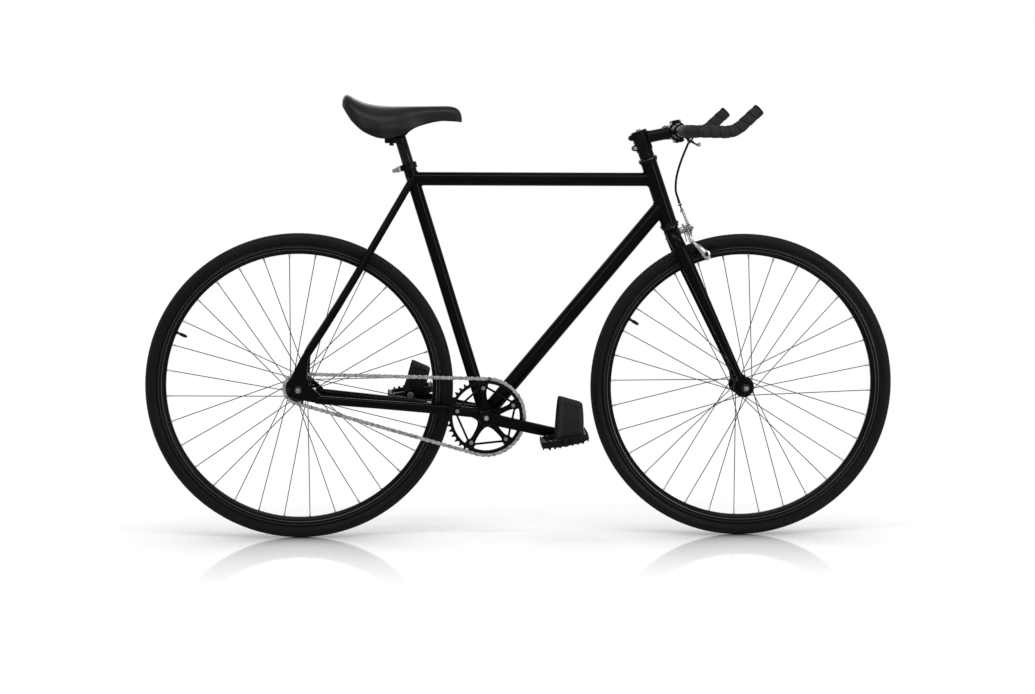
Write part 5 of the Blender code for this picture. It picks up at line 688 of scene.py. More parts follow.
def vinyl_finish(colours):
    """Saddle vinyl with a fine leather grain, the skirt below the fold painted near black as shade."""
    finish = Finish("grained_saddle_vinyl", 0.36, specular=0.10)
    grain = finish.cells(760.0, feature="SMOOTH_F1")
    broad = finish.noise(9.0, 3.0)
    pores = finish.noise(1800.0, 2.0)
    _, _, height = finish.axes(finish.spot())
    fold = SADDLE_TOP_ABOVE_POST + SADDLE_CROWN_RISE - SADDLE_DROP + SADDLE_FOLD_HEIGHT
    # Below the fold the skirt is painted near black: painted shade under the saddle.
    upper = height.between(fold - 0.004, fold + 0.007)
    crown = finish.tones(broad, colours.vinyl, 0.95, 1.7)
    finish.feed("Base Color", finish.blend(upper, tint(colours.vinyl, 0.12), crown))
    finish.feed("Roughness", 0.44 - upper * 0.16 + broad * 0.08 + grain * 0.08)
    finish.relief(grain * 0.8 + pores * 0.25, 0.00012)
    return finish.surface


def plastic_finish(colours):
    """Moulded black plastic with a spark-eroded texture."""
    finish = Finish("moulded_black_plastic", 0.4, specular=0.06)
    mottle = finish.noise(45.0, 3.0)
    finish.feed("Base Color", finish.tones(mottle, colours.anodised, 0.9, 1.5))
    finish.feed("Roughness", 0.30 + finish.noise(400.0, 2.0) * 0.18)
    finish.relief(finish.noise(1400.0, 2.0), 0.00004)
    return finish.surface


def pad_finish(colours):
    """Brake pad rubber, dull with fine dust."""
    finish = Finish("brake_pad_rubber", 0.8, specular=0.08)
    dust = finish.noise(120.0, 4.0)
    finish.feed("Base Color", finish.tones(dust, colours.rubber, 1.0, 2.2))
    finish.feed("Roughness", 0.74 + dust * 0.14)
    finish.relief(finish.noise(1100.0, 2.0), 0.00008)
    return finish.surface


def housing_finish(colours):
    """The ribbed plastic sleeve of the brake cable."""
    finish = Finish("cable_sleeve_plastic", 0.36, specular=0.08)
    x, _, z = finish.axes(finish.spot())
    rib = ((x * 0.4 + z) * 1600.0).sine() * 0.5 + 0.5
    # The grooves between the ribs are painted darker than the ribs: painted shade.
    finish.feed("Base Color", finish.tones(rib, colours.anodised, 1.0, 1.5))
    finish.feed("Roughness", 0.30 + finish.noise(200.0, 2.0) * 0.14)
    finish.relief(rib, 0.00003)
    return finish.surface


MAKERS = {
    "paint": paint_finish, "anodised": anodised_finish, "rim": rim_finish, "spoke": spoke_finish,
    "steel": steel_finish, "wire": wire_finish, "chain": chain_finish, "tyre": tyre_finish,
    "tape": tape_finish, "webbing": webbing_finish, "vinyl": vinyl_finish, "plastic": plastic_finish,
    "pad": pad_finish, "housing": housing_finish, "dark_steel": dark_steel_finish, "post": post_finish,
    "grey_steel": grey_steel_finish,
}
FINISHES = {}


def finish_for(kind):
    """The finish of one kind, made the first time that a piece asks for it."""
    if kind not in FINISHES:
        FINISHES[kind] = MAKERS[kind](bpy.context.scene.bike_colours)
    return FINISHES[kind]


def rounded(outline, radius, steps=3):
    """A closed outline with each corner replaced by a small curve."""
    smooth = []
    count = len(outline)
    for index, corner in enumerate(outline):
        here = Vector(corner)
        before = Vector(outline[index - 1]) - here
        after = Vector(outline[(index + 1) % count]) - here
        reach_before = min(radius, before.length * 0.45)
        reach_after = min(radius, after.length * 0.45)
        start = here + before.normalized() * reach_before
        end = here + after.normalized() * reach_after
        for step in range(steps + 1):
            share = step / steps
            point = start * (1 - share) ** 2 + here * 2 * share * (1 - share) + end * share ** 2
            smooth.append((point.x, point.y))
    return smooth


def arc_points(centre, radius, start, end, steps):
    """Points of a flat arc, from one angle to another in degrees."""
    points = []
    for step in range(steps + 1):
        angle = math.radians(start + (end - start) * step / steps)
        points.append((centre[0] + radius * math.cos(angle), centre[1] + radius * math.sin(angle)))
    return points


def square_to(axis):
    """A fixed direction square to an axis."""
    guide = LEVEL if abs(axis.y) > 0.9 else LEFT
    return (guide - axis * guide.dot(axis)).normalized()


def around(axis, sides, across=None):
    """Unit directions evenly spaced round an axis."""
    across = across or square_to(axis)
    other = axis.cross(across)
    turns = [2.0 * math.pi * step / sides for step in range(sides)]
    return [across * math.cos(turn) + other * math.sin(turn) for turn in turns]


def circle(radius, steps):
    """A closed round outline."""
    return arc_points((0.0, 0.0), radius, 0.0, 360.0, steps)[:-1]


def lipped(low, high, radius, lip):
    """The outer edge of a round collar, with softened rims."""
    return [(low, radius - lip), (low + lip, radius), (high - lip, radius), (high, radius - lip)]


def sleeve(low, high, bore, radius, lip):
    """The half section of a bored round part, with softened rims."""
    return [(low, bore), *lipped(low, high, radius, lip), (high, bore)]


def smooth_row(stops, position):
    """A smooth value between stops of (position, value)."""
    if position <= stops[0][0]:
        return stops[0][1]
    for index in range(len(stops) - 1):
        x0, y0 = stops[index]
        x1, y1 = stops[index + 1]
        if position <= x1:
            xa, ya = stops[max(index - 1, 0)]
            xb, yb = stops[min(index + 2, len(stops) - 1)]
            slope0 = (y1 - ya) / (x1 - xa) if x1 > xa else 0.0
            slope1 = (yb - y0) / (xb - x0) if xb > x0 else 0.0
            span = x1 - x0
            t = (position - x0) / span
            return ((2 * t ** 3 - 3 * t ** 2 + 1) * y0 + (t ** 3 - 2 * t ** 2 + t) * span * slope0
                    + (3 * t ** 2 - 2 * t ** 3) * y1 + (t ** 3 - t ** 2) * span * slope1)
    return stops[-1][1]


def even_points(points, count):
    """Evenly spaced points along a path, with the distance of each from its start."""
    lengths = [0.0]
    for before, after in zip(points, points[1:]):
        lengths.append(lengths[-1] + (after - before).length)
    spaced = []
    index = 0
    for step in range(count):
        target = lengths[-1] * step / (count - 1)
        while index < len(points) - 2 and lengths[index + 1] < target:
            index += 1
        share = (target - lengths[index]) / (lengths[index + 1] - lengths[index])
        spaced.append((points[index].lerp(points[index + 1], min(share, 1.0)), target))
    return spaced


def curved_path(points, per_span=10):
    """A smooth curve through chosen points."""
    dense = []
    last = len(points) - 1
    for index in range(last):
        p0, p1 = points[max(index - 1, 0)], points[index]
        p2, p3 = points[index + 1], points[min(index + 2, last)]
        for step in range(per_span):
            t = step / per_span
            dense.append(0.5 * (2.0 * p1 + (p2 - p0) * t + (2.0 * p0 - 5.0 * p1 + 4.0 * p2 - p3) * t ** 2
                                + (3.0 * p1 - p0 - 3.0 * p2 + p3) * t ** 3))
    dense.append(points[-1])
    return dense


def path_rings(points, radii, sides, guide, squareness=1.0):
    """Oval rings along a path; each radius is one number or (along the guide, across it)."""
    rings = []
    last = len(points) - 1
    for index, point in enumerate(points):
        heading = Vector()
        if index > 0:
            heading += (point - points[index - 1]).normalized()
        if index < last:
            heading += (points[index + 1] - point).normalized()
        heading.normalize()
        guide = (guide - heading * guide.dot(heading)).normalized()
        other = heading.cross(guide)
        radius = radii[index]
        along, across = radius if isinstance(radius, tuple) else (radius, radius)
        ring = []
        for step in range(sides):
            turn = 2.0 * math.pi * step / sides
            cosine, sine = math.cos(turn), math.sin(turn)
            if squareness < 1.0:
                cosine = math.copysign(abs(cosine) ** squareness, cosine)
                sine = math.copysign(abs(sine) ** squareness, sine)
            ring.append(point + guide * along * cosine + other * across * sine)
        rings.append(ring)
    return rings


def tip_rings(ring, neighbour):
    """Shrinking rings that round off a bar's tip."""
    middle = sum(ring, Vector()) / len(ring)
    away = (middle - sum(neighbour, Vector()) / len(ring)).normalized()
    depth = min((point - middle).length for point in ring) * 0.5
    return [[middle + (point - middle) * share + away * depth * lift for point in ring]
            for share, lift in TIP_STEPS]


class Shape:
    """The surfaces of one piece while it is being made."""

    def __init__(self):
        self.points = []
        self.faces = []
        self.lay = {}

    def add(self, points, faces):
        start = len(self.points)
        self.points += points
        self.faces += [[start + index for index in face] for face in faces]
        return self

    def skin(self, rings, closed=False):
        """Join a row of like rings; closed joins the last to the first."""
        count = len(rings[0])
        rows = len(rings)
        faces = []
        for row in range(rows if closed else rows - 1):
            low, high = row * count, (row + 1) % rows * count
            for step in range(count):
                after = (step + 1) % count
                faces.append([low + step, low + after, high + after, high + step])
        if not closed:
            faces.append(list(range(count)))
            faces.append(list(range((rows - 1) * count, rows * count)))
        return self.add([point for ring in rings for point in ring], faces)

    def turn(self, outline, origin, axis, sides=48):
        """Turn a closed outline of (distance along, radius) points about an axis."""
        axis = axis.normalized()
        spokes = around(axis, sides)
        points = []
        rings = []
        for along, radius in outline:
            if radius == 0.0:
                rings.append([len(points)] * sides)
                points.append(origin + axis * along)
                continue
            rings.append(list(range(len(points), len(points) + sides)))
            points += [origin + axis * along + spoke * radius for spoke in spokes]
        faces = []
        for index, ring in enumerate(rings):
            following = rings[(index + 1) % len(rings)]
            for step in range(sides):
                after = (step + 1) % sides
                face = list(dict.fromkeys([ring[step], ring[after], following[after], following[step]]))
                if len(face) > 2:
                    faces.append(face)
        return self.add(points, faces)

    def rod(self, start, end, radius, edge=0.0004, sides=32):
        """A round bar with softened ends."""
        length = (end - start).length
        edge = min(edge, radius * 0.4, length * 0.4)
        outline = [(0.0, 0.0), (0.0, radius - edge), (edge * 0.3, radius - edge * 0.3), (edge, radius),
                   (length - edge, radius), (length - edge * 0.3, radius - edge * 0.3),
                   (length, radius - edge), (length, 0.0)]
        return self.turn(list(dict.fromkeys(outline)), start, end - start, sides)

    def sweep(self, points, radii, sides=24, guide=UPRIGHT, squareness=1.0, tips=True):
        """A bar of changing oval section along a path, with rounded tips."""
        rings = path_rings(points, radii, sides, guide, squareness)
        if tips:
            rings = tip_rings(rings[0], rings[1])[::-1] + rings + tip_rings(rings[-1], rings[-2])
        return self.skin(rings)

    def slab(self, loops, origin, along, up, thickness, edge=0.0004):
        """A plate from flat outlines, the first one outermost, with softened edges."""
        normal = along.cross(up).normalized()
        edge = min(edge, thickness * 0.4)
        levels = ((0.0, edge), (edge, 0.0), (thickness - edge, 0.0), (thickness, edge))
        points = []
        faces = []
        count = sum(len(loop) for loop in loops)
        for depth, inset in levels:
            for number, loop in enumerate(loops):
                moved = shrunk(loop, inset if number == 0 else -inset)
                points += [origin + along * x + up * y + normal * depth for x, y in moved]
        for level in (0, 3):
            flat = []
            for number, loop in enumerate(loops):
                moved = shrunk(loop, edge if number == 0 else -edge)
                flat.append([Vector((x, y, 0.0)) for x, y in moved])
            faces += [[index + level * count for index in corners]
                      for corners in tessellate_polygon(flat)]
        for level in range(3):
            start = 0
            for loop in loops:
                for step in range(len(loop)):
                    low = level * count + start + step
                    next_one = level * count + start + (step + 1) % len(loop)
                    faces.append([low, next_one, next_one + count, low + count])
                start += len(loop)
        return self.add(points, faces)

    def block(self, centre, along, across, size, edge=0.001):
        """A box with softened edges and corners; its third side lies square to the first two."""
        half = [value / 2.0 for value in size]
        outline = [(-half[0], -half[1]), (half[0], -half[1]), (half[0], half[1]), (-half[0], half[1])]
        origin = centre - along.cross(across).normalized() * half[2]
        return self.slab([rounded(outline, edge * 1.6, 4)], origin, along, across, size[2], edge)

    def hexagon(self, centre, axis, radius, depth, socket=0.0):
        """A hexagonal bolt head with chamfered corners, or a round one with a hexagon socket."""
        across = square_to(axis)
        other = axis.cross(across)
        outer = circle(radius, 24 if socket else 6)
        if not socket:
            return self.slab([rounded(outer, radius * 0.12, 2)], centre, across, other, depth,
                             radius * 0.1)
        self.slab([outer, circle(socket, 6)], centre + axis * depth * 0.45, across, other,
                  depth * 0.55, radius * 0.1)
        return self.slab([outer], centre, across, other, depth * 0.5, radius * 0.05)


def shrunk(loop, inset):
    """A flat outline drawn in by a small distance, or let out by a negative one."""
    if inset == 0.0:
        return list(loop)
    count = len(loop)
    area = sum(loop[i][0] * loop[(i + 1) % count][1] - loop[(i + 1) % count][0] * loop[i][1]
               for i in range(count))
    sign = 1.0 if area > 0 else -1.0
    moved = []
    for index, (x, y) in enumerate(loop):
        px, py = loop[index - 1]
        nx, ny = loop[(index + 1) % count]
        before = Vector((x - px, y - py)).normalized()
        after = Vector((nx - x, ny - y)).normalized()
        normal = Vector((-(before.y + after.y), before.x + after.x))
        if normal.length > 1e-9:
            normal.normalize()
        moved.append((x + normal.x * inset * sign, y + normal.y * inset * sign))
    return moved


def edit_mesh(mesh, change):
    """Open a mesh, change it and write it back."""
    work = bmesh.new()
    work.from_mesh(mesh)
    change(work)
    work.to_mesh(mesh)
    work.free()


def face_outward(work):
    bmesh.ops.recalc_face_normals(work, faces=work.faces)


def melt_slivers(work):
    bmesh.ops.dissolve_degenerate(work, dist=SLIVER_LENGTH, edges=work.edges)


def drop_slivers(work):
    slivers = [face for face in work.faces if face.calc_area() < SLIVER_AREA]
    bmesh.ops.delete(work, geom=slivers, context="FACES")
    face_outward(work)


def make(name, shape, kind, body, nodes=(), origin=None, sharp=SHARP_ANGLE):
    """Turn a shape into a finished piece that rides on its body and stands for its nodes."""
    origin = origin or Vector()
    mesh = bpy.data.meshes.new(name)
    mesh.from_pydata([point - origin for point in shape.points], [], shape.faces)
    mesh.validate()
    edit_mesh(mesh, face_outward)
    if shape.lay:
        lay = mesh.attributes.new("lay", "FLOAT_VECTOR", "POINT")
        for index, value in shape.lay.items():
            lay.data[index].vector = value
    mesh.shade_smooth()
    mesh.set_sharp_from_angle(angle=math.radians(sharp))
    mesh.materials.append(finish_for(kind))
    piece = bpy.data.objects.new(name, mesh)
    piece.location = origin
    bpy.context.scene.collection.objects.link(piece)
    if body:
        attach(piece, body)
    if nodes:
        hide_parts(*nodes)
    return piece


def dress(kind, *nodes):
    """Give carried-over CAD nodes their finish."""
    for name in nodes:
        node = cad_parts[name]
        node.data.materials.clear()
        node.data.materials.append(finish_for(kind))


def steer(forward, left, up):
    """A point measured from the head tube's top, square to the steering axis."""
    return HEAD_TOP + HEAD_FORWARD * forward + LEFT * left + HEAD_UP * up


def bar_point(forward, left, up):
    """A point measured level and upright from the bar's centre."""
    return BAR_CENTRE + Vector((forward, left, up))


def meeting_ring(start, direction, radius, sides, target, target_axis, target_radius):
    """Where a tube's surface lines first meet another tube, seen from the tube's start."""
    direction = direction.normalized()
    flat = direction - target_axis * direction.dot(target_axis)
    ring = []
    for spoke in around(direction, sides):
        point = start + spoke * radius
        away = point - target
        away -= target_axis * away.dot(target_axis)
        foot = -away.dot(flat) / flat.length_squared
        distance = (away + flat * foot).length
        back = math.sqrt(max(target_radius ** 2 - distance ** 2, 0.0)) / flat.length
        ring.append(point + direction * (foot - back))
    return ring


def mitred_tube(shape, start, end, radius, sides, at_start=None, at_end=None, bead=0.0):
    """A tube between two others, cut to fit each of them and welded round."""
    heading = (end - start).normalized()
    offsets = [spoke * radius for spoke in around(heading, sides)]
    first = [start + offset for offset in offsets]
    last = [end + offset for offset in offsets]
    middle = start.lerp(end, 0.5)
    if at_end:
        last = meeting_ring(middle, heading, radius, sides, *at_end)
    if at_start:
        reach = meeting_ring(middle, -heading, radius, sides, *at_start)

        def off_line(point, wanted):
            gap = point - wanted
            return (gap - heading * gap.dot(heading)).length

        first = [min(reach, key=lambda point: off_line(point, middle + offset)) for offset in offsets]
    rings = []
    for share in (0.0, 0.02, 0.06, 0.5, 0.94, 0.98, 1.0):
        rings.append([low.lerp(high, share) for low, high in zip(first, last)])
    shape.skin(rings)
    for ring, fitted in ((first, at_start), (last, at_end)):
        if fitted and bead:
            weld_bead(shape, ring, bead)


def weld_bead(shape, ring, radius):
    """A rippled bead of weld along a closed line."""
    count = len(ring)
    rings = []
    for index, point in enumerate(ring):
        ahead = (ring[(index + 1) % count] - ring[index - 1]).normalized()
        swell = radius * (1.0 + 0.10 * math.sin(index * math.pi * 0.75))
        spokes = around(ahead, BEAD_SIDES, ahead.orthogonal().normalized())
        rings.append([point + spoke * swell for spoke in spokes])
    aligned = [rings[0]]

    def nearest(row):
        return min(range(BEAD_SIDES), key=lambda shift: (row[shift] - aligned[-1][0]).length)

    for row in rings[1:]:
        best = nearest(row)
        aligned.append(row[best:] + row[:best])
    shape.skin(aligned, closed=nearest(rings[0]) == 0)


def frame_junctions():
    """Where the top tube's line meets the seat tube and the head tube."""
    seat = SEAT_TOP + SEAT_UP * ((TOP_TUBE_HEIGHT - SEAT_TOP.z) / SEAT_UP.z)
    head = HEAD_TOP + HEAD_UP * ((TOP_TUBE_HEIGHT - HEAD_TOP.z) / HEAD_UP.z)
    return seat, head


def make_frame(shapes):
    """The welded frame: tubes cut to fit, weld beads, stays, bridges and track ends."""
    sides = shapes.tube_sides
    bead = shapes.weld_radius
    shape = Shape()
    seat_junction, head_junction = frame_junctions()
    down_junction = HEAD_BOTTOM + HEAD_UP * DOWN_TUBE_RISE
    head = (HEAD_TOP, HEAD_UP, HEAD_TUBE_DIAMETER / 2.0)
    seat = (SEAT_TOP, SEAT_UP, SEAT_TUBE_DIAMETER / 2.0)
    shell = (BOTTOM_BRACKET, LEFT, SHELL_DIAMETER / 2.0)
    lip = 0.0006
    outer, bore = HEAD_TUBE_DIAMETER / 2.0, HEAD_TUBE_BORE / 2.0
    shape.turn(sleeve(0.0, HEAD_TUBE_LENGTH, bore, outer, lip), HEAD_BOTTOM, HEAD_UP, sides)
    outer, bore, half = SHELL_DIAMETER / 2.0, SHELL_BORE / 2.0, SHELL_WIDTH / 2.0
    shape.turn(sleeve(-half, half, bore, outer, lip), BOTTOM_BRACKET, LEFT, sides)
    length = (SEAT_TOP - BOTTOM_BRACKET).length
    outer, bore = SEAT_TUBE_DIAMETER / 2.0, SEAT_POST_DIAMETER / 2.0 + GAP
    foot = SHELL_BORE / 2.0 + 0.001
    shape.turn([(foot, 0.0), (foot, outer), (length - lip, outer), (length, outer - lip), (length, bore),
                (length - SEAT_TUBE_BORE_DEPTH, bore), (length - SEAT_TUBE_BORE_DEPTH, 0.0)],
               BOTTOM_BRACKET, SEAT_UP, sides)
    weld_bead(shape, meeting_ring(SEAT_TOP, -SEAT_UP, outer, 2 * sides, *shell), bead)
    mitred_tube(shape, seat_junction, head_junction, TOP_TUBE_DIAMETER / 2.0, 2 * sides, seat, head, bead)
    mitred_tube(shape, BOTTOM_BRACKET, down_junction, DOWN_TUBE_DIAMETER / 2.0, 2 * sides, shell, head, bead)
    for side in (-1.0, 1.0):
        add_chain_stay(shape, side, bead)
        add_seat_stay(shape, side, seat_junction, seat, bead)
        add_track_end(shape, side)
    low = REAR_AXLE + Vector((-0.0045, 0.0, 0.024))
    centre = low + (seat_junction - low).normalized() * (TYRE_RADIUS + 0.020)
    shape.rod(centre - LEFT * 0.034, centre + LEFT * 0.034, BRIDGE_DIAMETER / 2.0, 0.0, sides)
    clear = REAR_AXLE.x + TYRE_RADIUS + 0.012
    centre = Vector((clear + BRIDGE_DIAMETER / 2.0, 0.0, BOTTOM_BRACKET.z + CHAIN_STAY_RISE + 0.003))
    shape.rod(centre - LEFT * CHAIN_STAY_SPREAD, centre + LEFT * CHAIN_STAY_SPREAD,
              BRIDGE_DIAMETER / 2.0, 0.0, sides)
    screws = Shape()
    for side in (-1.0, 1.0):
        place = REAR_AXLE + Vector((0.030, side * (REAR_OVER_LOCKNUT / 2.0 + 0.003), 0.0025))
        screws.rod(place, place + Vector((0.009, 0.0, -0.001)), 0.0022, 0.0003, 20)
        screws.hexagon(place + Vector((0.0045, 0.0, -0.0005)), LEVEL, 0.0036, 0.0032)
    make("track_end_screws", screws, "steel", "frame_body")
    return make("frame_tubes", shape, "paint", "frame_body", ["frame"])


def add_chain_stay(shape, side, bead):
    """An oval stay that runs past the toothed ring, then spreads to the axle."""
    end = REAR_AXLE + Vector((0.038, side * (REAR_OVER_LOCKNUT + TRACK_END_THICKNESS) / 2.0, -0.0215))
    start = BOTTOM_BRACKET + Vector((-0.017, side * CHAIN_STAY_SPREAD, CHAIN_STAY_RISE * 0.95))
    full = BOTTOM_BRACKET + Vector((-0.006, side * CHAIN_STAY_SPREAD, CHAIN_STAY_RISE))
    share = (RING_RADIUS + 0.007) / (full.x - end.x)
    bend = full.lerp(end, share)
    bend.y = side * (CHAIN_LINE - TOOTH_THICKNESS - 0.0022 - CHAIN_STAY_HALF_WIDTH)
    wide = (CHAIN_STAY_HALF_WIDTH, CHAIN_STAY_HALF_HEIGHT)
    tall = (CHAIN_STAY_HALF_HEIGHT + CHAIN_STAY_END_RADIUS) / 2.0
    middle = bend.lerp(end, 0.5)
    rows = [(start, wide), (start.lerp(bend, 0.55), wide), (start.lerp(bend, 0.9), wide),
            (bend.lerp(middle, 0.1), wide), (middle, (CHAIN_STAY_HALF_WIDTH, tall)),
            (end, (CHAIN_STAY_END_RADIUS, CHAIN_STAY_END_RADIUS + 0.0012))]
    points, radii = [point for point, _ in rows], [radius for _, radius in rows]
    shape.sweep(points, radii, STAY_SIDES, LEFT, tips=False)
    ring = path_rings([start + LEVEL * -0.0025, start + LEVEL * -0.004], [wide, wide], 40, LEFT)[0]
    weld_bead(shape, ring, bead * 0.9)


def add_seat_stay(shape, side, junction, seat, bead):
    """A thin stay from the track end up to the side of the seat tube."""
    start = REAR_AXLE + Vector((-0.0045, side * (REAR_OVER_LOCKNUT + TRACK_END_THICKNESS) / 2.0, 0.024))
    end = junction + LEFT * side * SEAT_STAY_SPREAD
    radius = SEAT_STAY_DIAMETER / 2.0
    heading = (end - start).normalized()
    ring = meeting_ring(start, heading, radius, STAY_SIDES, *seat)
    spokes = around(heading, STAY_SIDES)
    rings = []
    for share, size, lean in ((0.0, 0.8, 0.003), (0.03, 0.95, 0.001), (0.06, 1.0, -0.0035),
                              (0.10, 1.04, -0.0068), (0.13, 1.06, -0.0072), (0.17, 1.06, -0.0060),
                              (0.25, 1.04, -0.0036), (0.36, 1.02, -0.0014), (0.5, 1.0, 0.0),
                              (0.93, 1.0, 0.0)):
        middle = start.lerp(end, share) + LEVEL * lean
        rings.append([middle + spoke * radius * size for spoke in spokes])
    tip = sum(ring, Vector()) / STAY_SIDES + heading * 0.0022
    shape.skin([*rings, ring, [point.lerp(tip, 0.55) for point in ring]])
    weld_bead(shape, ring, bead * 0.85)


def add_track_end(shape, side):
    """A plate with a slot that opens to the rear, for the axle."""
    slot = REAR_AXLE_RADIUS + GAP
    outline = [
        (-0.026, slot), (-0.026, 0.011), (-0.019, 0.022), (-0.0105, 0.036), (-0.003, 0.054),
        (0.010, 0.0745), (0.024, 0.0745), (0.0205, 0.058), (0.0195, 0.040), (0.0190, 0.022),
        (0.024, 0.010), (0.038, -0.002), (0.050, -0.012), (0.046, -0.030), (0.020, -0.025),
        (-0.008, -0.019), (-0.022, -0.013), (-0.026, -slot), (0.010, -slot),
        (0.010 + slot * 0.8, 0.0), (0.010, slot),
    ]
    inner = side * REAR_OVER_LOCKNUT / 2.0
    start = inner if side < 0.0 else inner + TRACK_END_THICKNESS
    shape.slab([rounded(outline, 0.006, 4)], REAR_AXLE + LEFT * start, LEVEL, UPRIGHT,
               TRACK_END_THICKNESS, 0.0008)


def make_fork(shapes):
    """Steerer, crown, curved blade tops, straight tapering blades and dropouts."""
    sides = shapes.tube_sides
    shape = Shape()
    shape.rod(CROWN - HEAD_UP * CROWN_BOSS_DEPTH, CROWN, CROWN_BOSS_DIAMETER / 2.0, 0.0008, sides)
    shape.rod(CROWN - HEAD_UP * 0.010, HEAD_TOP + HEAD_UP * (STEM_CLAMP_TOP - 0.003),
              STEERER_DIAMETER / 2.0, 0.0005, sides)
    crown_reach = (CROWN - FRONT_AXLE).dot(BLADE_DIRECTION)
    tip = (FRONT_OVER_LOCKNUT + FORK_TIP_THICKNESS) / 2.0
    spread = [(0.026, tip), (crown_reach - 0.072, BLADE_SPREAD), (crown_reach - 0.044, BLADE_SPREAD * 0.86),
              (crown_reach - 0.026, BLADE_SPREAD * 0.60), (crown_reach - 0.014, BLADE_SPREAD * 0.28),
              (crown_reach - 0.011, -0.003)]
    shares = (0.0, 0.25, 0.5, 0.72, 0.86, 0.94)
    for side in (-1.0, 1.0):
        rows = [FRONT_AXLE + BLADE_DIRECTION * reach + LEFT * side * out for reach, out in spread]
        path = [rows[0].lerp(rows[1], share) for share in shares] + curved_path(rows[1:], 8)
        radii = []
        for point in path:
            reach = (point - FRONT_AXLE).dot(BLADE_DIRECTION)
            grown = min(max((reach - 0.026) / (crown_reach - 0.098), 0.0), 1.0)
            bow = min(max((reach - crown_reach + 0.072) / 0.061, 0.0), 1.0)
            depth = BLADE_TIP_RADIUS + (BLADE_TOP_HALF_DEPTH - BLADE_TIP_RADIUS) * grown + 0.0004 * bow
            width = BLADE_TIP_RADIUS + (BLADE_TOP_HALF_WIDTH - BLADE_TIP_RADIUS) * grown + 0.0025 * bow
            radii.append((depth, width))
        shape.sweep(path, radii, 36, LEFT.cross(BLADE_DIRECTION), tips=False)
        add_fork_tip(shape, side)
    ring = path_rings([CROWN - HEAD_UP * 0.0205, CROWN - HEAD_UP * 0.0215],
                      [CROWN_BOSS_DIAMETER / 2.0] * 2, 72, LEFT)[0]
    weld_bead(shape, ring, shapes.weld_radius * 0.8)
    return make("fork_blades", shape, "paint", "steering_body", ["fork"])


def add_fork_tip(shape, side):
    """The plate at a blade's foot, with its slot open at the bottom."""
    slot = FRONT_AXLE_RADIUS + GAP
    along = Vector((BLADE_DIRECTION.z, 0.0, -BLADE_DIRECTION.x))
    outline = [
        (-0.0055, 0.036), (-0.0125, 0.008), (-0.0125, -0.006), (-0.0065, -0.014), (-slot, -0.014),
        (-slot, 0.001), (-slot * 0.5, slot), (slot * 0.5, slot), (slot, 0.001), (slot, -0.014),
        (0.0065, -0.014), (0.0125, -0.006), (0.0125, 0.008), (0.0055, 0.036),
    ]
    inner = side * FRONT_OVER_LOCKNUT / 2.0
    start = inner if side < 0.0 else inner + FORK_TIP_THICKNESS
    shape.slab([rounded(outline, 0.003, 3)], FRONT_AXLE + LEFT * start, along, BLADE_DIRECTION,
               FORK_TIP_THICKNESS, 0.0007)


def cup_outline():
    """The half section of a pressed headset cup."""
    sleeve = STEERER_DIAMETER / 2.0 + 2.0 * GAP
    pocket = BEARING_RADIUS + GAP
    low = CUP_DEPTH - BEARING_HEIGHT
    flange = CUP_FLANGE_RADIUS
    return [
        (-CUP_INSERT_DEPTH, sleeve), (-CUP_INSERT_DEPTH, HEAD_TUBE_BORE / 2.0 - GAP),
        (GAP, HEAD_TUBE_BORE / 2.0 - GAP), (GAP, 0.0188), (0.0022, 0.0196), (0.0034, flange - 0.0004),
        (0.0040, flange), (CUP_DEPTH - 0.0006, flange), (CUP_DEPTH, flange - 0.0006), (CUP_DEPTH, pocket),
        (low, pocket), (low, sleeve),
    ]


def make_headset():
    """Cups, bearings, crown race, top cover and spacer."""
    for name, base, outward in (("upper", HEAD_TOP, HEAD_UP), ("lower", HEAD_BOTTOM, -HEAD_UP)):
        cup = Shape().turn(cup_outline(), base, outward, 64)
        make(f"{name}_cup_turned", cup, "anodised", "frame_body", [f"{name}_headset_cup"])
    bore = STEERER_DIAMETER / 2.0 + GAP
    low, high = GAP, LOWER_STACK - CUP_DEPTH - 2.0 * GAP
    race = Shape().turn([(low, bore), (low, 0.0195), (high - 0.0012, 0.0195), (high, 0.0180), (high, bore)],
                        CROWN, HEAD_UP, 64)
    make("crown_race_turned", race, "dark_steel", "steering_body", ["crown_race"])
    low = CUP_DEPTH + 2.0 * GAP
    top = SPACER_BOTTOM - GAP
    cover = Shape().turn([(low, bore), (low, CUP_FLANGE_RADIUS - 0.0003), (low + 0.0004, CUP_FLANGE_RADIUS),
                          (low + 0.0020, CUP_FLANGE_RADIUS), (low + 0.0027, CUP_FLANGE_RADIUS - 0.0010),
                          (top - 0.0004, SPACER_RADIUS + 0.0004), (top, SPACER_RADIUS), (top, bore)],
                         HEAD_TOP, HEAD_UP, 64)
    make("headset_cover_turned", cover, "anodised", "steering_body", ["headset_cover"])
    spacer = Shape()
    middle = (SPACER_BOTTOM + SPACER_TOP) / 2.0
    lip = 0.0004
    for low, high in ((SPACER_BOTTOM, middle - 0.0001), (middle + 0.0001, SPACER_TOP)):
        spacer.turn(sleeve(low, high, bore, SPACER_RADIUS, lip), HEAD_TOP, HEAD_UP, 64)
    make("spacer_pair", spacer, "anodised", "steering_body", ["headset_spacer"])
    dress("steel", "upper_headset_bearing", "lower_headset_bearing")


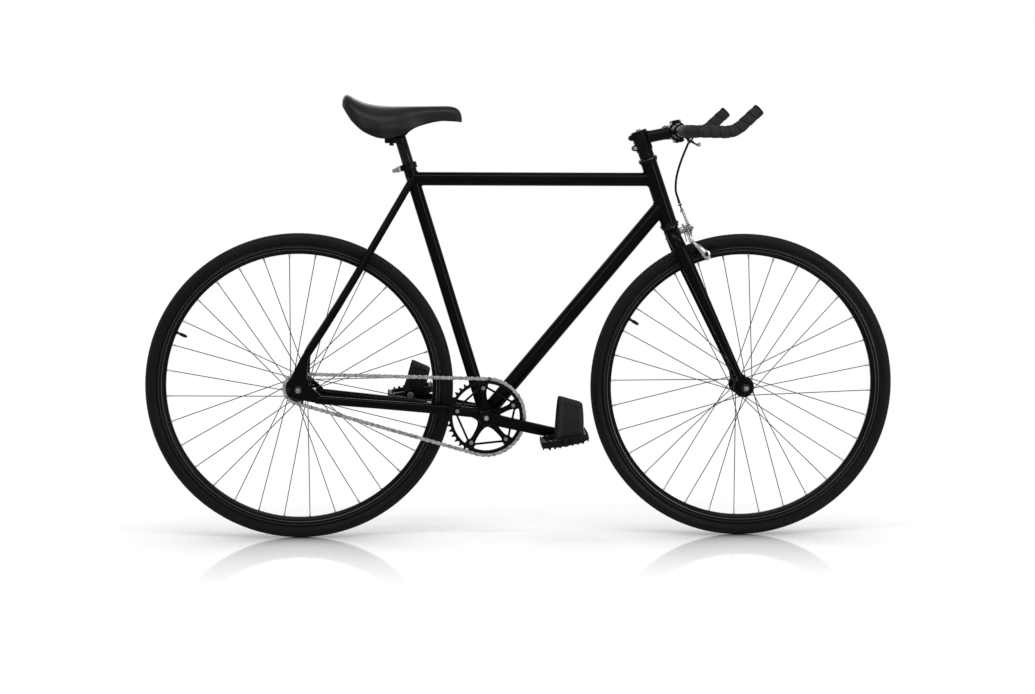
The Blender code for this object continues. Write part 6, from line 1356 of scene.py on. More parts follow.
def carve(piece, *tools):
    """Cut tool shapes out of a piece."""
    for tool in tools:
        mesh = bpy.data.meshes.new("tool")
        mesh.from_pydata(tool.points, [], tool.faces)
        edit_mesh(mesh, face_outward)
        knife = bpy.data.objects.new("tool", mesh)
        bpy.context.scene.collection.objects.link(knife)
        modifier = piece.modifiers.new("cut", "BOOLEAN")
        modifier.operation = "DIFFERENCE"
        modifier.solver = "EXACT"
        modifier.use_self = True
        modifier.object = knife
        bpy.context.view_layer.update()
        graph = bpy.context.evaluated_depsgraph_get()
        cut_mesh = bpy.data.meshes.new_from_object(piece.evaluated_get(graph))
        edit_mesh(cut_mesh, melt_slivers)
        piece.modifiers.clear()
        piece.data = cut_mesh
        bpy.data.objects.remove(knife, do_unlink=True)
    piece.data.shade_smooth()
    piece.data.set_sharp_from_angle(angle=math.radians(CUT_SHARP_ANGLE))


def add_bar_clamp(shape, ahead):
    """The stem's bar clamp with its ears, behind the joint (-1) or ahead of it (1)."""
    shape.turn(clamp_half_outline(), BAR_CENTRE, LEFT, STEM_SIDES)
    shape.block(BAR_CENTRE + STEM_FORWARD * ahead * STEM_EAR_DEPTH / 2.0, STEM_FORWARD, STEM_UP,
                (STEM_EAR_DEPTH, 2.0 * STEM_EAR_HALF_HEIGHT, STEM_BAR_CLAMP_WIDTH), 0.0022)


def bar_clamp_tools(shift):
    """What is cut from a half of the bar clamp: all beyond its joint face, and the bar's bore."""
    half = LEFT * STEM_BAR_CLAMP_WIDTH * 0.6
    beyond = Shape().block(BAR_CENTRE + STEM_FORWARD * shift, STEM_FORWARD, STEM_UP,
                           (0.100, 0.080, 0.080), 0.0001)
    return beyond, Shape().rod(BAR_CENTRE - half, BAR_CENTRE + half, BAR_CLAMP_RADIUS + GAP, 0.0,
                               STEM_SIDES)


def make_stem():
    """Stem body with its steerer clamp, its tube, its bar clamp and the lobes of its pinch bolts."""
    sides = STEM_SIDES
    body = Shape()
    bore = STEERER_DIAMETER / 2.0 + GAP
    body.turn(sleeve(STEM_CLAMP_BOTTOM, STEM_CLAMP_TOP, bore, STEM_CLAMP_RADIUS, 0.001),
              HEAD_TOP, HEAD_UP, sides)
    start = STEM_ROOT + STEM_FORWARD * (STEM_CLAMP_RADIUS - 0.004)
    end = BAR_CENTRE - STEM_FORWARD * (STEM_BAR_CLAMP_RADIUS - 0.003)
    path = [start.lerp(end, share / 6.0) for share in range(7)]
    tube = STEM_TUBE_RADIUS
    radii = [tube * 1.12, tube * 1.02, tube, tube, tube, tube * 1.03, tube * 1.16]
    body.sweep(path, radii, sides, LEFT, tips=False)
    add_bar_clamp(body, -1.0)
    for height in PINCH_LOBE_HEIGHTS:
        reach = LEFT * PINCH_LOBE_HALF_WIDTH
        centre = steer(-PINCH_LOBE_OFFSET, 0.0, height)
        body.rod(centre - reach, centre + reach, PINCH_LOBE_RADIUS, 0.0008, 32)
        body.block(steer(-PINCH_LOBE_OFFSET * 0.82, 0.0, height), HEAD_FORWARD, HEAD_UP,
                   (0.010, 2.0 * PINCH_LOBE_RADIUS - 0.001, 2.0 * PINCH_LOBE_HALF_WIDTH - 0.001), 0.0008)
    piece = make("stem_forging", body, "anodised", "steering_body", ["stem"])
    split = Shape().block(steer(-0.030, 0.0, 0.049), HEAD_FORWARD, HEAD_UP, (0.036, 0.080, 0.002), 0.0001)
    tube_bore = Shape().rod(steer(0.0, 0.0, 0.008), steer(0.0, 0.0, 0.090), bore, 0.0, sides)
    carve(piece, *bar_clamp_tools(0.050), tube_bore, split)


def make_faceplate():
    """The faceplate with its window, its four bolts and the stem's pinch bolts."""
    plate = Shape()
    add_bar_clamp(plate, 1.0)
    piece = make("faceplate_forging", plate, "anodised", "steering_body", ["stem_faceplate"])
    window = Shape().block(BAR_CENTRE + STEM_FORWARD * 0.018, STEM_FORWARD, STEM_UP,
                           (0.030, 0.018, 0.020), 0.003)
    carve(piece, *bar_clamp_tools(4.0 * GAP - 0.050), window)
    bolts = Shape()
    for up in (-0.0208, 0.0208):
        for side in (-0.0150, 0.0150):
            place = BAR_CENTRE + STEM_UP * up + LEFT * side + STEM_FORWARD * STEM_EAR_DEPTH
            bolts.hexagon(place, STEM_FORWARD, 0.0036, 0.0028, 0.0017)
    for height, side in zip(PINCH_LOBE_HEIGHTS, (-1.0, 1.0)):
        place = steer(-PINCH_LOBE_OFFSET, side * PINCH_LOBE_HALF_WIDTH, height)
        bolts.hexagon(place, LEFT * side, 0.0042, 0.0026, 0.0019)
    make("stem_bolts", bolts, "steel", "steering_body")


def make_stem_cap():
    """The cap on the steerer and the preload bolt through it."""
    low = STEM_CLAMP_TOP + GAP
    high = low + STEM_CAP_HEIGHT
    rim = STEM_CLAMP_RADIUS - 0.0005
    cap = Shape().turn([(low, 0.0033), (low, rim - 0.0003), (low + 0.0003, rim), (high - 0.0018, rim),
                        (high - 0.0006, rim - 0.0009), (high, rim - 0.0026), (high, 0.0062),
                        (high - 0.0012, 0.0056), (high - 0.0012, 0.0033)], HEAD_TOP, HEAD_UP,
                       STEM_SIDES)
    make("stem_cap_turned", cap, "anodised", "steering_body", ["stem_cap"])
    bolt = Shape()
    bolt.rod(steer(0.0, 0.0, STEM_CLAMP_TOP - 0.030), steer(0.0, 0.0, high), 0.003, 0.0003, 24)
    bolt.hexagon(steer(0.0, 0.0, high - 0.0011), HEAD_UP, 0.005, 0.0044, 0.0026)
    make("preload_bolt_head", bolt, "steel", "steering_body", ["preload_bolt"])


def clamp_half_outline():
    """The half section of the stem's bar clamp, with softened rims."""
    half, radius = STEM_BAR_CLAMP_WIDTH / 2.0, STEM_BAR_CLAMP_RADIUS
    edge = [(half, 0.0), (half, radius - 0.0016), (half - 0.0005, radius - 0.0005),
            (half - 0.0016, radius)]
    return [(-along, out) for along, out in edge] + edge[::-1]


def bar_path(side, start=0.0):
    """Fine points from one side of the bar's middle to the end of its horn."""
    bend_start = BAR_HALF_WIDTH - BAR_BEND_RADIUS
    flat_end = BAR_FLAT_REACH - BAR_HORN_BEND_RADIUS * math.tan(math.radians(BAR_HORN_ANGLE / 2.0))
    points = [(0.0, start, 0.0), (0.0, start + (bend_start - start) * 0.5, 0.0)]
    for forward, left in arc_points((BAR_BEND_RADIUS, bend_start), BAR_BEND_RADIUS, 180.0, 90.0, 14):
        points.append((forward, left, 0.0))
    for forward, up in arc_points((flat_end, BAR_HORN_BEND_RADIUS), BAR_HORN_BEND_RADIUS, -90.0,
                                  BAR_HORN_ANGLE - 90.0, 10):
        points.append((forward, BAR_HALF_WIDTH, up))
    rise = math.radians(BAR_HORN_ANGLE)
    tail = points[-1]
    for share in (0.5, 1.0):
        reach = BAR_HORN_LENGTH * share
        points.append((tail[0] + reach * math.cos(rise), tail[1], tail[2] + reach * math.sin(rise)))
    tilt = math.radians(BAR_TILT)
    ahead = Vector((math.cos(tilt), 0.0, -math.sin(tilt)))
    upward = Vector((math.sin(tilt), 0.0, math.cos(tilt)))
    return [BAR_CENTRE + ahead * forward + LEFT * side * left + upward * up for forward, left, up in points]


def make_handlebar():
    """The bullhorn bar with its clamp bulge."""
    shape = Shape()
    half = bar_path(1.0, 0.070)
    other = bar_path(-1.0, 0.070)
    steps = (0.030, 0.036, 0.041, 0.046, 0.050, 0.056)
    middle = [bar_point(0.0, left, 0.0) for left in (*(-step for step in reversed(steps)), *steps)]
    points = other[::-1] + middle + half
    radii = []
    for point in points:
        away = abs(point.y - BAR_CENTRE.y)
        share = min(max((0.050 - away) / 0.014, 0.0), 1.0)
        share = share * share * (3.0 - 2.0 * share)
        radii.append(BAR_RADIUS + (BAR_CLAMP_RADIUS - BAR_RADIUS) * share)
    shape.sweep(points, radii, 40, UPRIGHT, tips=False)
    make("bullhorn_bar", shape, "anodised", "steering_body", ["handlebar"])


def make_bar_tape():
    """Tape wound round each side of the bar, each turn lapping the one before, and the end plugs."""
    sides = TAPE_SIDES
    for side, name in ((-1.0, "right"), (1.0, "left")):
        spaced = even_points(bar_path(side, TAPE_START), TAPE_RINGS)
        length = spaced[-1][1]
        centres = [point for point, _ in spaced]
        rings = path_rings(centres, [1.0] * TAPE_RINGS, sides, UPRIGHT)

        def wound(distance, step, radius):
            row = min(max(distance / length, 0.0), 1.0) * (TAPE_RINGS - 1)
            low = min(int(row), TAPE_RINGS - 2)
            share = row - low
            spoke_low = rings[low][step % sides] - centres[low]
            spoke_high = rings[low + 1][step % sides] - centres[low + 1]
            spoke = spoke_low.lerp(spoke_high, share).normalized()
            return centres[low].lerp(centres[low + 1], share) + spoke * radius

        shape = Shape()
        turns = math.ceil(length / TAPE_LEAD) + 1
        columns = ((0.0, 0.15), (0.02, 0.75), (0.06, 1.0), (0.18, 0.96), (0.34, 0.86), (0.52, 0.70),
                   (0.70, 0.50), (0.86, 0.26), (0.97, 0.05))
        base = BAR_RADIUS + GAP + TAPE_THICKNESS - TAPE_RIDGE * 0.5
        points = []
        held = []
        total = turns * sides
        for step in range(-sides, total + 1):
            for share, height in columns:
                distance = TAPE_LEAD * (step / sides + share)
                held.append(not 0.0 < distance < length)
                radius = base + TAPE_RIDGE * height
                shape.lay[len(points)] = (step / sides * 2.0 * math.pi * BAR_RADIUS,
                                          share * TAPE_LEAD, 0.0)
                points.append(wound(distance, step, radius))
        faces = []
        width = len(columns)
        for row in range(total + sides):
            low, high = row * width, (row + 1) * width
            for column in range(width - 1):
                faces.append([low + column, low + column + 1, high + column + 1, high + column])
            if row < total:
                joined_low, joined_high = low + sides * width, high + sides * width
                faces.append([low + width - 1, joined_low, joined_high, high + width - 1])
        shape.add(points, [face for face in faces if not all(held[index] for index in face)])
        tape = make(f"{name}_tape_wrap", shape, "tape", "steering_body", [f"{name}_bar_tape"], sharp=60.0)
        edit_mesh(tape.data, drop_slivers)
        out = (spaced[-1][0] - spaced[-2][0]).normalized()
        shank = PLUG_BORE_RADIUS - GAP
        plug = PLUG_RADIUS
        outline = [(-PLUG_DEPTH + GAP, 0.0), (-PLUG_DEPTH + GAP, shank), (GAP, shank), (GAP, plug - 0.0003),
                   (0.0005, plug), (0.0018, plug), (0.0028, plug * 0.93), (0.0036, plug * 0.80),
                   (0.0038, plug * 0.62), (0.0034, plug * 0.58), (0.0040, plug * 0.52), (0.0045, plug * 0.25),
                   (0.0046, 0.0)]
        make(f"{name}_plug_moulding", Shape().turn(outline, spaced[-1][0], out, 48), "plastic",
             "steering_body", [f"{name}_bar_plug"])
        start = bar_point(0.0, side * (TAPE_START - 0.006), 0.0)
        band = BAR_RADIUS + TAPE_THICKNESS + 0.0006
        outline = sleeve(0.0, 0.0140, BAR_RADIUS + GAP, band, 0.0004)
        make(f"{name}_finishing_band", Shape().turn(outline, start, LEFT * side, 48), "plastic",
             "steering_body")


def lever_frame():
    """The brake lever's hinge: its place, its axis and the way the blade moves."""
    tilt = math.radians(LEVER_AXIS_TILT)
    axis = Vector((-math.sin(tilt), 0.0, -math.cos(tilt)))
    pull = Vector((-math.cos(tilt), 0.0, math.sin(tilt)))
    return bar_point(LEVER_PIVOT_FORWARD, -LEVER_CLAMP_OFFSET, -LEVER_PIVOT_DROP), axis, pull


def make_brake_lever():
    """The short cross-bar lever: clamp, forked lug, pin and blade."""
    place, axis, pull = lever_frame()
    bore = BAR_RADIUS + GAP
    ring = bore + LEVER_CLAMP_WALL
    middle = bar_point(0.0, -LEVER_CLAMP_OFFSET, 0.0)
    half = LEVER_CLAMP_WIDTH / 2.0
    clamp = Shape().turn(sleeve(-half, half, bore, ring, 0.0008), middle, LEFT, 48)
    reach = (place - middle).normalized()
    length = (place - middle).length - 0.008
    arm = length - bore + 0.007
    lug = middle + reach * (bore + 0.0008 + arm / 2.0)
    cheek = axis * LEVER_LUG_HALF
    slot = axis * (LEVER_EYE_HALF + GAP)
    clamp.block(lug, reach, LEFT, (arm, LEVER_CLAMP_WIDTH - 0.002, 0.010), 0.001)
    for sign in (-1.0, 1.0):
        clamp.rod(place + slot * sign, place + cheek * sign, LEVER_BOSS_RADIUS, 0.0006, 32)
    clamp.rod(place - cheek * 0.9, place + cheek * 0.9, LEVER_PIN_RADIUS, 0.0002, 24)
    make("lever_clamp_casting", clamp, "anodised", "steering_body", ["brake_lever_clamp"])
    screw = Shape().hexagon(place + cheek, axis, 0.0034, 0.0016, 0.0015)
    pinch = bar_point(-0.004, -LEVER_CLAMP_OFFSET, ring)
    screw.hexagon(pinch, UPRIGHT, 0.0030, 0.0020, 0.0014)
    make("lever_screws", screw, "steel", "steering_body")

    rows = [(0.0075, 0.0009, 0.0022, 0.0022), (0.0110, 0.0016, 0.0034, 0.0022),
            (0.016, 0.0024, 0.0050, 0.0022), (0.030, 0.0044, 0.0056, 0.0024),
            (0.055, 0.0066, 0.0062, 0.0026), (0.078, 0.0100, 0.0058, 0.0026),
            (LEVER_LENGTH, 0.0135, 0.0040, 0.0022)]
    stops = [[(out, row[index]) for out, *row in rows] for index in range(3)]
    points = []
    radii = []
    for step in range(BLADE_STEPS + 1):
        out = rows[0][0] + (rows[-1][0] - rows[0][0]) * step / BLADE_STEPS
        away, tall, thick = [smooth_row(stop, out) for stop in stops]
        points.append(place + RIGHT * out - pull * away)
        radii.append((tall, thick))
    bore = LEVER_PIN_RADIUS + GAP
    rim = LEVER_BOSS_RADIUS - GAP
    width = 2.0 * LEVER_EYE_HALF
    blade = Shape().turn([(0.0, bore), (0.0, rim), (width, rim), (width, bore)],
                         place - axis * LEVER_EYE_HALF, axis, 32)
    blade.sweep(points, radii, 24, axis, 0.8)
    make("lever_blade", blade, "steel", "brake_lever_body", ["brake_lever"])


def housing_points():
    """The cable housing's own points, from the lever's lug to the caliper's adjuster."""
    place, _, _ = lever_frame()
    stop = steer(CALIPER_FRONT_ARM, CALIPER_STOP[0], CALIPER_STOP[1] + 0.014)
    return [
        place + LEFT * (LEVER_BOSS_RADIUS + GAP), bar_point(0.0230, -0.038, -0.022),
        bar_point(0.0170, -0.022, -0.042), bar_point(0.0095, -0.006, -0.068),
        bar_point(0.0035, 0.012, -0.100), bar_point(0.0040, 0.027, -0.130),
        stop + HEAD_UP * 0.012, stop + HEAD_UP * GAP,
    ]


def line_piece(name, points, radius, kind, node):
    """A cord as a curve with a round section and closed ends."""
    data = bpy.data.curves.new(name, "CURVE")
    data.dimensions = "3D"
    data.bevel_depth = radius
    data.bevel_resolution = 6
    data.use_fill_caps = True
    line = data.splines.new("POLY")
    line.points.add(len(points) - 1)
    for target, point in zip(line.points, points):
        target.co = (*point, 1.0)
    data.materials.append(finish_for(kind))
    piece = bpy.data.objects.new(name, data)
    bpy.context.scene.collection.objects.link(piece)
    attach(piece, "steering_body")
    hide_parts(node)
    return piece


def make_brake_cable():
    """The housing from lever to caliper with its ferrules, and the bare inner wire below it."""
    dense = curved_path(housing_points(), 12)
    length = sum((after - before).length for before, after in zip(dense, dense[1:]))
    points = [point for point, _ in even_points(dense, 40)]
    housing = line_piece("brake_housing_sleeve", points, HOUSING_RADIUS, "housing", "brake_cable_housing")
    ferrules = Shape()
    for end, beyond in ((points[0], points[2]), (points[-1], points[-3])):
        away = (beyond - end).normalized()
        ferrules.turn([(0.0002, HOUSING_RADIUS), (0.0002, 0.0030), (0.0012, 0.0033), (0.0020, 0.0030),
                       (0.0095, 0.0029), (0.0105, HOUSING_RADIUS)], end, away, 32)
    make("cable_ferrules", ferrules, "dark_steel", "steering_body")
    top = steer(CALIPER_FRONT_ARM, CALIPER_STOP[0], CALIPER_STOP[1] + 0.0095)
    low = steer(CALIPER_FRONT_ARM + 0.0022, CALIPER_ANCHOR[0] + 0.0095, CALIPER_ANCHOR[1] - 0.012)
    middle = steer(CALIPER_FRONT_ARM, CALIPER_STOP[0], CALIPER_STOP[1] - 0.012)
    path = curved_path([top, top.lerp(middle, 0.5), middle, middle.lerp(low, 0.5), low], 6)
    strands = Shape().sweep(path, [WIRE_RADIUS] * len(path), 20, HEAD_FORWARD)
    wire = make("brake_wire_strands", strands, "wire", None, ["brake_inner_wire"])
    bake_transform(wire)


def pad_centre(side):
    """The middle of a brake pad, level with the rim's brake track."""
    across = RIM_WIDTH / 2.0 + PAD_CLEARANCE + PAD_THICKNESS / 2.0
    return FRONT_AXLE + polar(PAD_ANGLE, PAD_TRACK_RADIUS) + LEFT * side * across


def caliper_arm(layer, route, low_side):
    """A forged arm along its route to the pad, with a round boss on the centre bolt."""
    offset = pad_centre(low_side) - HEAD_TOP
    pad_forward, pad_up = offset.dot(HEAD_FORWARD), offset.dot(HEAD_UP)
    across = RIM_WIDTH / 2.0 + PAD_CLEARANCE + PAD_THICKNESS + 0.0045
    points = [steer(layer, left, up) for left, up, _ in route]
    radii = [(CALIPER_ARM_HALF, half) for _, _, half in route]
    points.append(steer(pad_forward - 0.010, low_side * (across + 0.0035), pad_up + 0.018))
    points.append(steer(pad_forward - 0.0035, low_side * (across + 0.0010), pad_up + 0.004))
    points.append(steer(pad_forward + 0.0015, low_side * across, pad_up - 0.011))
    radii += [(0.0062, 0.0042), (0.0080, 0.0042), (0.0066, 0.0036)]
    fine_points = curved_path(points, ARM_STEPS)
    fine_radii = []
    for index in range(len(fine_points)):
        place = index / ARM_STEPS
        low = min(int(place), len(radii) - 2)
        share = place - low
        fine_radii.append(tuple(a + (b - a) * share for a, b in zip(radii[low], radii[low + 1])))
    shape = Shape().sweep(fine_points, fine_radii, 24, HEAD_FORWARD, 0.72)
    boss = CALIPER_BOLT_RADIUS + GAP
    half = CALIPER_ARM_HALF + 0.0002
    return shape.turn(sleeve(-half, half, boss, 0.0085, 0.0006), steer(layer, 0.0, CALIPER_HEIGHT),
                      HEAD_FORWARD, 40)


def make_left_arm():
    """The front arm, bored for the wire, with the barrel adjuster."""
    left, up = CALIPER_STOP
    route = [(left + 0.0010, up + 0.0006, 0.0040), (left - 0.0090, up - 0.0030, 0.0050),
             (left - 0.0160, up - 0.0140, 0.0052), (0.0100, CALIPER_HEIGHT + 0.012, 0.0060),
             (0.0045, CALIPER_HEIGHT - 0.001, 0.0066), (0.0200, CALIPER_HEIGHT - 0.016, 0.0056),
             (0.0340, CALIPER_HEIGHT - 0.030, 0.0050)]
    arm = caliper_arm(CALIPER_FRONT_ARM, route, 1.0)
    stop = steer(CALIPER_FRONT_ARM, left, up)
    nut = [(-0.0052 + 0.0008 * step, 0.0042 if step % 2 else 0.0037) for step in range(9)]
    thread = [(0.0016 + 0.0006 * step, 0.0019 if step % 2 else 0.0018) for step in range(13)]
    cup = [(0.0100, 0.0024), (0.0104, 0.0050), (0.0128, 0.0050), (0.0135, 0.0036), (0.0135, 0.0014)]
    barrel = Shape().turn([(-0.0052, 0.0014)] + nut + thread + cup, stop, HEAD_UP, 24)
    make("barrel_adjuster", barrel, "dark_steel", "left_arm_body")
    piece = make("left_arm_forging", arm, "grey_steel", "left_arm_body", ["left_caliper_arm"])
    carve(piece, Shape().rod(stop - HEAD_UP * 0.016, stop + HEAD_UP * 0.012, 0.0026, 0.0, 24))


def make_right_arm():
    """The rear arm with the boss that anchors the wire."""
    left, up = CALIPER_ANCHOR
    route = [(left + 0.004, up, 0.0048), (left - 0.014, up + 0.004, 0.0052),
             (0.0060, CALIPER_HEIGHT - 0.002, 0.0064), (-0.0060, CALIPER_HEIGHT, 0.0064),
             (-0.0220, CALIPER_HEIGHT - 0.012, 0.0056), (-0.0340, CALIPER_HEIGHT - 0.030, 0.0050)]
    arm = caliper_arm(CALIPER_REAR_ARM, route, -1.0)
    anchor = steer(CALIPER_REAR_ARM, left, up)
    arm.rod(anchor + HEAD_FORWARD * 0.002, anchor + HEAD_FORWARD * 0.0090, 0.0045, 0.0005, 32)
    make("right_arm_forging", arm, "steel", "right_arm_body", ["right_caliper_arm"])


def make_caliper_bolt():
    """The centre bolt through the crown and both arms, and the spring that opens them."""
    place = steer(0.0, 0.0, CALIPER_HEIGHT)
    face = CROWN_BOSS_DIAMETER / 2.0 + GAP
    bolt = Shape().rod(place - HEAD_FORWARD * 0.016, place + HEAD_FORWARD * (CALIPER_FRONT_FACE + 0.001),
                       CALIPER_BOLT_RADIUS)
    bolt.turn(sleeve(face, CALIPER_REAR_FACE, CALIPER_BOLT_RADIUS, 0.0075, 0.0005), place,
              HEAD_FORWARD, 40)
    bolt.hexagon(place + HEAD_FORWARD * CALIPER_FRONT_FACE, HEAD_FORWARD, 0.0055, 0.005)
    bolt.rod(place - HEAD_FORWARD * 0.016, place - HEAD_FORWARD * 0.0063, 0.0045, 0.0004, 24)
    make("caliper_centre_bolt", bolt, "steel", "steering_body", ["caliper_bolt"])
    loop = [(0.006, 0.0125), (0.0125, 0.006), (0.019, -0.008), (0.027, -0.030)]
    loop = [(-out, high) for out, high in reversed(loop)] + loop
    points = [steer(CALIPER_REAR_FACE - 0.0019, out, CALIPER_HEIGHT + high) for out, high in loop]
    points = curved_path(points, 6)
    spring = Shape().sweep(points, [0.0010] * len(points), 16, HEAD_FORWARD)
    make("spring_wire", spring, "grey_steel", "steering_body", ["caliper_spring"])


def make_release_lever():
    """The small lever that opens the brake for the wheel to come out."""
    boss = steer(CALIPER_REAR_ARM + 0.0093, *CALIPER_ANCHOR)
    release = Shape().rod(boss, boss + HEAD_FORWARD * 0.004, 0.0052, 0.0005, 32)
    rows = [(0.002, 0.0), (0.006, 0.0018), (0.011, 0.004), (0.020, 0.010)]
    points = [boss + HEAD_FORWARD * (0.002 + ahead * 0.6) + LEFT * out for out, ahead in rows]
    path = curved_path(points, 5)
    radii = [(0.0016, 0.0030 - 0.0008 * index / (len(path) - 1)) for index in range(len(path))]
    release.sweep(path, radii, 20, HEAD_FORWARD, 0.8)
    make("release_lever_cam", release, "grey_steel", "release_lever_body", ["caliper_release_lever"])


def make_brake_pad(side, name):
    """A rubber block with wear grooves in its holder, and the holder's bolt."""
    centre = pad_centre(side)
    tangent = polar(PAD_ANGLE - 90.0)
    radial = polar(PAD_ANGLE)
    out = LEFT * side
    half, length, height = PAD_THICKNESS / 2.0, PAD_LENGTH / 2.0, PAD_HEIGHT / 2.0
    long, low = length * 0.86, height * 0.6
    smooth = rounded([(-length, -low), (-long, -height), (long, -height), (length, -low),
                      (length, low), (long, height), (-long, height), (-length, low)], 0.003, 3)

    def layers(*levels):
        return Shape().skin([[centre + out * shift + tangent * x + radial * y
                              for x, y in shrunk(smooth, inset)] for shift, inset in levels])

    body = f"{name}_arm_body"
    rubber = layers((-half, 0.0010), (-half + 0.0008, 0.0003), (-half * 0.3, 0.0), (half * 0.25, 0.0),
                    (half * 0.3, 0.0006))
    make(f"{name}_pad_block", rubber, "pad", body, [f"{name}_brake_pad"])
    holder = layers((half * 0.3, 0.0004), (half * 0.36, 0.0), (half * 0.86, 0.0002), (half, 0.0009))
    make(f"{name}_pad_holder", holder, "anodised", body)
    start = centre + out * half
    washer = Shape().turn([(0.0058, 0.0), (0.0058, 0.0082), (0.0064, 0.0088), (0.0090, 0.0088),
                           (0.0096, 0.0080), (0.0098, 0.0)], start, out, 48)
    make(f"{name}_pad_washer", washer, "steel", body)
    bolt = Shape().rod(start - out * 0.001, start + out * 0.0085, 0.0030, 0.0003, 24)
    bolt.hexagon(start + out * 0.0096, out, 0.0046, 0.0034, 0.0022)
    make(f"{name}_pad_bolt", bolt, "dark_steel", body)


def make_tyre(name, centre, body, sides):
    """The tyre: a round carcass with a flatter tread, narrowing to two beads inside the rim."""
    half = TYRE_WIDTH / 2.0
    middle = TYRE_RADIUS - half
    bead_outer = RIM_WIDTH / 2.0 - RIM_WALL - GAP
    outline = []
    for step in range(43):
        angle = math.radians(105.0 - 5.0 * step)
        outline.append((half * math.sin(angle), middle + half * math.cos(angle)))
    neck = RIM_EDGE_RADIUS + 0.0004
    low = RIM_EDGE_RADIUS - BEAD_DEPTH
    inner = half - TYRE_WALL - 0.0017
    outline += [(-bead_outer, neck), (-bead_outer + 0.0011, low), (-inner, middle),
                (0.0, TYRE_RADIUS - TYRE_WALL), (inner, middle), (bead_outer - 0.0011, low),
                (bead_outer, neck)]
    shape = Shape().turn(outline, centre, LEFT, sides)
    make(f"{name}_tyre_casing", shape, "tyre", body, [f"{name}_tyre"], centre)


def make_rim(name, centre, body, sides):
    """The rim: brake track, curved flanks and narrow nose, with a bed for the tyre."""
    half = RIM_WIDTH / 2.0
    wall = half - RIM_WALL
    bed = RIM_EDGE_RADIUS - RIM_BED_DEPTH
    track = RIM_EDGE_RADIUS - RIM_BRAKE_TRACK
    nose = RIM_NOSE_WIDTH / 2.0
    low = RIM_INNER_RADIUS
    side = [(half - 0.0004, RIM_EDGE_RADIUS), (half, RIM_EDGE_RADIUS - 0.0005), (half, track + 0.0009),
            (half - 0.0004, track + 0.0002), (half - 0.0006, track - 0.0008),
            (nose + (half - nose) * 0.52, low + (track - low) * 0.50), (nose + 0.0014, low + 0.0012),
            (nose + 0.0002, low + 0.0002)]
    outline = side + [(-across, radius) for across, radius in reversed(side)]
    outline += [(-wall, RIM_EDGE_RADIUS), (-wall, bed), (wall, bed), (wall, RIM_EDGE_RADIUS)]
    shape = Shape().turn(outline, centre, LEFT, sides)
    make(f"{name}_rim_section", shape, "rim", body, [f"{name}_rim"], centre)


def make_tube_and_valve(name, centre, body, valve_angle):
    """The air tube inside the tyre, with its threaded valve, locknut and dust cap."""
    middle = TYRE_RADIUS - TYRE_WIDTH / 2.0 - 0.0015
    outline = []
    for step in range(12):
        angle = 2.0 * math.pi * step / 12
        outline.append((0.0075 * math.sin(angle), middle + 0.0075 * math.cos(angle)))
    tube = Shape().turn(outline, centre, LEFT, 96)
    make(f"{name}_air_tube", tube, "pad", body, [f"{name}_inner_tube"], centre)
    inward = -polar(valve_angle)
    root = centre + polar(valve_angle, RIM_INNER_RADIUS)
    stem = Shape()
    ridges = [(-0.012, 0.0), (-0.012, 0.0029)]
    for step in range(16):
        ridges.append((-0.002 + 0.0006 * step, 0.0030 if step % 2 else 0.0026))
    ridges += [(0.008, 0.0024), (0.009, 0.0)]
    stem.turn(ridges, root, inward, 24)
    stem.turn([(0.0002, 0.0025), (0.0002, 0.0040), (0.0016, 0.0040), (0.0020, 0.0034), (0.0020, 0.0025)],
              root, inward, 24)
    make(f"{name}_valve_stem", stem, "dark_steel", body, (), centre)
    reach = VALVE_REACH
    cap = Shape().turn([(0.0075, 0.0), (0.0075, 0.0033), (0.0085, 0.0038), (reach - 0.006, 0.0036),
                        (reach - 0.002, 0.0028), (reach - 0.0004, 0.0012), (reach, 0.0)], root, inward, 24)
    make(f"{name}_valve_cap", cap, "plastic", body, (), centre)


def lace(centre, offset, first_angle, leads):
    """Each spoke's inner and outer ends, its hub face side and its flange."""
    per_flange = SPOKE_COUNT // 2
    hole_step = 360.0 / per_flange
    rim_step = 360.0 / SPOKE_COUNT
    laced = []
    for side, lead_turn in zip((-1.0, 1.0), leads):
        shift = 0.0 if side < 0.0 else rim_step
        for index in range(per_flange):
            turn = lead_turn if index % 2 else -lead_turn
            rim_angle = first_angle + shift + hole_step * index
            hub_angle = rim_angle - turn * hole_step * SPOKE_CROSSES
            face = side * (offset + turn * (FLANGE_THICKNESS / 2.0 + SPOKE_HEAD_OFFSET + 0.0004))
            hole = centre + polar(hub_angle, SPOKE_CIRCLE_RADIUS)
            outer = centre + polar(rim_angle, RIM_INNER_RADIUS - 0.0008)
            laced.append((hole + LEFT * face, outer, side * turn, hole + LEFT * side * offset))
    return laced


def add_spokes(shape, laced):
    """Each spoke: a head on the far side of the flange, a bend, a straight wire and its nipple."""
    for inner, outer, outward, hole in laced:
        heading = (outer - inner).normalized()
        away = LEFT * outward
        head = hole - away * (FLANGE_THICKNESS / 2.0 + 0.0007)
        elbow = inner + heading * 0.0022
        points = [head, hole, inner - away * 0.0002 + heading * 0.0005, elbow,
                  inner.lerp(outer, 0.5), outer]
        guide = polar(90.0) if abs(heading.z) < 0.9 else LEVEL
        shape.sweep(points, [SPOKE_RADIUS] * len(points), 10, guide, tips=False)
        shape.rod(head - away * 0.0005, head + away * 0.0004, 0.0019, 0.0003, 12)


def add_nipples(shape, laced):
    """The nipples that hold the spokes at the rim."""
    for inner, outer, _, _ in laced:
        heading = (outer - inner).normalized()
        base = outer - heading * 0.0088
        shape.turn([(0.0, SPOKE_RADIUS), (0.0, 0.0015), (0.0006, 0.0019), (0.0060, 0.0019), (0.0066, 0.0024),
                    (0.0092, 0.0024), (0.0092, SPOKE_RADIUS)], base, heading, 10)


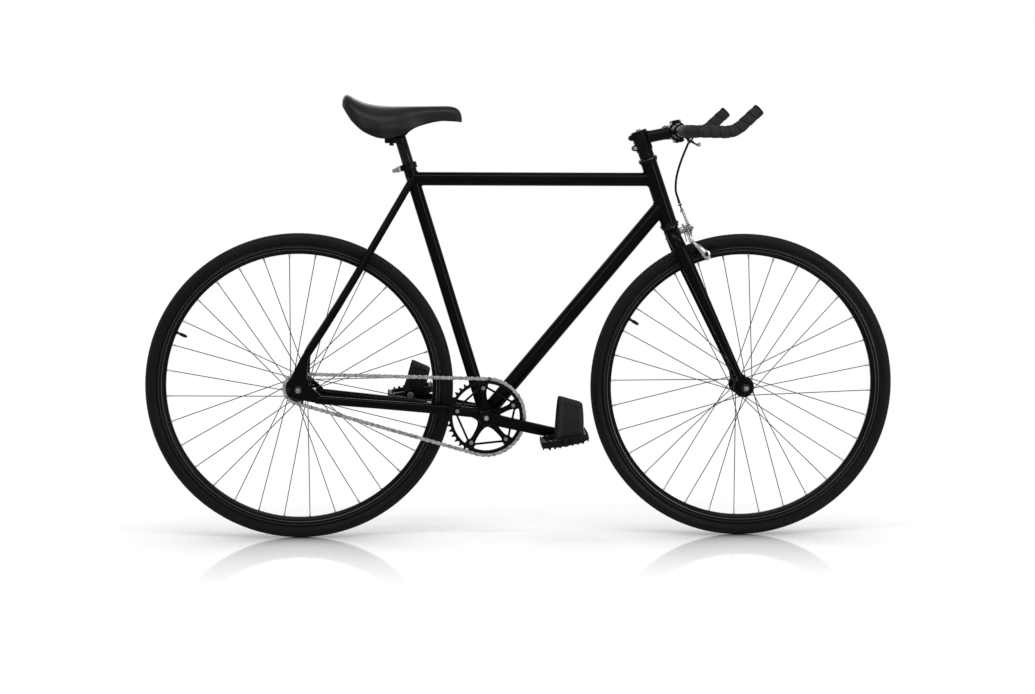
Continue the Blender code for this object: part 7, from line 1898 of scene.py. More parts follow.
def make_hub(name, outline, centre, offset, first_angle, leads):
    """A hub shell from its half section, with the wheel's spokes and nipples."""
    body = f"{name}_wheel_body"
    shell = Shape().turn(outline, centre, LEFT, 72)
    make(f"{name}_hub_shell", shell, "anodised", body, [f"{name}_hub"], centre)
    laced = lace(centre, offset, first_angle, leads)
    for kind, add, suffix in (("spoke", add_spokes, "spokes"), ("steel", add_nipples, "nipples")):
        shape = Shape()
        add(shape, laced)
        make(f"{name}_{suffix}", shape, kind, body, (), centre)


def make_front_hub():
    """The front hub shell with its two flanges, the spokes and the nipples."""
    offset, thick = FRONT_FLANGE_OFFSET, FLANGE_THICKNESS / 2.0
    lip = HUB_LIP
    right = [(-FRONT_HUB_HALF, HUB_BORE_RADIUS), (-FRONT_HUB_HALF, HUB_END_RADIUS - lip),
             (-FRONT_HUB_HALF + lip, HUB_END_RADIUS),
             (-offset - thick - 0.0010, HUB_BARREL_RADIUS - 0.0004),
             (-offset - thick, HUB_BARREL_RADIUS + 0.0006),
             *lipped(-offset - thick, -offset + thick, FLANGE_RADIUS, lip),
             (-offset + thick, HUB_BARREL_RADIUS + 0.0012),
             (-offset + thick + 0.0012, HUB_BARREL_RADIUS),
             (-offset + 0.012, HUB_BARREL_RADIUS - 0.0010)]
    left = [(-along, radius) for along, radius in reversed(right)]
    make_hub("front", right + left, FRONT_AXLE, offset, FRONT_SPOKE_ANGLE, (-1.0, -1.0))


def make_rear_hub():
    """The rear hub shell, threaded on the right for the cog and its lockring, with its spokes."""
    offset, thick = REAR_FLANGE_OFFSET, FLANGE_THICKNESS / 2.0
    outer, inner = -CHAIN_LINE - TOOTH_THICKNESS / 2.0, -CHAIN_LINE + TOOTH_THICKNESS / 2.0
    barrel = HUB_BARREL_RADIUS + 0.002
    shoulder = 0.0195
    outline = [
        (-REAR_HUB_HALF, HUB_BORE_RADIUS), (-REAR_HUB_HALF, LOCKRING_SEAT_RADIUS),
        (outer - GAP, LOCKRING_SEAT_RADIUS), (outer - GAP, COG_SEAT_RADIUS),
        (inner + GAP, COG_SEAT_RADIUS), (inner + GAP, shoulder), (-offset - thick, shoulder),
        *lipped(-offset - thick, -offset + thick, FLANGE_RADIUS, HUB_LIP),
        (-offset + thick, barrel + 0.001), (-offset + thick + 0.0012, barrel),
        (-offset + 0.014, barrel - 0.0012), (offset - 0.014, barrel - 0.0012),
        (offset - thick - 0.0012, barrel), (offset - thick, barrel + 0.001),
        *lipped(offset - thick, offset + thick, FLANGE_RADIUS, HUB_LIP),
        (offset + thick, HUB_BARREL_RADIUS), (REAR_HUB_HALF, HUB_END_RADIUS),
        (REAR_HUB_HALF, HUB_BORE_RADIUS),
    ]
    make_hub("rear", outline, REAR_AXLE, offset, REAR_SPOKE_ANGLE, (1.0, -1.0))


def make_axle(name, centre, radius, hub_half, over_locknut, tip, body):
    """The axle with its cones, locknuts, washers and hexagonal outer nuts."""
    inner = over_locknut / 2.0 - GAP
    outer = over_locknut / 2.0 + tip + GAP
    nut = outer + AXLE_NUT_WIDTH
    end = nut + AXLE_END
    cone = HUB_BORE_RADIUS - GAP
    rod = Shape().rod(centre - LEFT * end, centre + LEFT * end, radius, 0.0008, 32)
    steel = Shape()
    for sign in (-1.0, 1.0):
        out = LEFT * sign
        steel.turn([(hub_half - 0.006, radius), (hub_half - 0.006, cone), (inner - 0.0045, cone),
                    (inner - 0.0045, radius)], centre, out, 40)
        steel.hexagon(centre + out * (inner - 0.0042), out, cone, 0.0042)
        steel.turn([(outer, radius), (outer, AXLE_NUT_RADIUS), (outer + 0.0014, AXLE_NUT_RADIUS),
                    (outer + 0.0016, AXLE_NUT_RADIUS - 0.0005), (outer + 0.0016, radius)], centre, out, 48)
        steel.hexagon(centre + out * (outer + 0.0017), out, AXLE_NUT_RADIUS - 0.0003,
                      AXLE_NUT_WIDTH - 0.0017)
        for step in range(5):
            start = nut + 0.0006 + 0.0011 * step
            rod.turn([(start, radius - 0.0001), (start + 0.00035, radius + 0.00025),
                      (start + 0.0007, radius - 0.0001)], centre, out, 32)
        rod.turn([(end - 0.0002, 0.0), (end - 0.0002, radius * 0.45), (end + 0.0001, radius * 0.4),
                  (end + 0.0001, 0.0)], centre, out, 24)
    make(f"{name}_axle_rod", rod, "grey_steel", body, [f"{name}_axle"])
    make(f"{name}_axle_nuts", steel, "dark_steel", body)


def tooth_outline(radius, teeth, phase):
    """A toothed wheel's outline, with a roller seat at the phase angle and softly pointed teeth."""
    outline = []
    seat = 0.0040
    for tooth in range(teeth):
        middle = phase + 2.0 * math.pi * tooth / teeth
        for degrees in (-62.0, -38.0, -13.0, 13.0, 38.0, 62.0):
            turn = math.radians(degrees)
            reach = radius - seat * math.cos(turn)
            shift = seat * math.sin(turn) / radius
            outline.append((reach * math.cos(middle + shift), reach * math.sin(middle + shift)))
        for lift, share in ((0.0012, 0.36), (0.0030, 0.455), (0.0034, 0.5), (0.0030, 0.545), (0.0012, 0.64)):
            shift = 2.0 * math.pi / teeth * share
            reach = radius + lift
            outline.append((reach * math.cos(middle + shift), reach * math.sin(middle + shift)))
    return outline


def drive_direction():
    """The line from the rear axle to the bottom bracket, as an angle."""
    line = BOTTOM_BRACKET - REAR_AXLE
    return math.atan2(line.z, line.x)


def make_rear_cog():
    """The fixed cog and its notched lockring."""
    phase = drive_direction() + math.pi - COG_SPAN
    outer = -CHAIN_LINE - TOOTH_THICKNESS / 2.0
    cog = Shape().slab([tooth_outline(COG_RADIUS, COG_TEETH, phase), circle(COG_SEAT_RADIUS + GAP, 48)],
                       REAR_AXLE + LEFT * (outer + TOOTH_THICKNESS), LEVEL, UPRIGHT, TOOTH_THICKNESS, 0.0005)
    make("cog_teeth", cog, "dark_steel", "rear_wheel_body", ["rear_cog"], REAR_AXLE)
    outline = []
    for notch in range(8):
        for degrees, radius in ((0.0, 0.0190), (9.0, 0.0190), (10.0, LOCKRING_RADIUS),
                                (27.0, LOCKRING_RADIUS), (44.0, LOCKRING_RADIUS)):
            outline.append(on_angle(45.0 * notch + degrees, radius))
    ring = Shape().slab([outline, circle(LOCKRING_SEAT_RADIUS + GAP, 40)],
                        REAR_AXLE + LEFT * (outer - 2.0 * GAP), LEVEL, UPRIGHT, LOCKRING_WIDTH, 0.0004)
    make("lockring_notched", ring, "dark_steel", "rear_wheel_body", ["rear_lockring"], REAR_AXLE)


def spider_angles():
    """The five arms of the spider; one lies straight behind the crank."""
    return [CRANK_ANGLE + 180.0 + ARM_PITCH * index for index in range(5)]


def on_angle(degrees, radius):
    turn = math.radians(degrees)
    return radius * math.cos(turn), radius * math.sin(turn)


def make_chainring():
    """The toothed ring with its windows, and the five bolts that hold it."""
    phase = drive_direction() + RING_SPAN
    loops = [tooth_outline(RING_RADIUS, RING_TEETH, phase)]
    hole = []
    for degrees in spider_angles():
        following = degrees + ARM_PITCH
        window = arc_points((0.0, 0.0), RING_INNER_RADIUS, degrees + 9.0, following - 9.0, 16)
        low = BOLT_CIRCLE_RADIUS + 0.002
        window += [on_angle(following - 9.0, low), on_angle(degrees + 9.0, low)]
        loops.append(rounded(window, 0.0022, 3))
        hole += arc_points(on_angle(degrees, BOLT_CIRCLE_RADIUS), RING_TAB_RADIUS, degrees + 250.0,
                           degrees + 110.0, 10)
    loops.append(hole)
    origin = BOTTOM_BRACKET + RIGHT * (CHAIN_LINE - TOOTH_THICKNESS / 2.0)
    ring = Shape().slab(loops, origin, LEVEL, UPRIGHT, TOOTH_THICKNESS, 0.0006)
    make("ring_teeth", ring, "anodised", "crankset_body", ["chainring"], BOTTOM_BRACKET)
    bolts = Shape()
    outer = CHAIN_LINE + TOOTH_THICKNESS / 2.0 + GAP + SPIDER_THICKNESS
    inner = CHAIN_LINE - TOOTH_THICKNESS / 2.0
    for degrees in spider_angles():
        x, z = on_angle(degrees, BOLT_CIRCLE_RADIUS)
        middle = BOTTOM_BRACKET + Vector((x, 0.0, z))
        bolts.hexagon(middle + RIGHT * outer, RIGHT, 0.0044, 0.0014, 0.0024)
        bolts.hexagon(middle + RIGHT * inner, LEFT, 0.0044, 0.0010, 0.0024)
    make("ring_bolts", bolts, "grey_steel", "crankset_body", (), BOTTOM_BRACKET)


def crank_outline(grow):
    """The crank's side outline, from the boss to the pedal eye, grown or shrunk a little."""
    boss, eye = CRANK_BOSS_RADIUS + grow, CRANK_EYE_RADIUS + grow
    root, tip = CRANK_ARM_HALF + grow, CRANK_END_HALF + grow
    outline = arc_points((0.0, 0.0), boss, 52.0, 308.0, 30)
    outline += [(0.022, -root - 0.0007), (0.036, -root)]
    outline += [(0.060 + 0.02 * step, -root + (root - tip) * step / 5.0) for step in range(5)]
    outline += arc_points((CRANK_LENGTH, 0.0), eye, -120.0, 120.0, 24)
    outline += [(0.140 - 0.02 * step, tip + (root - tip) * (step + 1) / 6.0) for step in range(5)]
    outline += [(0.036, root), (0.022, root + 0.0007)]
    return outline


def make_crank(side, name, direction):
    """A crank arm with softened edges that flares outwards, its boss, pocket and pedal spindle."""
    up = Vector((-direction.z, 0.0, direction.x))
    out = LEFT * side
    levels = ((0.0, -0.0012), (0.0009, 0.0), (CRANK_THICKNESS - 0.0036, 0.0),
              (CRANK_THICKNESS - 0.0016, -0.0006), (CRANK_THICKNESS - 0.0005, -0.0016),
              (CRANK_THICKNESS, -0.0030))
    rings = []
    for depth, grow in levels:
        ring = []
        for x, y in crank_outline(grow):
            flare = CRANK_FLARE * min(max(x, 0.0), CRANK_LENGTH) / CRANK_LENGTH
            ring.append(BOTTOM_BRACKET + direction * x + up * y + out * (CRANK_INNER_FACE + depth + flare))
        rings.append(ring)
    arm = Shape().skin(rings)
    arm.rod(BOTTOM_BRACKET + out * (CRANK_INNER_FACE - 0.010),
            BOTTOM_BRACKET + out * (CRANK_INNER_FACE + 0.004), CRANK_BOSS_RADIUS - 0.001, 0.0008, 64)
    piece = make(f"{name}_crank_forging", arm, "paint", "crankset_body", [f"{name}_crank"],
                 BOTTOM_BRACKET)
    face = CRANK_INNER_FACE + CRANK_THICKNESS
    pocket = Shape().rod(BOTTOM_BRACKET + out * (face - 0.0055), BOTTOM_BRACKET + out * (face + 0.010),
                         0.0100, 0.0, 64)
    square = SPINDLE_SQUARE + 2.0 * GAP
    hole = Shape().block(BOTTOM_BRACKET + out * CRANK_INNER_FACE, direction, up,
                         (square, square, 0.060), 0.0002)
    carve(piece, pocket, hole)
    eye = BOTTOM_BRACKET + direction * CRANK_LENGTH
    eye_face = CRANK_EYE_FACE
    spindle = Shape()
    spindle.turn([(eye_face - 0.0140, 0.0), (eye_face - 0.0140, 0.0064), (eye_face - 0.0136, 0.0068),
                  (eye_face + 0.0002, PEDAL_THREAD_RADIUS), (eye_face + 0.0045, PEDAL_THREAD_RADIUS),
                  (eye_face + 0.006, PEDAL_SPINDLE_RADIUS), (eye_face + 0.0880, PEDAL_SPINDLE_RADIUS),
                  (eye_face + 0.0880, 0.0)], eye, out, 32)
    spindle.hexagon(eye + out * (eye_face + 0.0006), out, 0.0086, 0.0036)
    make(f"{name}_pedal_spindle", spindle, "steel", "crankset_body", (), BOTTOM_BRACKET)


def make_spider():
    """Five tapering arms that carry the ring, with curved webs between them."""
    web = [(6.4, 0.052), (8.0, 0.042), (11.5, 0.033), (18.0, 0.0262), (27.0, 0.0225)]
    web += [(36.0, 0.0215)] + [(ARM_PITCH - ahead, reach) for ahead, reach in reversed(web)]
    outline = []
    for degrees in spider_angles():
        outline += arc_points(on_angle(degrees, BOLT_CIRCLE_RADIUS), SPIDER_TIP_RADIUS, degrees - 110.0,
                              degrees + 110.0, 16)
        outline += [on_angle(degrees + ahead, reach) for ahead, reach in web]
    inner = CHAIN_LINE + TOOTH_THICKNESS / 2.0 + GAP
    star = Shape().slab([outline, circle(0.0092, 40)], BOTTOM_BRACKET + RIGHT * inner, LEVEL, UPRIGHT,
                        SPIDER_THICKNESS, 0.0009)
    make("spider_star", star, "paint", "crankset_body", (), BOTTOM_BRACKET)


def make_crank_spindle():
    """The square taper spindle with its crank bolts."""
    reach = CRANK_INNER_FACE + CRANK_THICKNESS - 0.0055 + GAP
    start = SHELL_WIDTH / 2.0 + 0.0040
    side_way = Vector((-CRANK_DIRECTION.z, 0.0, CRANK_DIRECTION.x))
    steel = Shape().rod(BOTTOM_BRACKET - LEFT * start, BOTTOM_BRACKET + LEFT * start, SPINDLE_RADIUS,
                        0.0005, 40)
    washers = Shape()
    heads = Shape()
    for side in (-1.0, 1.0):
        out = LEFT * side
        middle = BOTTOM_BRACKET + out * (start + reach - 0.001) / 2.0
        steel.block(middle, CRANK_DIRECTION, side_way,
                    (SPINDLE_SQUARE, SPINDLE_SQUARE, reach - start + 0.001), 0.0006)
        head = BOTTOM_BRACKET + out * reach
        washers.turn([(-0.0006, 0.0), (-0.0006, 0.0088), (0.0008, 0.0088), (0.0010, 0.0082), (0.0010, 0.0)],
                     head, out, 40)
        heads.hexagon(head + out * 0.0010, out, CRANK_BOLT_RADIUS * 0.74, 0.0044)
    make("square_taper_spindle", steel, "grey_steel", "crankset_body", ["crank_spindle"], BOTTOM_BRACKET)
    make("crank_bolt_washers", washers, "dark_steel", "crankset_body", (), BOTTOM_BRACKET)
    make("crank_bolt_heads", heads, "steel", "crankset_body", (), BOTTOM_BRACKET)
    half = SHELL_WIDTH / 2.0
    outer = SHELL_BORE / 2.0 - 2.0 * GAP
    bore = SPINDLE_RADIUS + GAP
    right = [(-half - 0.0025, bore), (-half - 0.0025, outer + 0.0014), (-half - 0.0019, outer + 0.002),
             (-half - GAP, outer + 0.002), (-half - GAP, outer)]
    outline = right + [(-along, radius) for along, radius in reversed(right)]
    make("bracket_cartridge_turned", Shape().turn(outline, BOTTOM_BRACKET, LEFT, 64), "anodised",
         "frame_body", ["bottom_bracket_cartridge"])


def chain_pins():
    """Every pin of the chain in order, as points in the plane of the drive."""
    angle = drive_direction()
    along = Vector((math.cos(angle), 0.0, math.sin(angle)))
    across = Vector((-math.sin(angle), 0.0, math.cos(angle)))

    def on_circle(centre, radius, turn):
        return centre + along * radius * math.cos(turn) + across * radius * math.sin(turn)

    pins = []
    for index in range(RING_WRAP + 1):
        turn = RING_SPAN - 2.0 * math.pi * index / RING_TEETH
        pins.append(on_circle(BOTTOM_BRACKET, RING_RADIUS, turn))
    cog_pins = []
    for index in range(COG_WRAP + 1):
        turn = -(math.pi - COG_SPAN) - 2.0 * math.pi * index / COG_TEETH
        cog_pins.append(on_circle(REAR_AXLE, COG_RADIUS, turn))
    low_start = pins[-1]
    pins += [low_start.lerp(cog_pins[0], index / RUN_LINKS) for index in range(1, RUN_LINKS)]
    pins += cog_pins
    pins += [cog_pins[-1].lerp(pins[0], index / RUN_LINKS) for index in range(1, RUN_LINKS)]
    return pins


def link_outline(pitch):
    """A chain plate's figure-of-eight outline, along the line between its two pins."""
    end, waist = 0.0042, 0.0030
    outline = arc_points((pitch, 0.0), end, -125.0, 125.0, 10)
    outline.append((pitch / 2.0, waist))
    outline += arc_points((0.0, 0.0), end, 55.0, 305.0, 10)
    outline.append((pitch / 2.0, -waist))
    return outline


def make_chain():
    """The roller chain: inner and outer plates by turns, a roller and a riveted pin at each joint."""
    pins = chain_pins()
    count = len(pins)
    shape = Shape()
    base = RIGHT * CHAIN_LINE
    outer_face = INNER_PLATE_FACE + 2.0 * PLATE_THICKNESS
    for index, pin in enumerate(pins):
        after = pins[(index + 1) % count]
        heading = (after - pin).normalized()
        up = Vector((-heading.z, 0.0, heading.x))
        pitch = (after - pin).length
        inner = INNER_PLATE_FACE + (PLATE_THICKNESS if index % 2 else 0.0)
        for side in (-1.0, 1.0):
            face = inner if side > 0 else -inner - PLATE_THICKNESS
            origin = pin + base + LEFT * (face + PLATE_THICKNESS)
            shape.slab([link_outline(pitch)], origin, heading, up, PLATE_THICKNESS, 0.0003)
        roller = pin + base
        shape.turn([(-INNER_PLATE_FACE, 0.0), (-INNER_PLATE_FACE, 0.0037), (INNER_PLATE_FACE, 0.0037),
                    (INNER_PLATE_FACE, 0.0)], roller, LEFT, 16)
        reach = LEFT * (outer_face + 0.0004)
        shape.rod(roller - reach, roller + reach, 0.0018, 0.0003, 12)
    make("chain_links", shape, "chain", "frame_body", ["chain"])


def pedal_point(side, forward, out, up):
    """A point measured from the crank's eye, in the pedal's own tilted directions."""
    direction = CRANK_DIRECTION if side < 0.0 else -CRANK_DIRECTION
    eye = BOTTOM_BRACKET + direction * CRANK_LENGTH
    return eye + PEDAL_FORWARD * forward + LEFT * side * out + PEDAL_UP * up


def serrated_plate(shape, corner, along, length, half, normal=None):
    """A thin cage plate with a row of grip teeth along its top and bottom edges."""
    teeth = max(int(length / 0.0090), 3)
    step = length / teeth
    outline = []
    for index in range(teeth):
        base = index * step
        outline += [(base + step * 0.06, half - 0.0058), (base + step * 0.28, half),
                    (base + step * 0.52, half), (base + step * 0.74, half - 0.0058)]
    outline += [(x, -y) for x, y in reversed(outline)]
    normal = normal or PEDAL_FORWARD
    up = PEDAL_UP if along.cross(PEDAL_UP).dot(normal) > 0.0 else -PEDAL_UP
    shape.slab([outline], corner, along, up, 0.0022, 0.0004)


def make_pedal(side, name):
    """A platform pedal: toothed cage, two windows, barrel, end cap and screws."""
    start = PEDAL_START
    half = PEDAL_LENGTH / 2.0
    corner, wide, bar = 0.012, PEDAL_WIDTH, PEDAL_FRAME_WIDTH
    outline = [(-half, corner), (-half + corner, 0.0), (half - corner, 0.0), (half, corner),
               (half, wide - corner), (half - corner, wide), (-half + corner, wide), (-half, wide - corner)]
    loops = [rounded(outline, 0.008, 4)]
    for sign in (-1.0, 1.0):
        near = sign * (PEDAL_BARREL_RADIUS - 0.001)
        far = sign * (half - bar)
        window = [(near, bar), (far, bar + 0.004), (far, wide - bar - 0.004), (near, wide - bar)]
        loops.append(rounded(window, 0.004, 4))
    low = PEDAL_HALF_THICKNESS
    body = f"{name}_pedal_body"
    centre = pedal_point(side, 0.0, 0.0, 0.0)
    cage = Shape().slab(loops, pedal_point(side, 0.0, start, -side * (low - 0.0012)), PEDAL_FORWARD,
                        LEFT * side, 2.0 * low - 0.0024, 0.0014)
    for sign in (-1.0, 1.0):
        serrated_plate(cage, pedal_point(side, sign * (half - 0.0028) - 0.0011, start + 0.012, 0.0),
                       LEFT * side, wide - 0.024, low + 0.0030)
        serrated_plate(cage, pedal_point(side, sign * 0.0250 - 0.016, start + wide - 0.0030, 0.0),
                       PEDAL_FORWARD, 0.034, low + 0.0030, LEFT * side)
    barrel, bore = PEDAL_BARREL_RADIUS, PEDAL_SPINDLE_RADIUS + GAP
    outline = [(0.0, bore), (0.0, 0.0098), (0.0012, 0.0112), (0.004, barrel), (0.018, barrel),
               (0.022, 0.0104), (wide - 0.024, 0.0104), (wide - 0.020, barrel), (wide - 0.003, barrel),
               (wide, 0.0100), (wide, 0.0), (wide - 0.0085, 0.0), (wide - 0.0085, bore)]
    cage.turn(outline, pedal_point(side, 0.0, start, 0.0), LEFT * side, 48)
    make(f"{name}_pedal_cage", cage, "plastic", body, [f"{name}_pedal"], centre)
    screws = Shape()
    for sign in (-1.0, 1.0):
        for out in (start + 0.010, start + wide - 0.010):
            place = pedal_point(side, sign * (half - 0.017), out, low - 0.0013)
            screws.hexagon(place, PEDAL_UP, 0.0028, 0.0012, 0.0013)
    make(f"{name}_pedal_screws", screws, "grey_steel", body, (), centre)
    plug = Shape().turn([(-0.0010, 0.0), (-0.0010, 0.0078), (0.0004, 0.0078), (0.0008, 0.0070),
                         (0.0008, 0.0048), (0.0002, 0.0044), (0.0002, 0.0)],
                        pedal_point(side, 0.0, start + wide, 0.0), LEFT * side, 32)
    make(f"{name}_pedal_dust_cap", plug, "plastic", body, (), centre)


def strap_line(height):
    """The strap's middle line over the foot, as (outward, upward) points in the pedal's directions."""
    inner_edge = PEDAL_START - 2.0 * GAP
    outer_edge = PEDAL_START + PEDAL_WIDTH + 2.0 * GAP
    inner_slot = PEDAL_START + PEDAL_FRAME_WIDTH + 0.0020
    outer_slot = PEDAL_START + PEDAL_WIDTH - PEDAL_FRAME_WIDTH - 0.0020
    middle = (inner_edge + outer_edge) / 2.0
    reach = (outer_edge - inner_edge) / 2.0
    under = -PEDAL_HALF_THICKNESS - 0.0015
    line = [(middle, under), (inner_slot + 0.004, under), (inner_slot + 0.001, under + 0.0012),
            (inner_slot, under + 0.004), (inner_slot, PEDAL_HALF_THICKNESS * 0.7)]
    for step in range(3, 38):
        turn = math.pi * (1.0 - step / 40)
        lift = max(math.sin(turn), 0.0) ** 0.55
        line.append((middle + reach * math.cos(turn),
                     PEDAL_HALF_THICKNESS + (height - PEDAL_HALF_THICKNESS) * lift))
    line += [(outer_slot, PEDAL_HALF_THICKNESS * 0.7), (outer_slot, under + 0.004),
             (outer_slot - 0.001, under + 0.0012), (outer_slot - 0.004, under), (middle, under)]
    return line


def add_strap_layer(shape, side, height, edges, line, lift, thickness, span=(0.0, 1.0)):
    """One layer of webbing along the line, with rounded edges and its lay for the weave."""
    low_edge, high_edge = edges
    outline = [(step / STRAP_STEPS, 0.0) for step in range(STRAP_STEPS + 1)]
    outline += [(across, 1.0) for across, _ in reversed(outline)]
    rings = []
    lays = []
    travelled = 0.0
    for index, (out, up) in enumerate(line):
        before = line[max(index - 1, 0)]
        after = line[min(index + 1, len(line) - 1)]
        heading = Vector((after[0] - before[0], after[1] - before[1])).normalized()
        normal = Vector((-heading.y, heading.x))
        if index:
            travelled += math.hypot(out - line[index - 1][0], up - line[index - 1][1])
        share = max(up, 0.0) / height
        forward_low = low_edge[0] + (low_edge[1] - low_edge[0]) * share
        forward_high = high_edge[0] + (high_edge[1] - high_edge[0]) * share
        rise_low = 1.0 + low_edge[2] * share
        rise_high = 1.0 + high_edge[2] * share
        ring = []
        for across, layer in outline:
            taper = 1.0 - 0.35 * (abs(across * 2.0 - 1.0) ** 8)
            deep = lift + thickness * (0.5 + (layer - 0.5) * taper)
            spread = span[0] + (span[1] - span[0]) * across
            forward = forward_low + (forward_high - forward_low) * spread
            rise = up * (rise_low + (rise_high - rise_low) * spread)
            ring.append(pedal_point(side, forward, out + normal.x * deep, rise + normal.y * deep))
            seam = 1.0 if min(abs(across - 0.1), abs(across - 0.9)) < 0.051 and layer == 1.0 else 0.0
            lays.append((travelled, across * 0.05, seam))
        rings.append(ring)
    start = len(shape.points)
    shape.skin(rings)
    for index, value in enumerate(lays):
        shape.lay[start + index] = value


def make_strap(side, name, height, edges):
    """A wide webbing strap over the pedal and its overlapping flap, with lines of stitching along its edges.
    """
    line = strap_line(height)
    body = f"{name}_pedal_body"
    shape = Shape()
    add_strap_layer(shape, side, height, edges, line, 0.0, STRAP_THICKNESS * 0.8)
    flap = line[12:32]
    add_strap_layer(shape, side, height, edges, flap, STRAP_THICKNESS * 0.84, STRAP_THICKNESS * 0.5,
                    (0.06, 0.94))
    make(f"{name}_strap_webbing", shape, "webbing", body, [f"{name}_foot_strap"],
         pedal_point(side, 0, 0, 0), 50.0)


def saddle_profile(share):
    """Half width, top height and skirt height of the saddle, from tail (0) to nose (1)."""
    width = ((0.0, 0.30), (0.006, 0.42), (0.02, 0.54), (0.06, 0.72), (0.12, 0.885), (0.18, 0.97),
             (0.25, 0.998), (0.30, 1.0), (0.37, 0.92), (0.44, 0.80), (0.58, 0.50), (0.72, 0.335),
             (0.88, 0.285), (0.96, 0.262), (0.985, 0.225), (1.0, 0.16))
    top = ((0.0, -0.035), (0.006, 0.030), (0.02, 0.092), (0.04, 0.112), (0.07, 0.078), (0.10, 0.022),
           (0.20, -0.099), (0.34, -0.164), (0.50, -0.175), (0.80, -0.166), (0.88, -0.164),
           (0.94, -0.192), (0.975, -0.258), (0.992, -0.345), (1.0, -0.430))
    skirt = ((0.0, -0.187), (0.04, -0.386), (0.09, -0.596), (0.19, -0.848), (0.34, -1.0),
             (0.50, -0.895), (0.62, -0.700), (0.75, -0.556), (0.93, -0.556), (1.0, -0.575))
    return (smooth_row(width, share) * SADDLE_HALF_WIDTH, smooth_row(top, share) * SADDLE_DROP,
            smooth_row(skirt, share) * SADDLE_DROP)


def saddle_section(share, inset, wall, first, steps):
    """One cross section of the saddle: over the crown, then back underneath."""
    half, top, skirt = saddle_profile(share)
    half -= inset
    top -= inset
    centre = SADDLE_ORIGIN + Vector((SADDLE_LENGTH * share - SADDLE_REAR_BEHIND_POST, 0.0,
                                     SADDLE_TOP_ABOVE_POST + SADDLE_CROWN_RISE))
    thin = min(wall, half * 0.45)
    low_top = max(top - wall * 1.2, skirt + 0.004)
    row = list(range(first, steps + 1 - first))
    ring = []
    for width, height, order in ((half, top, row), (half - thin, low_top, reversed(row))):
        for step in order:
            turn = math.pi * step / steps
            sway = math.cos(turn)
            across = math.copysign(abs(sway) ** 0.85, sway)
            rise = max(math.sin(turn), 0.0) ** 0.72
            ring.append(centre + Vector((0.0, width * across, skirt + (height - skirt) * rise)))
    return ring


def make_saddle(shapes):
    """The padded cover, the moulded base and the two rails."""
    shape = Shape()
    shares = [0.0, 0.004, 0.010, 0.018, 0.028, 0.04, 0.055, 0.075, 0.10]
    shares += [0.10 + 0.84 * step / 36 for step in range(1, 37)]
    shares += [0.955, 0.97, 0.982, 0.991, 0.997, 1.0]
    shape.skin([saddle_section(share, 0.0, SADDLE_PADDING, 0, 40) for share in shares])
    cover = make("saddle_cover_vinyl", shape, "vinyl", "seat_post_body", ["saddle_cover"],
                 SADDLE_ORIGIN, 70.0)
    base = Shape()
    shares = [0.06 + 0.86 * step / 28 for step in range(29)]
    base.skin([saddle_section(share, SADDLE_BASE_INSET, SADDLE_BASE_WALL, 6, 32) for share in shares])
    for side in (-1.0, 1.0):
        base.block(saddle_point(-0.423, side * 1.227, 0.8346), LEVEL, LEFT,
                   (0.006, 0.006, SADDLE_TOP_ABOVE_POST * 0.1333), 0.0008)
    base.block(saddle_point(0.3885, 0.0, 0.6593), LEVEL, LEFT,
               (0.014, 0.010, SADDLE_TOP_ABOVE_POST * 0.1136), 0.001)
    make("saddle_base_moulding", base, "plastic", "seat_post_body", ["saddle_base"])
    bed = RAIL_HEIGHT / SADDLE_TOP_ABOVE_POST
    half = [(-0.4231, 1.273, 0.7284), (-0.400, 1.273, 0.6049), (-0.3308, 1.227, 0.4198),
            (-0.2538, 1.068, 0.1852), (RAIL_BED[0] / SADDLE_LENGTH, 1.0, bed), (0.0, 1.0, bed),
            (0.0692, 0.864, 0.2593), (0.1385, 0.636, 0.3827), (0.2692, 0.409, 0.5062),
            (0.3769, 0.295, 0.5531), (0.4077, 0.182, 0.5556)]
    points = [saddle_point(along, -across, up) for along, across, up in half]
    points += [saddle_point(along, across, up) for along, across, up in reversed(half)]
    path = curved_path(points, 5)
    rails = Shape().sweep(path, [RAIL_RADIUS] * len(path), 20, UPRIGHT)
    make("saddle_rail_wire", rails, "anodised", "seat_post_body", ["saddle_rails"])


def saddle_point(along, across, up):
    """A point from the post's head, in shares of the saddle's length, rail spread and height."""
    return SADDLE_ORIGIN + Vector((along * SADDLE_LENGTH, across * RAIL_SPREAD, up * SADDLE_TOP_ABOVE_POST))


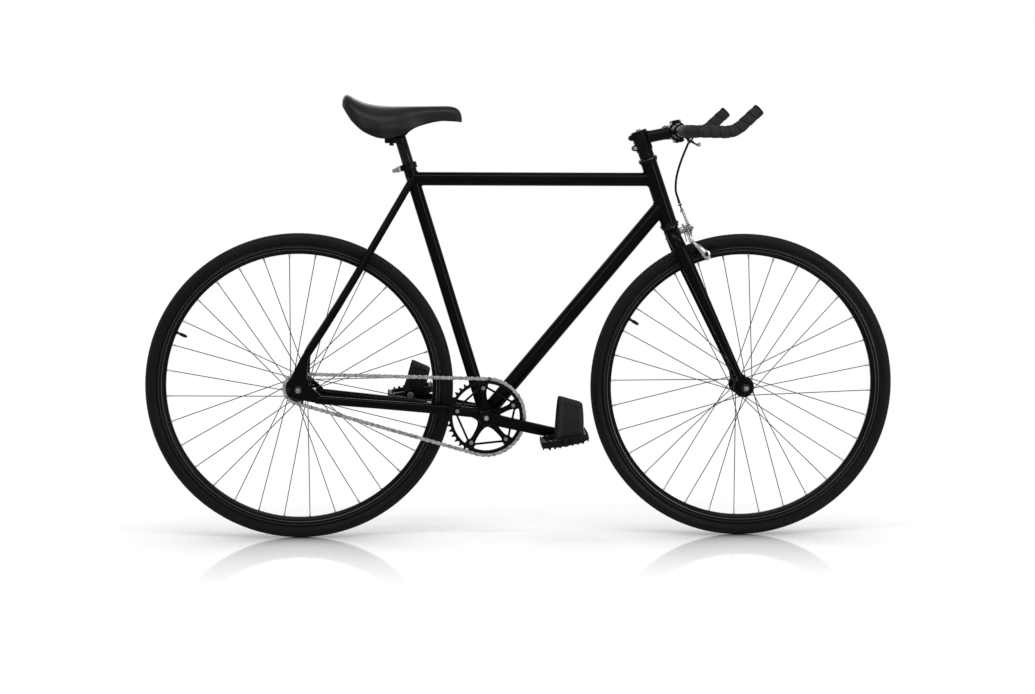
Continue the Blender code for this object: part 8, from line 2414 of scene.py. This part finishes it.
def make_seat_post():
    """The post, its head and clamp with the rails' grooves, and the clamp bolt."""
    radius = SEAT_POST_DIAMETER / 2.0
    post = Shape().rod(SEAT_TOP - SEAT_UP * SEAT_POST_INSERTION, SADDLE_ORIGIN + SEAT_UP * 0.008,
                       radius, 0.0012, 64)
    bed = Shape().block(SADDLE_ORIGIN + Vector((-0.0155, 0.0, -0.0015)), LEVEL, LEFT,
                        (0.039, 0.056, 0.013), 0.0022)
    grooves = []
    for side in (-1.0, 1.0):
        start = SADDLE_ORIGIN + Vector((RAIL_BED[0], side * RAIL_SPREAD, RAIL_HEIGHT))
        end = SADDLE_ORIGIN + Vector((RAIL_BED[1], side * RAIL_SPREAD, RAIL_HEIGHT))
        grooves.append(Shape().rod(start, end, RAIL_RADIUS + GAP, 0.0, 32))
    piece = make("seat_post_tube", post, "post", "seat_post_body", ["seat_post"])
    carve(piece, *grooves)
    piece = make("rail_bed_forging", bed, "anodised", "seat_post_body")
    carve(piece, *grooves)
    clamp = Shape().block(SADDLE_ORIGIN + Vector((-0.0185, 0.0, 0.0115)), LEVEL, LEFT,
                          (0.033, 0.056, 0.0120), 0.0022)
    piece = make("rail_clamp_forging", clamp, "anodised", "seat_post_body", ["rail_clamp"])
    carve(piece, *grooves)
    place = SADDLE_ORIGIN + Vector((-RAIL_CLAMP_BOLT, 0.0, 0.0))
    bolt = Shape().rod(place - UPRIGHT * 0.009, place + UPRIGHT * 0.018, 0.003)
    bolt.hexagon(place - UPRIGHT * 0.0083, -UPRIGHT, 0.0052, 0.005, 0.0028)
    bolt.hexagon(place + UPRIGHT * 0.0178, UPRIGHT, 0.0052, 0.003)
    make("rail_clamp_screw", bolt, "dark_steel", "seat_post_body", ["rail_clamp_bolt"])


def collar_point(forward, left, up):
    """A point measured from the seat tube's top, square to the tube."""
    return SEAT_TOP + SEAT_FORWARD * forward + LEFT * left + SEAT_UP * up


def make_collar():
    """The seat tube's clamp ring, its skewer and its quick release lever."""
    low, high = -COLLAR_RECESS, COLLAR_HEIGHT - COLLAR_RECESS
    tube_bore = SEAT_TUBE_DIAMETER / 2.0 + GAP
    post_bore = SEAT_POST_DIAMETER / 2.0 + GAP
    lip = 0.0007
    ring = Shape().turn([(low, tube_bore), (low, COLLAR_RADIUS - lip), (low + lip, COLLAR_RADIUS),
                         (high - lip, COLLAR_RADIUS), (high, COLLAR_RADIUS - lip), (high, post_bore),
                         (GAP, post_bore), (GAP, tube_bore)], SEAT_TOP, SEAT_UP, 72)
    middle = (low + high) / 2.0
    for side in (-1.0, 1.0):
        ring.block(collar_point(-COLLAR_RADIUS - 0.0035, side * 0.0056, middle), SEAT_FORWARD, SEAT_UP,
                   (0.012, COLLAR_HEIGHT - 0.002, 0.0088), 0.0012)
    make("collar_ring", ring, "anodised", "frame_body", ["seat_post_collar"])
    skewer = collar_point(-COLLAR_RADIUS - 0.0055, 0.0, middle)
    bolt = Shape()
    bolt.rod(skewer - LEFT * 0.0165, skewer + LEFT * 0.0165, 0.0025, 0.0003, 24)
    bolt.rod(skewer - LEFT * 0.0165, skewer - LEFT * 0.0103, 0.0040, 0.0004, 24)
    bolt.turn([(0.0103, 0.0025), (0.0103, 0.0054), (0.0108, 0.0060), (0.0148, 0.0060), (0.0153, 0.0054),
               (0.0153, 0.0)], skewer, LEFT, 32)
    make("collar_skewer_bolt", bolt, "steel", "frame_body", ["collar_skewer"])
    place = skewer + RIGHT * (0.0165 + 0.0055 + GAP)
    lever = Shape().rod(place - SEAT_UP * 0.0055, place + SEAT_UP * 0.0055, 0.0055, 0.0006, 40)
    rows = [(0.001, 0.0), (0.004, 0.0008), (0.007, 0.0012), (0.010, 0.0010), (0.013, 0.0004)]
    points = [place - SEAT_FORWARD * back + RIGHT * out for back, out in rows]
    path = curved_path(points, 4)
    radii = [(0.0050 - 0.0008 * index / (len(path) - 1), 0.0024) for index in range(len(path))]
    lever.sweep(path, radii, 24, SEAT_UP, 0.8)
    make("collar_lever_cam", lever, "grey_steel", "collar_lever_body", ["collar_lever"])


def aim(thing, target):
    """Turn a lamp so that it shines at a point."""
    thing.rotation_euler = (target - thing.location).to_track_quat("-Z", "Y").to_euler()


def floor_finish(colours):
    """White paper, darker where the bike stands as a painted contact shadow, with a faint reflection that
    fades with distance.
    """
    finish = Finish("studio_floor_paper", 0.9, specular=0.0)
    camera_ray = finish.node("ShaderNodeLightPath", output="Is Camera Ray")
    # Ambient occlusion paints a contact shadow: it darkens the paper's colour and dims its glow near the
    # bike.
    open_sky = finish.node("ShaderNodeAmbientOcclusion", {"samples": 16}, {"Distance": 0.26}, "AO")
    open_sky = open_sky.power(2.6)
    finish.feed("Base Color", finish.blend(open_sky, tint(colours.floor, 0.12), colours.floor))
    x, y, _ = finish.axes(finish.spot())
    fade = (1.0 - y.size().between(0.0, 0.95)) * 0.42
    front = y + 0.28
    far = (x * x * 0.3 + front * front).power(0.5).between(0.46, 1.10)

    glow = finish.node("ShaderNodeEmission", {}, {"Strength": 0.46})
    lift = finish.node("ShaderNodeMixShader", {}, {0: camera_ray * open_sky, 2: glow})
    bare = Value(finish, finish.shader.outputs[0])
    paper = finish.node("ShaderNodeAddShader", {}, {0: bare, 1: lift})
    gloss = finish.node("ShaderNodeBsdfGlossy", {}, {"Roughness": 0.08})
    near = finish.node("ShaderNodeMixShader", {}, {0: fade, 1: paper, 2: gloss})
    white = finish.node("ShaderNodeEmission")
    horizon = finish.node("ShaderNodeMixShader", {}, {0: far, 1: near, 2: white})
    finish.plug(finish.tree.nodes["Material Output"].inputs["Surface"], horizon)
    return finish.surface


def make_world(scene):
    """A white world that lights the bike less than it shows."""
    world = bpy.data.worlds.new("studio_world")
    world.use_nodes = True
    scene.world = world
    sky = Nodes(world.node_tree)
    seen = sky.node("ShaderNodeLightPath", output="Is Camera Ray")
    for name in ("Is Glossy Ray", "Is Transmission Ray"):
        seen = seen.maths("MAXIMUM", seen, sky.node("ShaderNodeLightPath", output=name))
    level = sky.node("ShaderNodeMapRange", {}, {"Value": seen, "To Min": 0.35, "To Max": 1.0})
    background = sky.tree.nodes["Background"]
    sky.plug(background.inputs["Strength"], level)
    sky.plug(background.inputs["Color"], (1.0, 1.0, 1.0, 1.0))


def make_stage(colours):
    """A pale floor with a faint reflection, a white world, soft lamps and the camera."""
    scene = bpy.context.scene
    scene.view_settings.view_transform = "Standard"
    floor_mesh = bpy.data.meshes.new("studio_floor")
    reach = FLOOR_REACH
    floor_mesh.from_pydata([(-reach, -reach, 0), (reach, -reach, 0), (reach, reach, 0),
                            (-reach, reach, 0)], [], [(0, 1, 2, 3)])
    floor = bpy.data.objects.new("studio_floor", floor_mesh)
    scene.collection.objects.link(floor)
    floor_mesh.materials.append(floor_finish(colours))
    make_world(scene)
    make_lamps(scene)
    make_camera(scene)


def make_lamps(scene):
    """A strip overhead and one beside, a broad lamp in front and one behind."""
    lamps = (("overhead_strip", (0.0, -1.3, 2.9), (0.0, 0.0, 0.4), 3.6, 0.34, 56.0),
             ("front_lamp", (-1.8, -3.6, 2.4), (0.0, 0.0, 0.5), 1.6, 0.8, 26.0),
             ("side_strip", (2.3, -2.6, 1.2), (0.0, 0.0, 0.6), 0.60, 2.2, 46.0),
             ("back_lamp", (-0.6, 3.2, 2.2), (0.0, 0.0, 0.5), 3.0, 1.4, 30.0))
    for name, place, target, width, height, power in lamps:
        data = bpy.data.lights.new(name, "AREA")
        data.shape = "RECTANGLE"
        data.size, data.size_y = width, height
        data.energy = power
        lamp = bpy.data.objects.new(name, data)
        lamp.location = place
        scene.collection.objects.link(lamp)
        aim(lamp, Vector(target))


def make_camera(scene):
    """The camera as it stood for the photo."""
    data = bpy.data.cameras.new("photo_camera")
    data.lens = CAMERA_LENS
    data.sensor_width = CAMERA_SENSOR
    data.clip_end = CAMERA_FAR
    camera = bpy.data.objects.new("photo_camera", data)
    yaw, pitch, roll = (math.radians(value) for value in (CAMERA_YAW, CAMERA_PITCH, CAMERA_ROLL))
    ahead = Vector((math.sin(yaw) * math.cos(pitch), math.cos(yaw) * math.cos(pitch), math.sin(pitch)))
    across = Vector((math.cos(yaw), -math.sin(yaw), 0.0))
    upward = across.cross(ahead)
    right = across * math.cos(roll) + upward * math.sin(roll)
    up = upward * math.cos(roll) - across * math.sin(roll)
    matrix = camera.matrix_world.copy()
    for row in range(3):
        matrix[row][0], matrix[row][1], matrix[row][2] = right[row], up[row], -ahead[row]
        matrix[row][3] = CAMERA_PLACE[row]
    camera.matrix_world = matrix
    scene.collection.objects.link(camera)
    scene.camera = camera


class BIKE_OT_stage(bpy.types.Operator):
    """Make the floor, the lamps, the white world and the camera."""

    bl_idname = "bike.stage"
    bl_label = "Studio"

    def execute(self, context):
        make_stage(context.scene.bike_colours)
        return {"FINISHED"}


class BIKE_OT_frame(bpy.types.Operator):
    """Make the welded frame from mitred tubes."""

    bl_idname = "bike.frame"
    bl_label = "Frame"

    def execute(self, context):
        make_frame(context.scene.bike_shapes)
        return {"FINISHED"}


class BIKE_OT_fork(bpy.types.Operator):
    """Make the fork and the headset."""

    bl_idname = "bike.fork"
    bl_label = "Fork and headset"

    def execute(self, context):
        make_fork(context.scene.bike_shapes)
        make_headset()
        return {"FINISHED"}


class BIKE_OT_cockpit(bpy.types.Operator):
    """Make the stem, the bar, its tape and its plugs."""

    bl_idname = "bike.cockpit"
    bl_label = "Stem and handlebar"

    def execute(self, context):
        make_stem()
        make_faceplate()
        make_stem_cap()
        make_handlebar()
        make_bar_tape()
        return {"FINISHED"}


class BIKE_OT_brake(bpy.types.Operator):
    """Make the brake lever, its cable, the caliper and the pads."""

    bl_idname = "bike.brake"
    bl_label = "Front brake"

    def execute(self, context):
        make_brake_lever()
        make_brake_cable()
        make_left_arm()
        make_right_arm()
        make_caliper_bolt()
        make_release_lever()
        make_brake_pad(-1.0, "right")
        make_brake_pad(1.0, "left")
        return {"FINISHED"}


class BIKE_OT_wheels(bpy.types.Operator):
    """Make both wheels: tyre, tube, valve, rim, hub, spokes and axle."""

    bl_idname = "bike.wheels"
    bl_label = "Wheels"

    def execute(self, context):
        sides = context.scene.bike_shapes.wheel_sides
        step = 360.0 / SPOKE_COUNT
        for name, centre, first in (("front", FRONT_AXLE, FRONT_SPOKE_ANGLE),
                                    ("rear", REAR_AXLE, REAR_SPOKE_ANGLE)):
            body = f"{name}_wheel_body"
            make_tyre(name, centre, body, sides)
            make_rim(name, centre, body, sides)
            make_tube_and_valve(name, centre, body, first + VALVE_HOLE_STEPS * step)
        make_front_hub()
        make_rear_hub()
        make_axle("front", FRONT_AXLE, FRONT_AXLE_RADIUS, FRONT_HUB_HALF, FRONT_OVER_LOCKNUT,
                  FORK_TIP_THICKNESS, "steering_body")
        make_axle("rear", REAR_AXLE, REAR_AXLE_RADIUS, REAR_HUB_HALF, REAR_OVER_LOCKNUT,
                  TRACK_END_THICKNESS, "frame_body")
        return {"FINISHED"}


class BIKE_OT_drive(bpy.types.Operator):
    """Make the chain, the ring, the cog, the cranks and the spindle."""

    bl_idname = "bike.drive"
    bl_label = "Chain and cranks"

    def execute(self, context):
        make_rear_cog()
        make_chainring()
        make_spider()
        make_crank(-1.0, "right", CRANK_DIRECTION)
        make_crank(1.0, "left", -CRANK_DIRECTION)
        make_crank_spindle()
        make_chain()
        return {"FINISHED"}


class BIKE_OT_pedals(bpy.types.Operator):
    """Make both pedals and their foot straps."""

    bl_idname = "bike.pedals"
    bl_label = "Pedals and straps"

    def execute(self, context):
        make_pedal(-1.0, "right")
        make_pedal(1.0, "left")
        make_strap(-1.0, "right", RIGHT_STRAP_HEIGHT, RIGHT_STRAP_EDGES)
        make_strap(1.0, "left", LEFT_STRAP_HEIGHT, LEFT_STRAP_EDGES)
        return {"FINISHED"}


class BIKE_OT_saddle(bpy.types.Operator):
    """Make the seat post, its collar, the rails and the saddle."""

    bl_idname = "bike.saddle"
    bl_label = "Post and saddle"

    def execute(self, context):
        make_seat_post()
        make_collar()
        make_saddle(context.scene.bike_shapes)
        return {"FINISHED"}


class BIKE_PT_panel(bpy.types.Panel):
    """Lists the bike's pieces and its settings in the sidebar."""

    bl_idname = "BIKE_PT_panel"
    bl_label = "Fixed gear bike"
    bl_space_type = "VIEW_3D"
    bl_region_type = "UI"
    bl_category = "Bike"

    def draw(self, context):
        column = self.layout.column()
        for group in (context.scene.bike_shapes, context.scene.bike_colours):
            for name in group.__annotations__:
                column.prop(group, name)
        for operator in OPERATORS:
            column.operator(operator.bl_idname)


OPERATORS = (BIKE_OT_stage, BIKE_OT_frame, BIKE_OT_fork, BIKE_OT_cockpit, BIKE_OT_brake, BIKE_OT_wheels,
             BIKE_OT_drive, BIKE_OT_pedals, BIKE_OT_saddle)
CLASSES = (BikeShapes, BikeColours, *OPERATORS, BIKE_PT_panel)


def register():
    """Add the classes and the settings to Blender."""
    for item in CLASSES:
        bpy.utils.register_class(item)
    bpy.types.Scene.bike_shapes = bpy.props.PointerProperty(type=BikeShapes)
    bpy.types.Scene.bike_colours = bpy.props.PointerProperty(type=BikeColours)


def unregister():
    """Take the classes and the settings out again."""
    del bpy.types.Scene.bike_colours
    del bpy.types.Scene.bike_shapes
    for item in reversed(CLASSES):
        bpy.utils.unregister_class(item)


def main():
    """Register, then build every piece in order."""
    register()
    bpy.ops.bike.stage()
    bpy.ops.bike.frame()
    bpy.ops.bike.fork()
    bpy.ops.bike.cockpit()
    bpy.ops.bike.brake()
    bpy.ops.bike.wheels()
    bpy.ops.bike.drive()
    bpy.ops.bike.pedals()
    bpy.ops.bike.saddle()


if __name__ == "__main__":
    main()
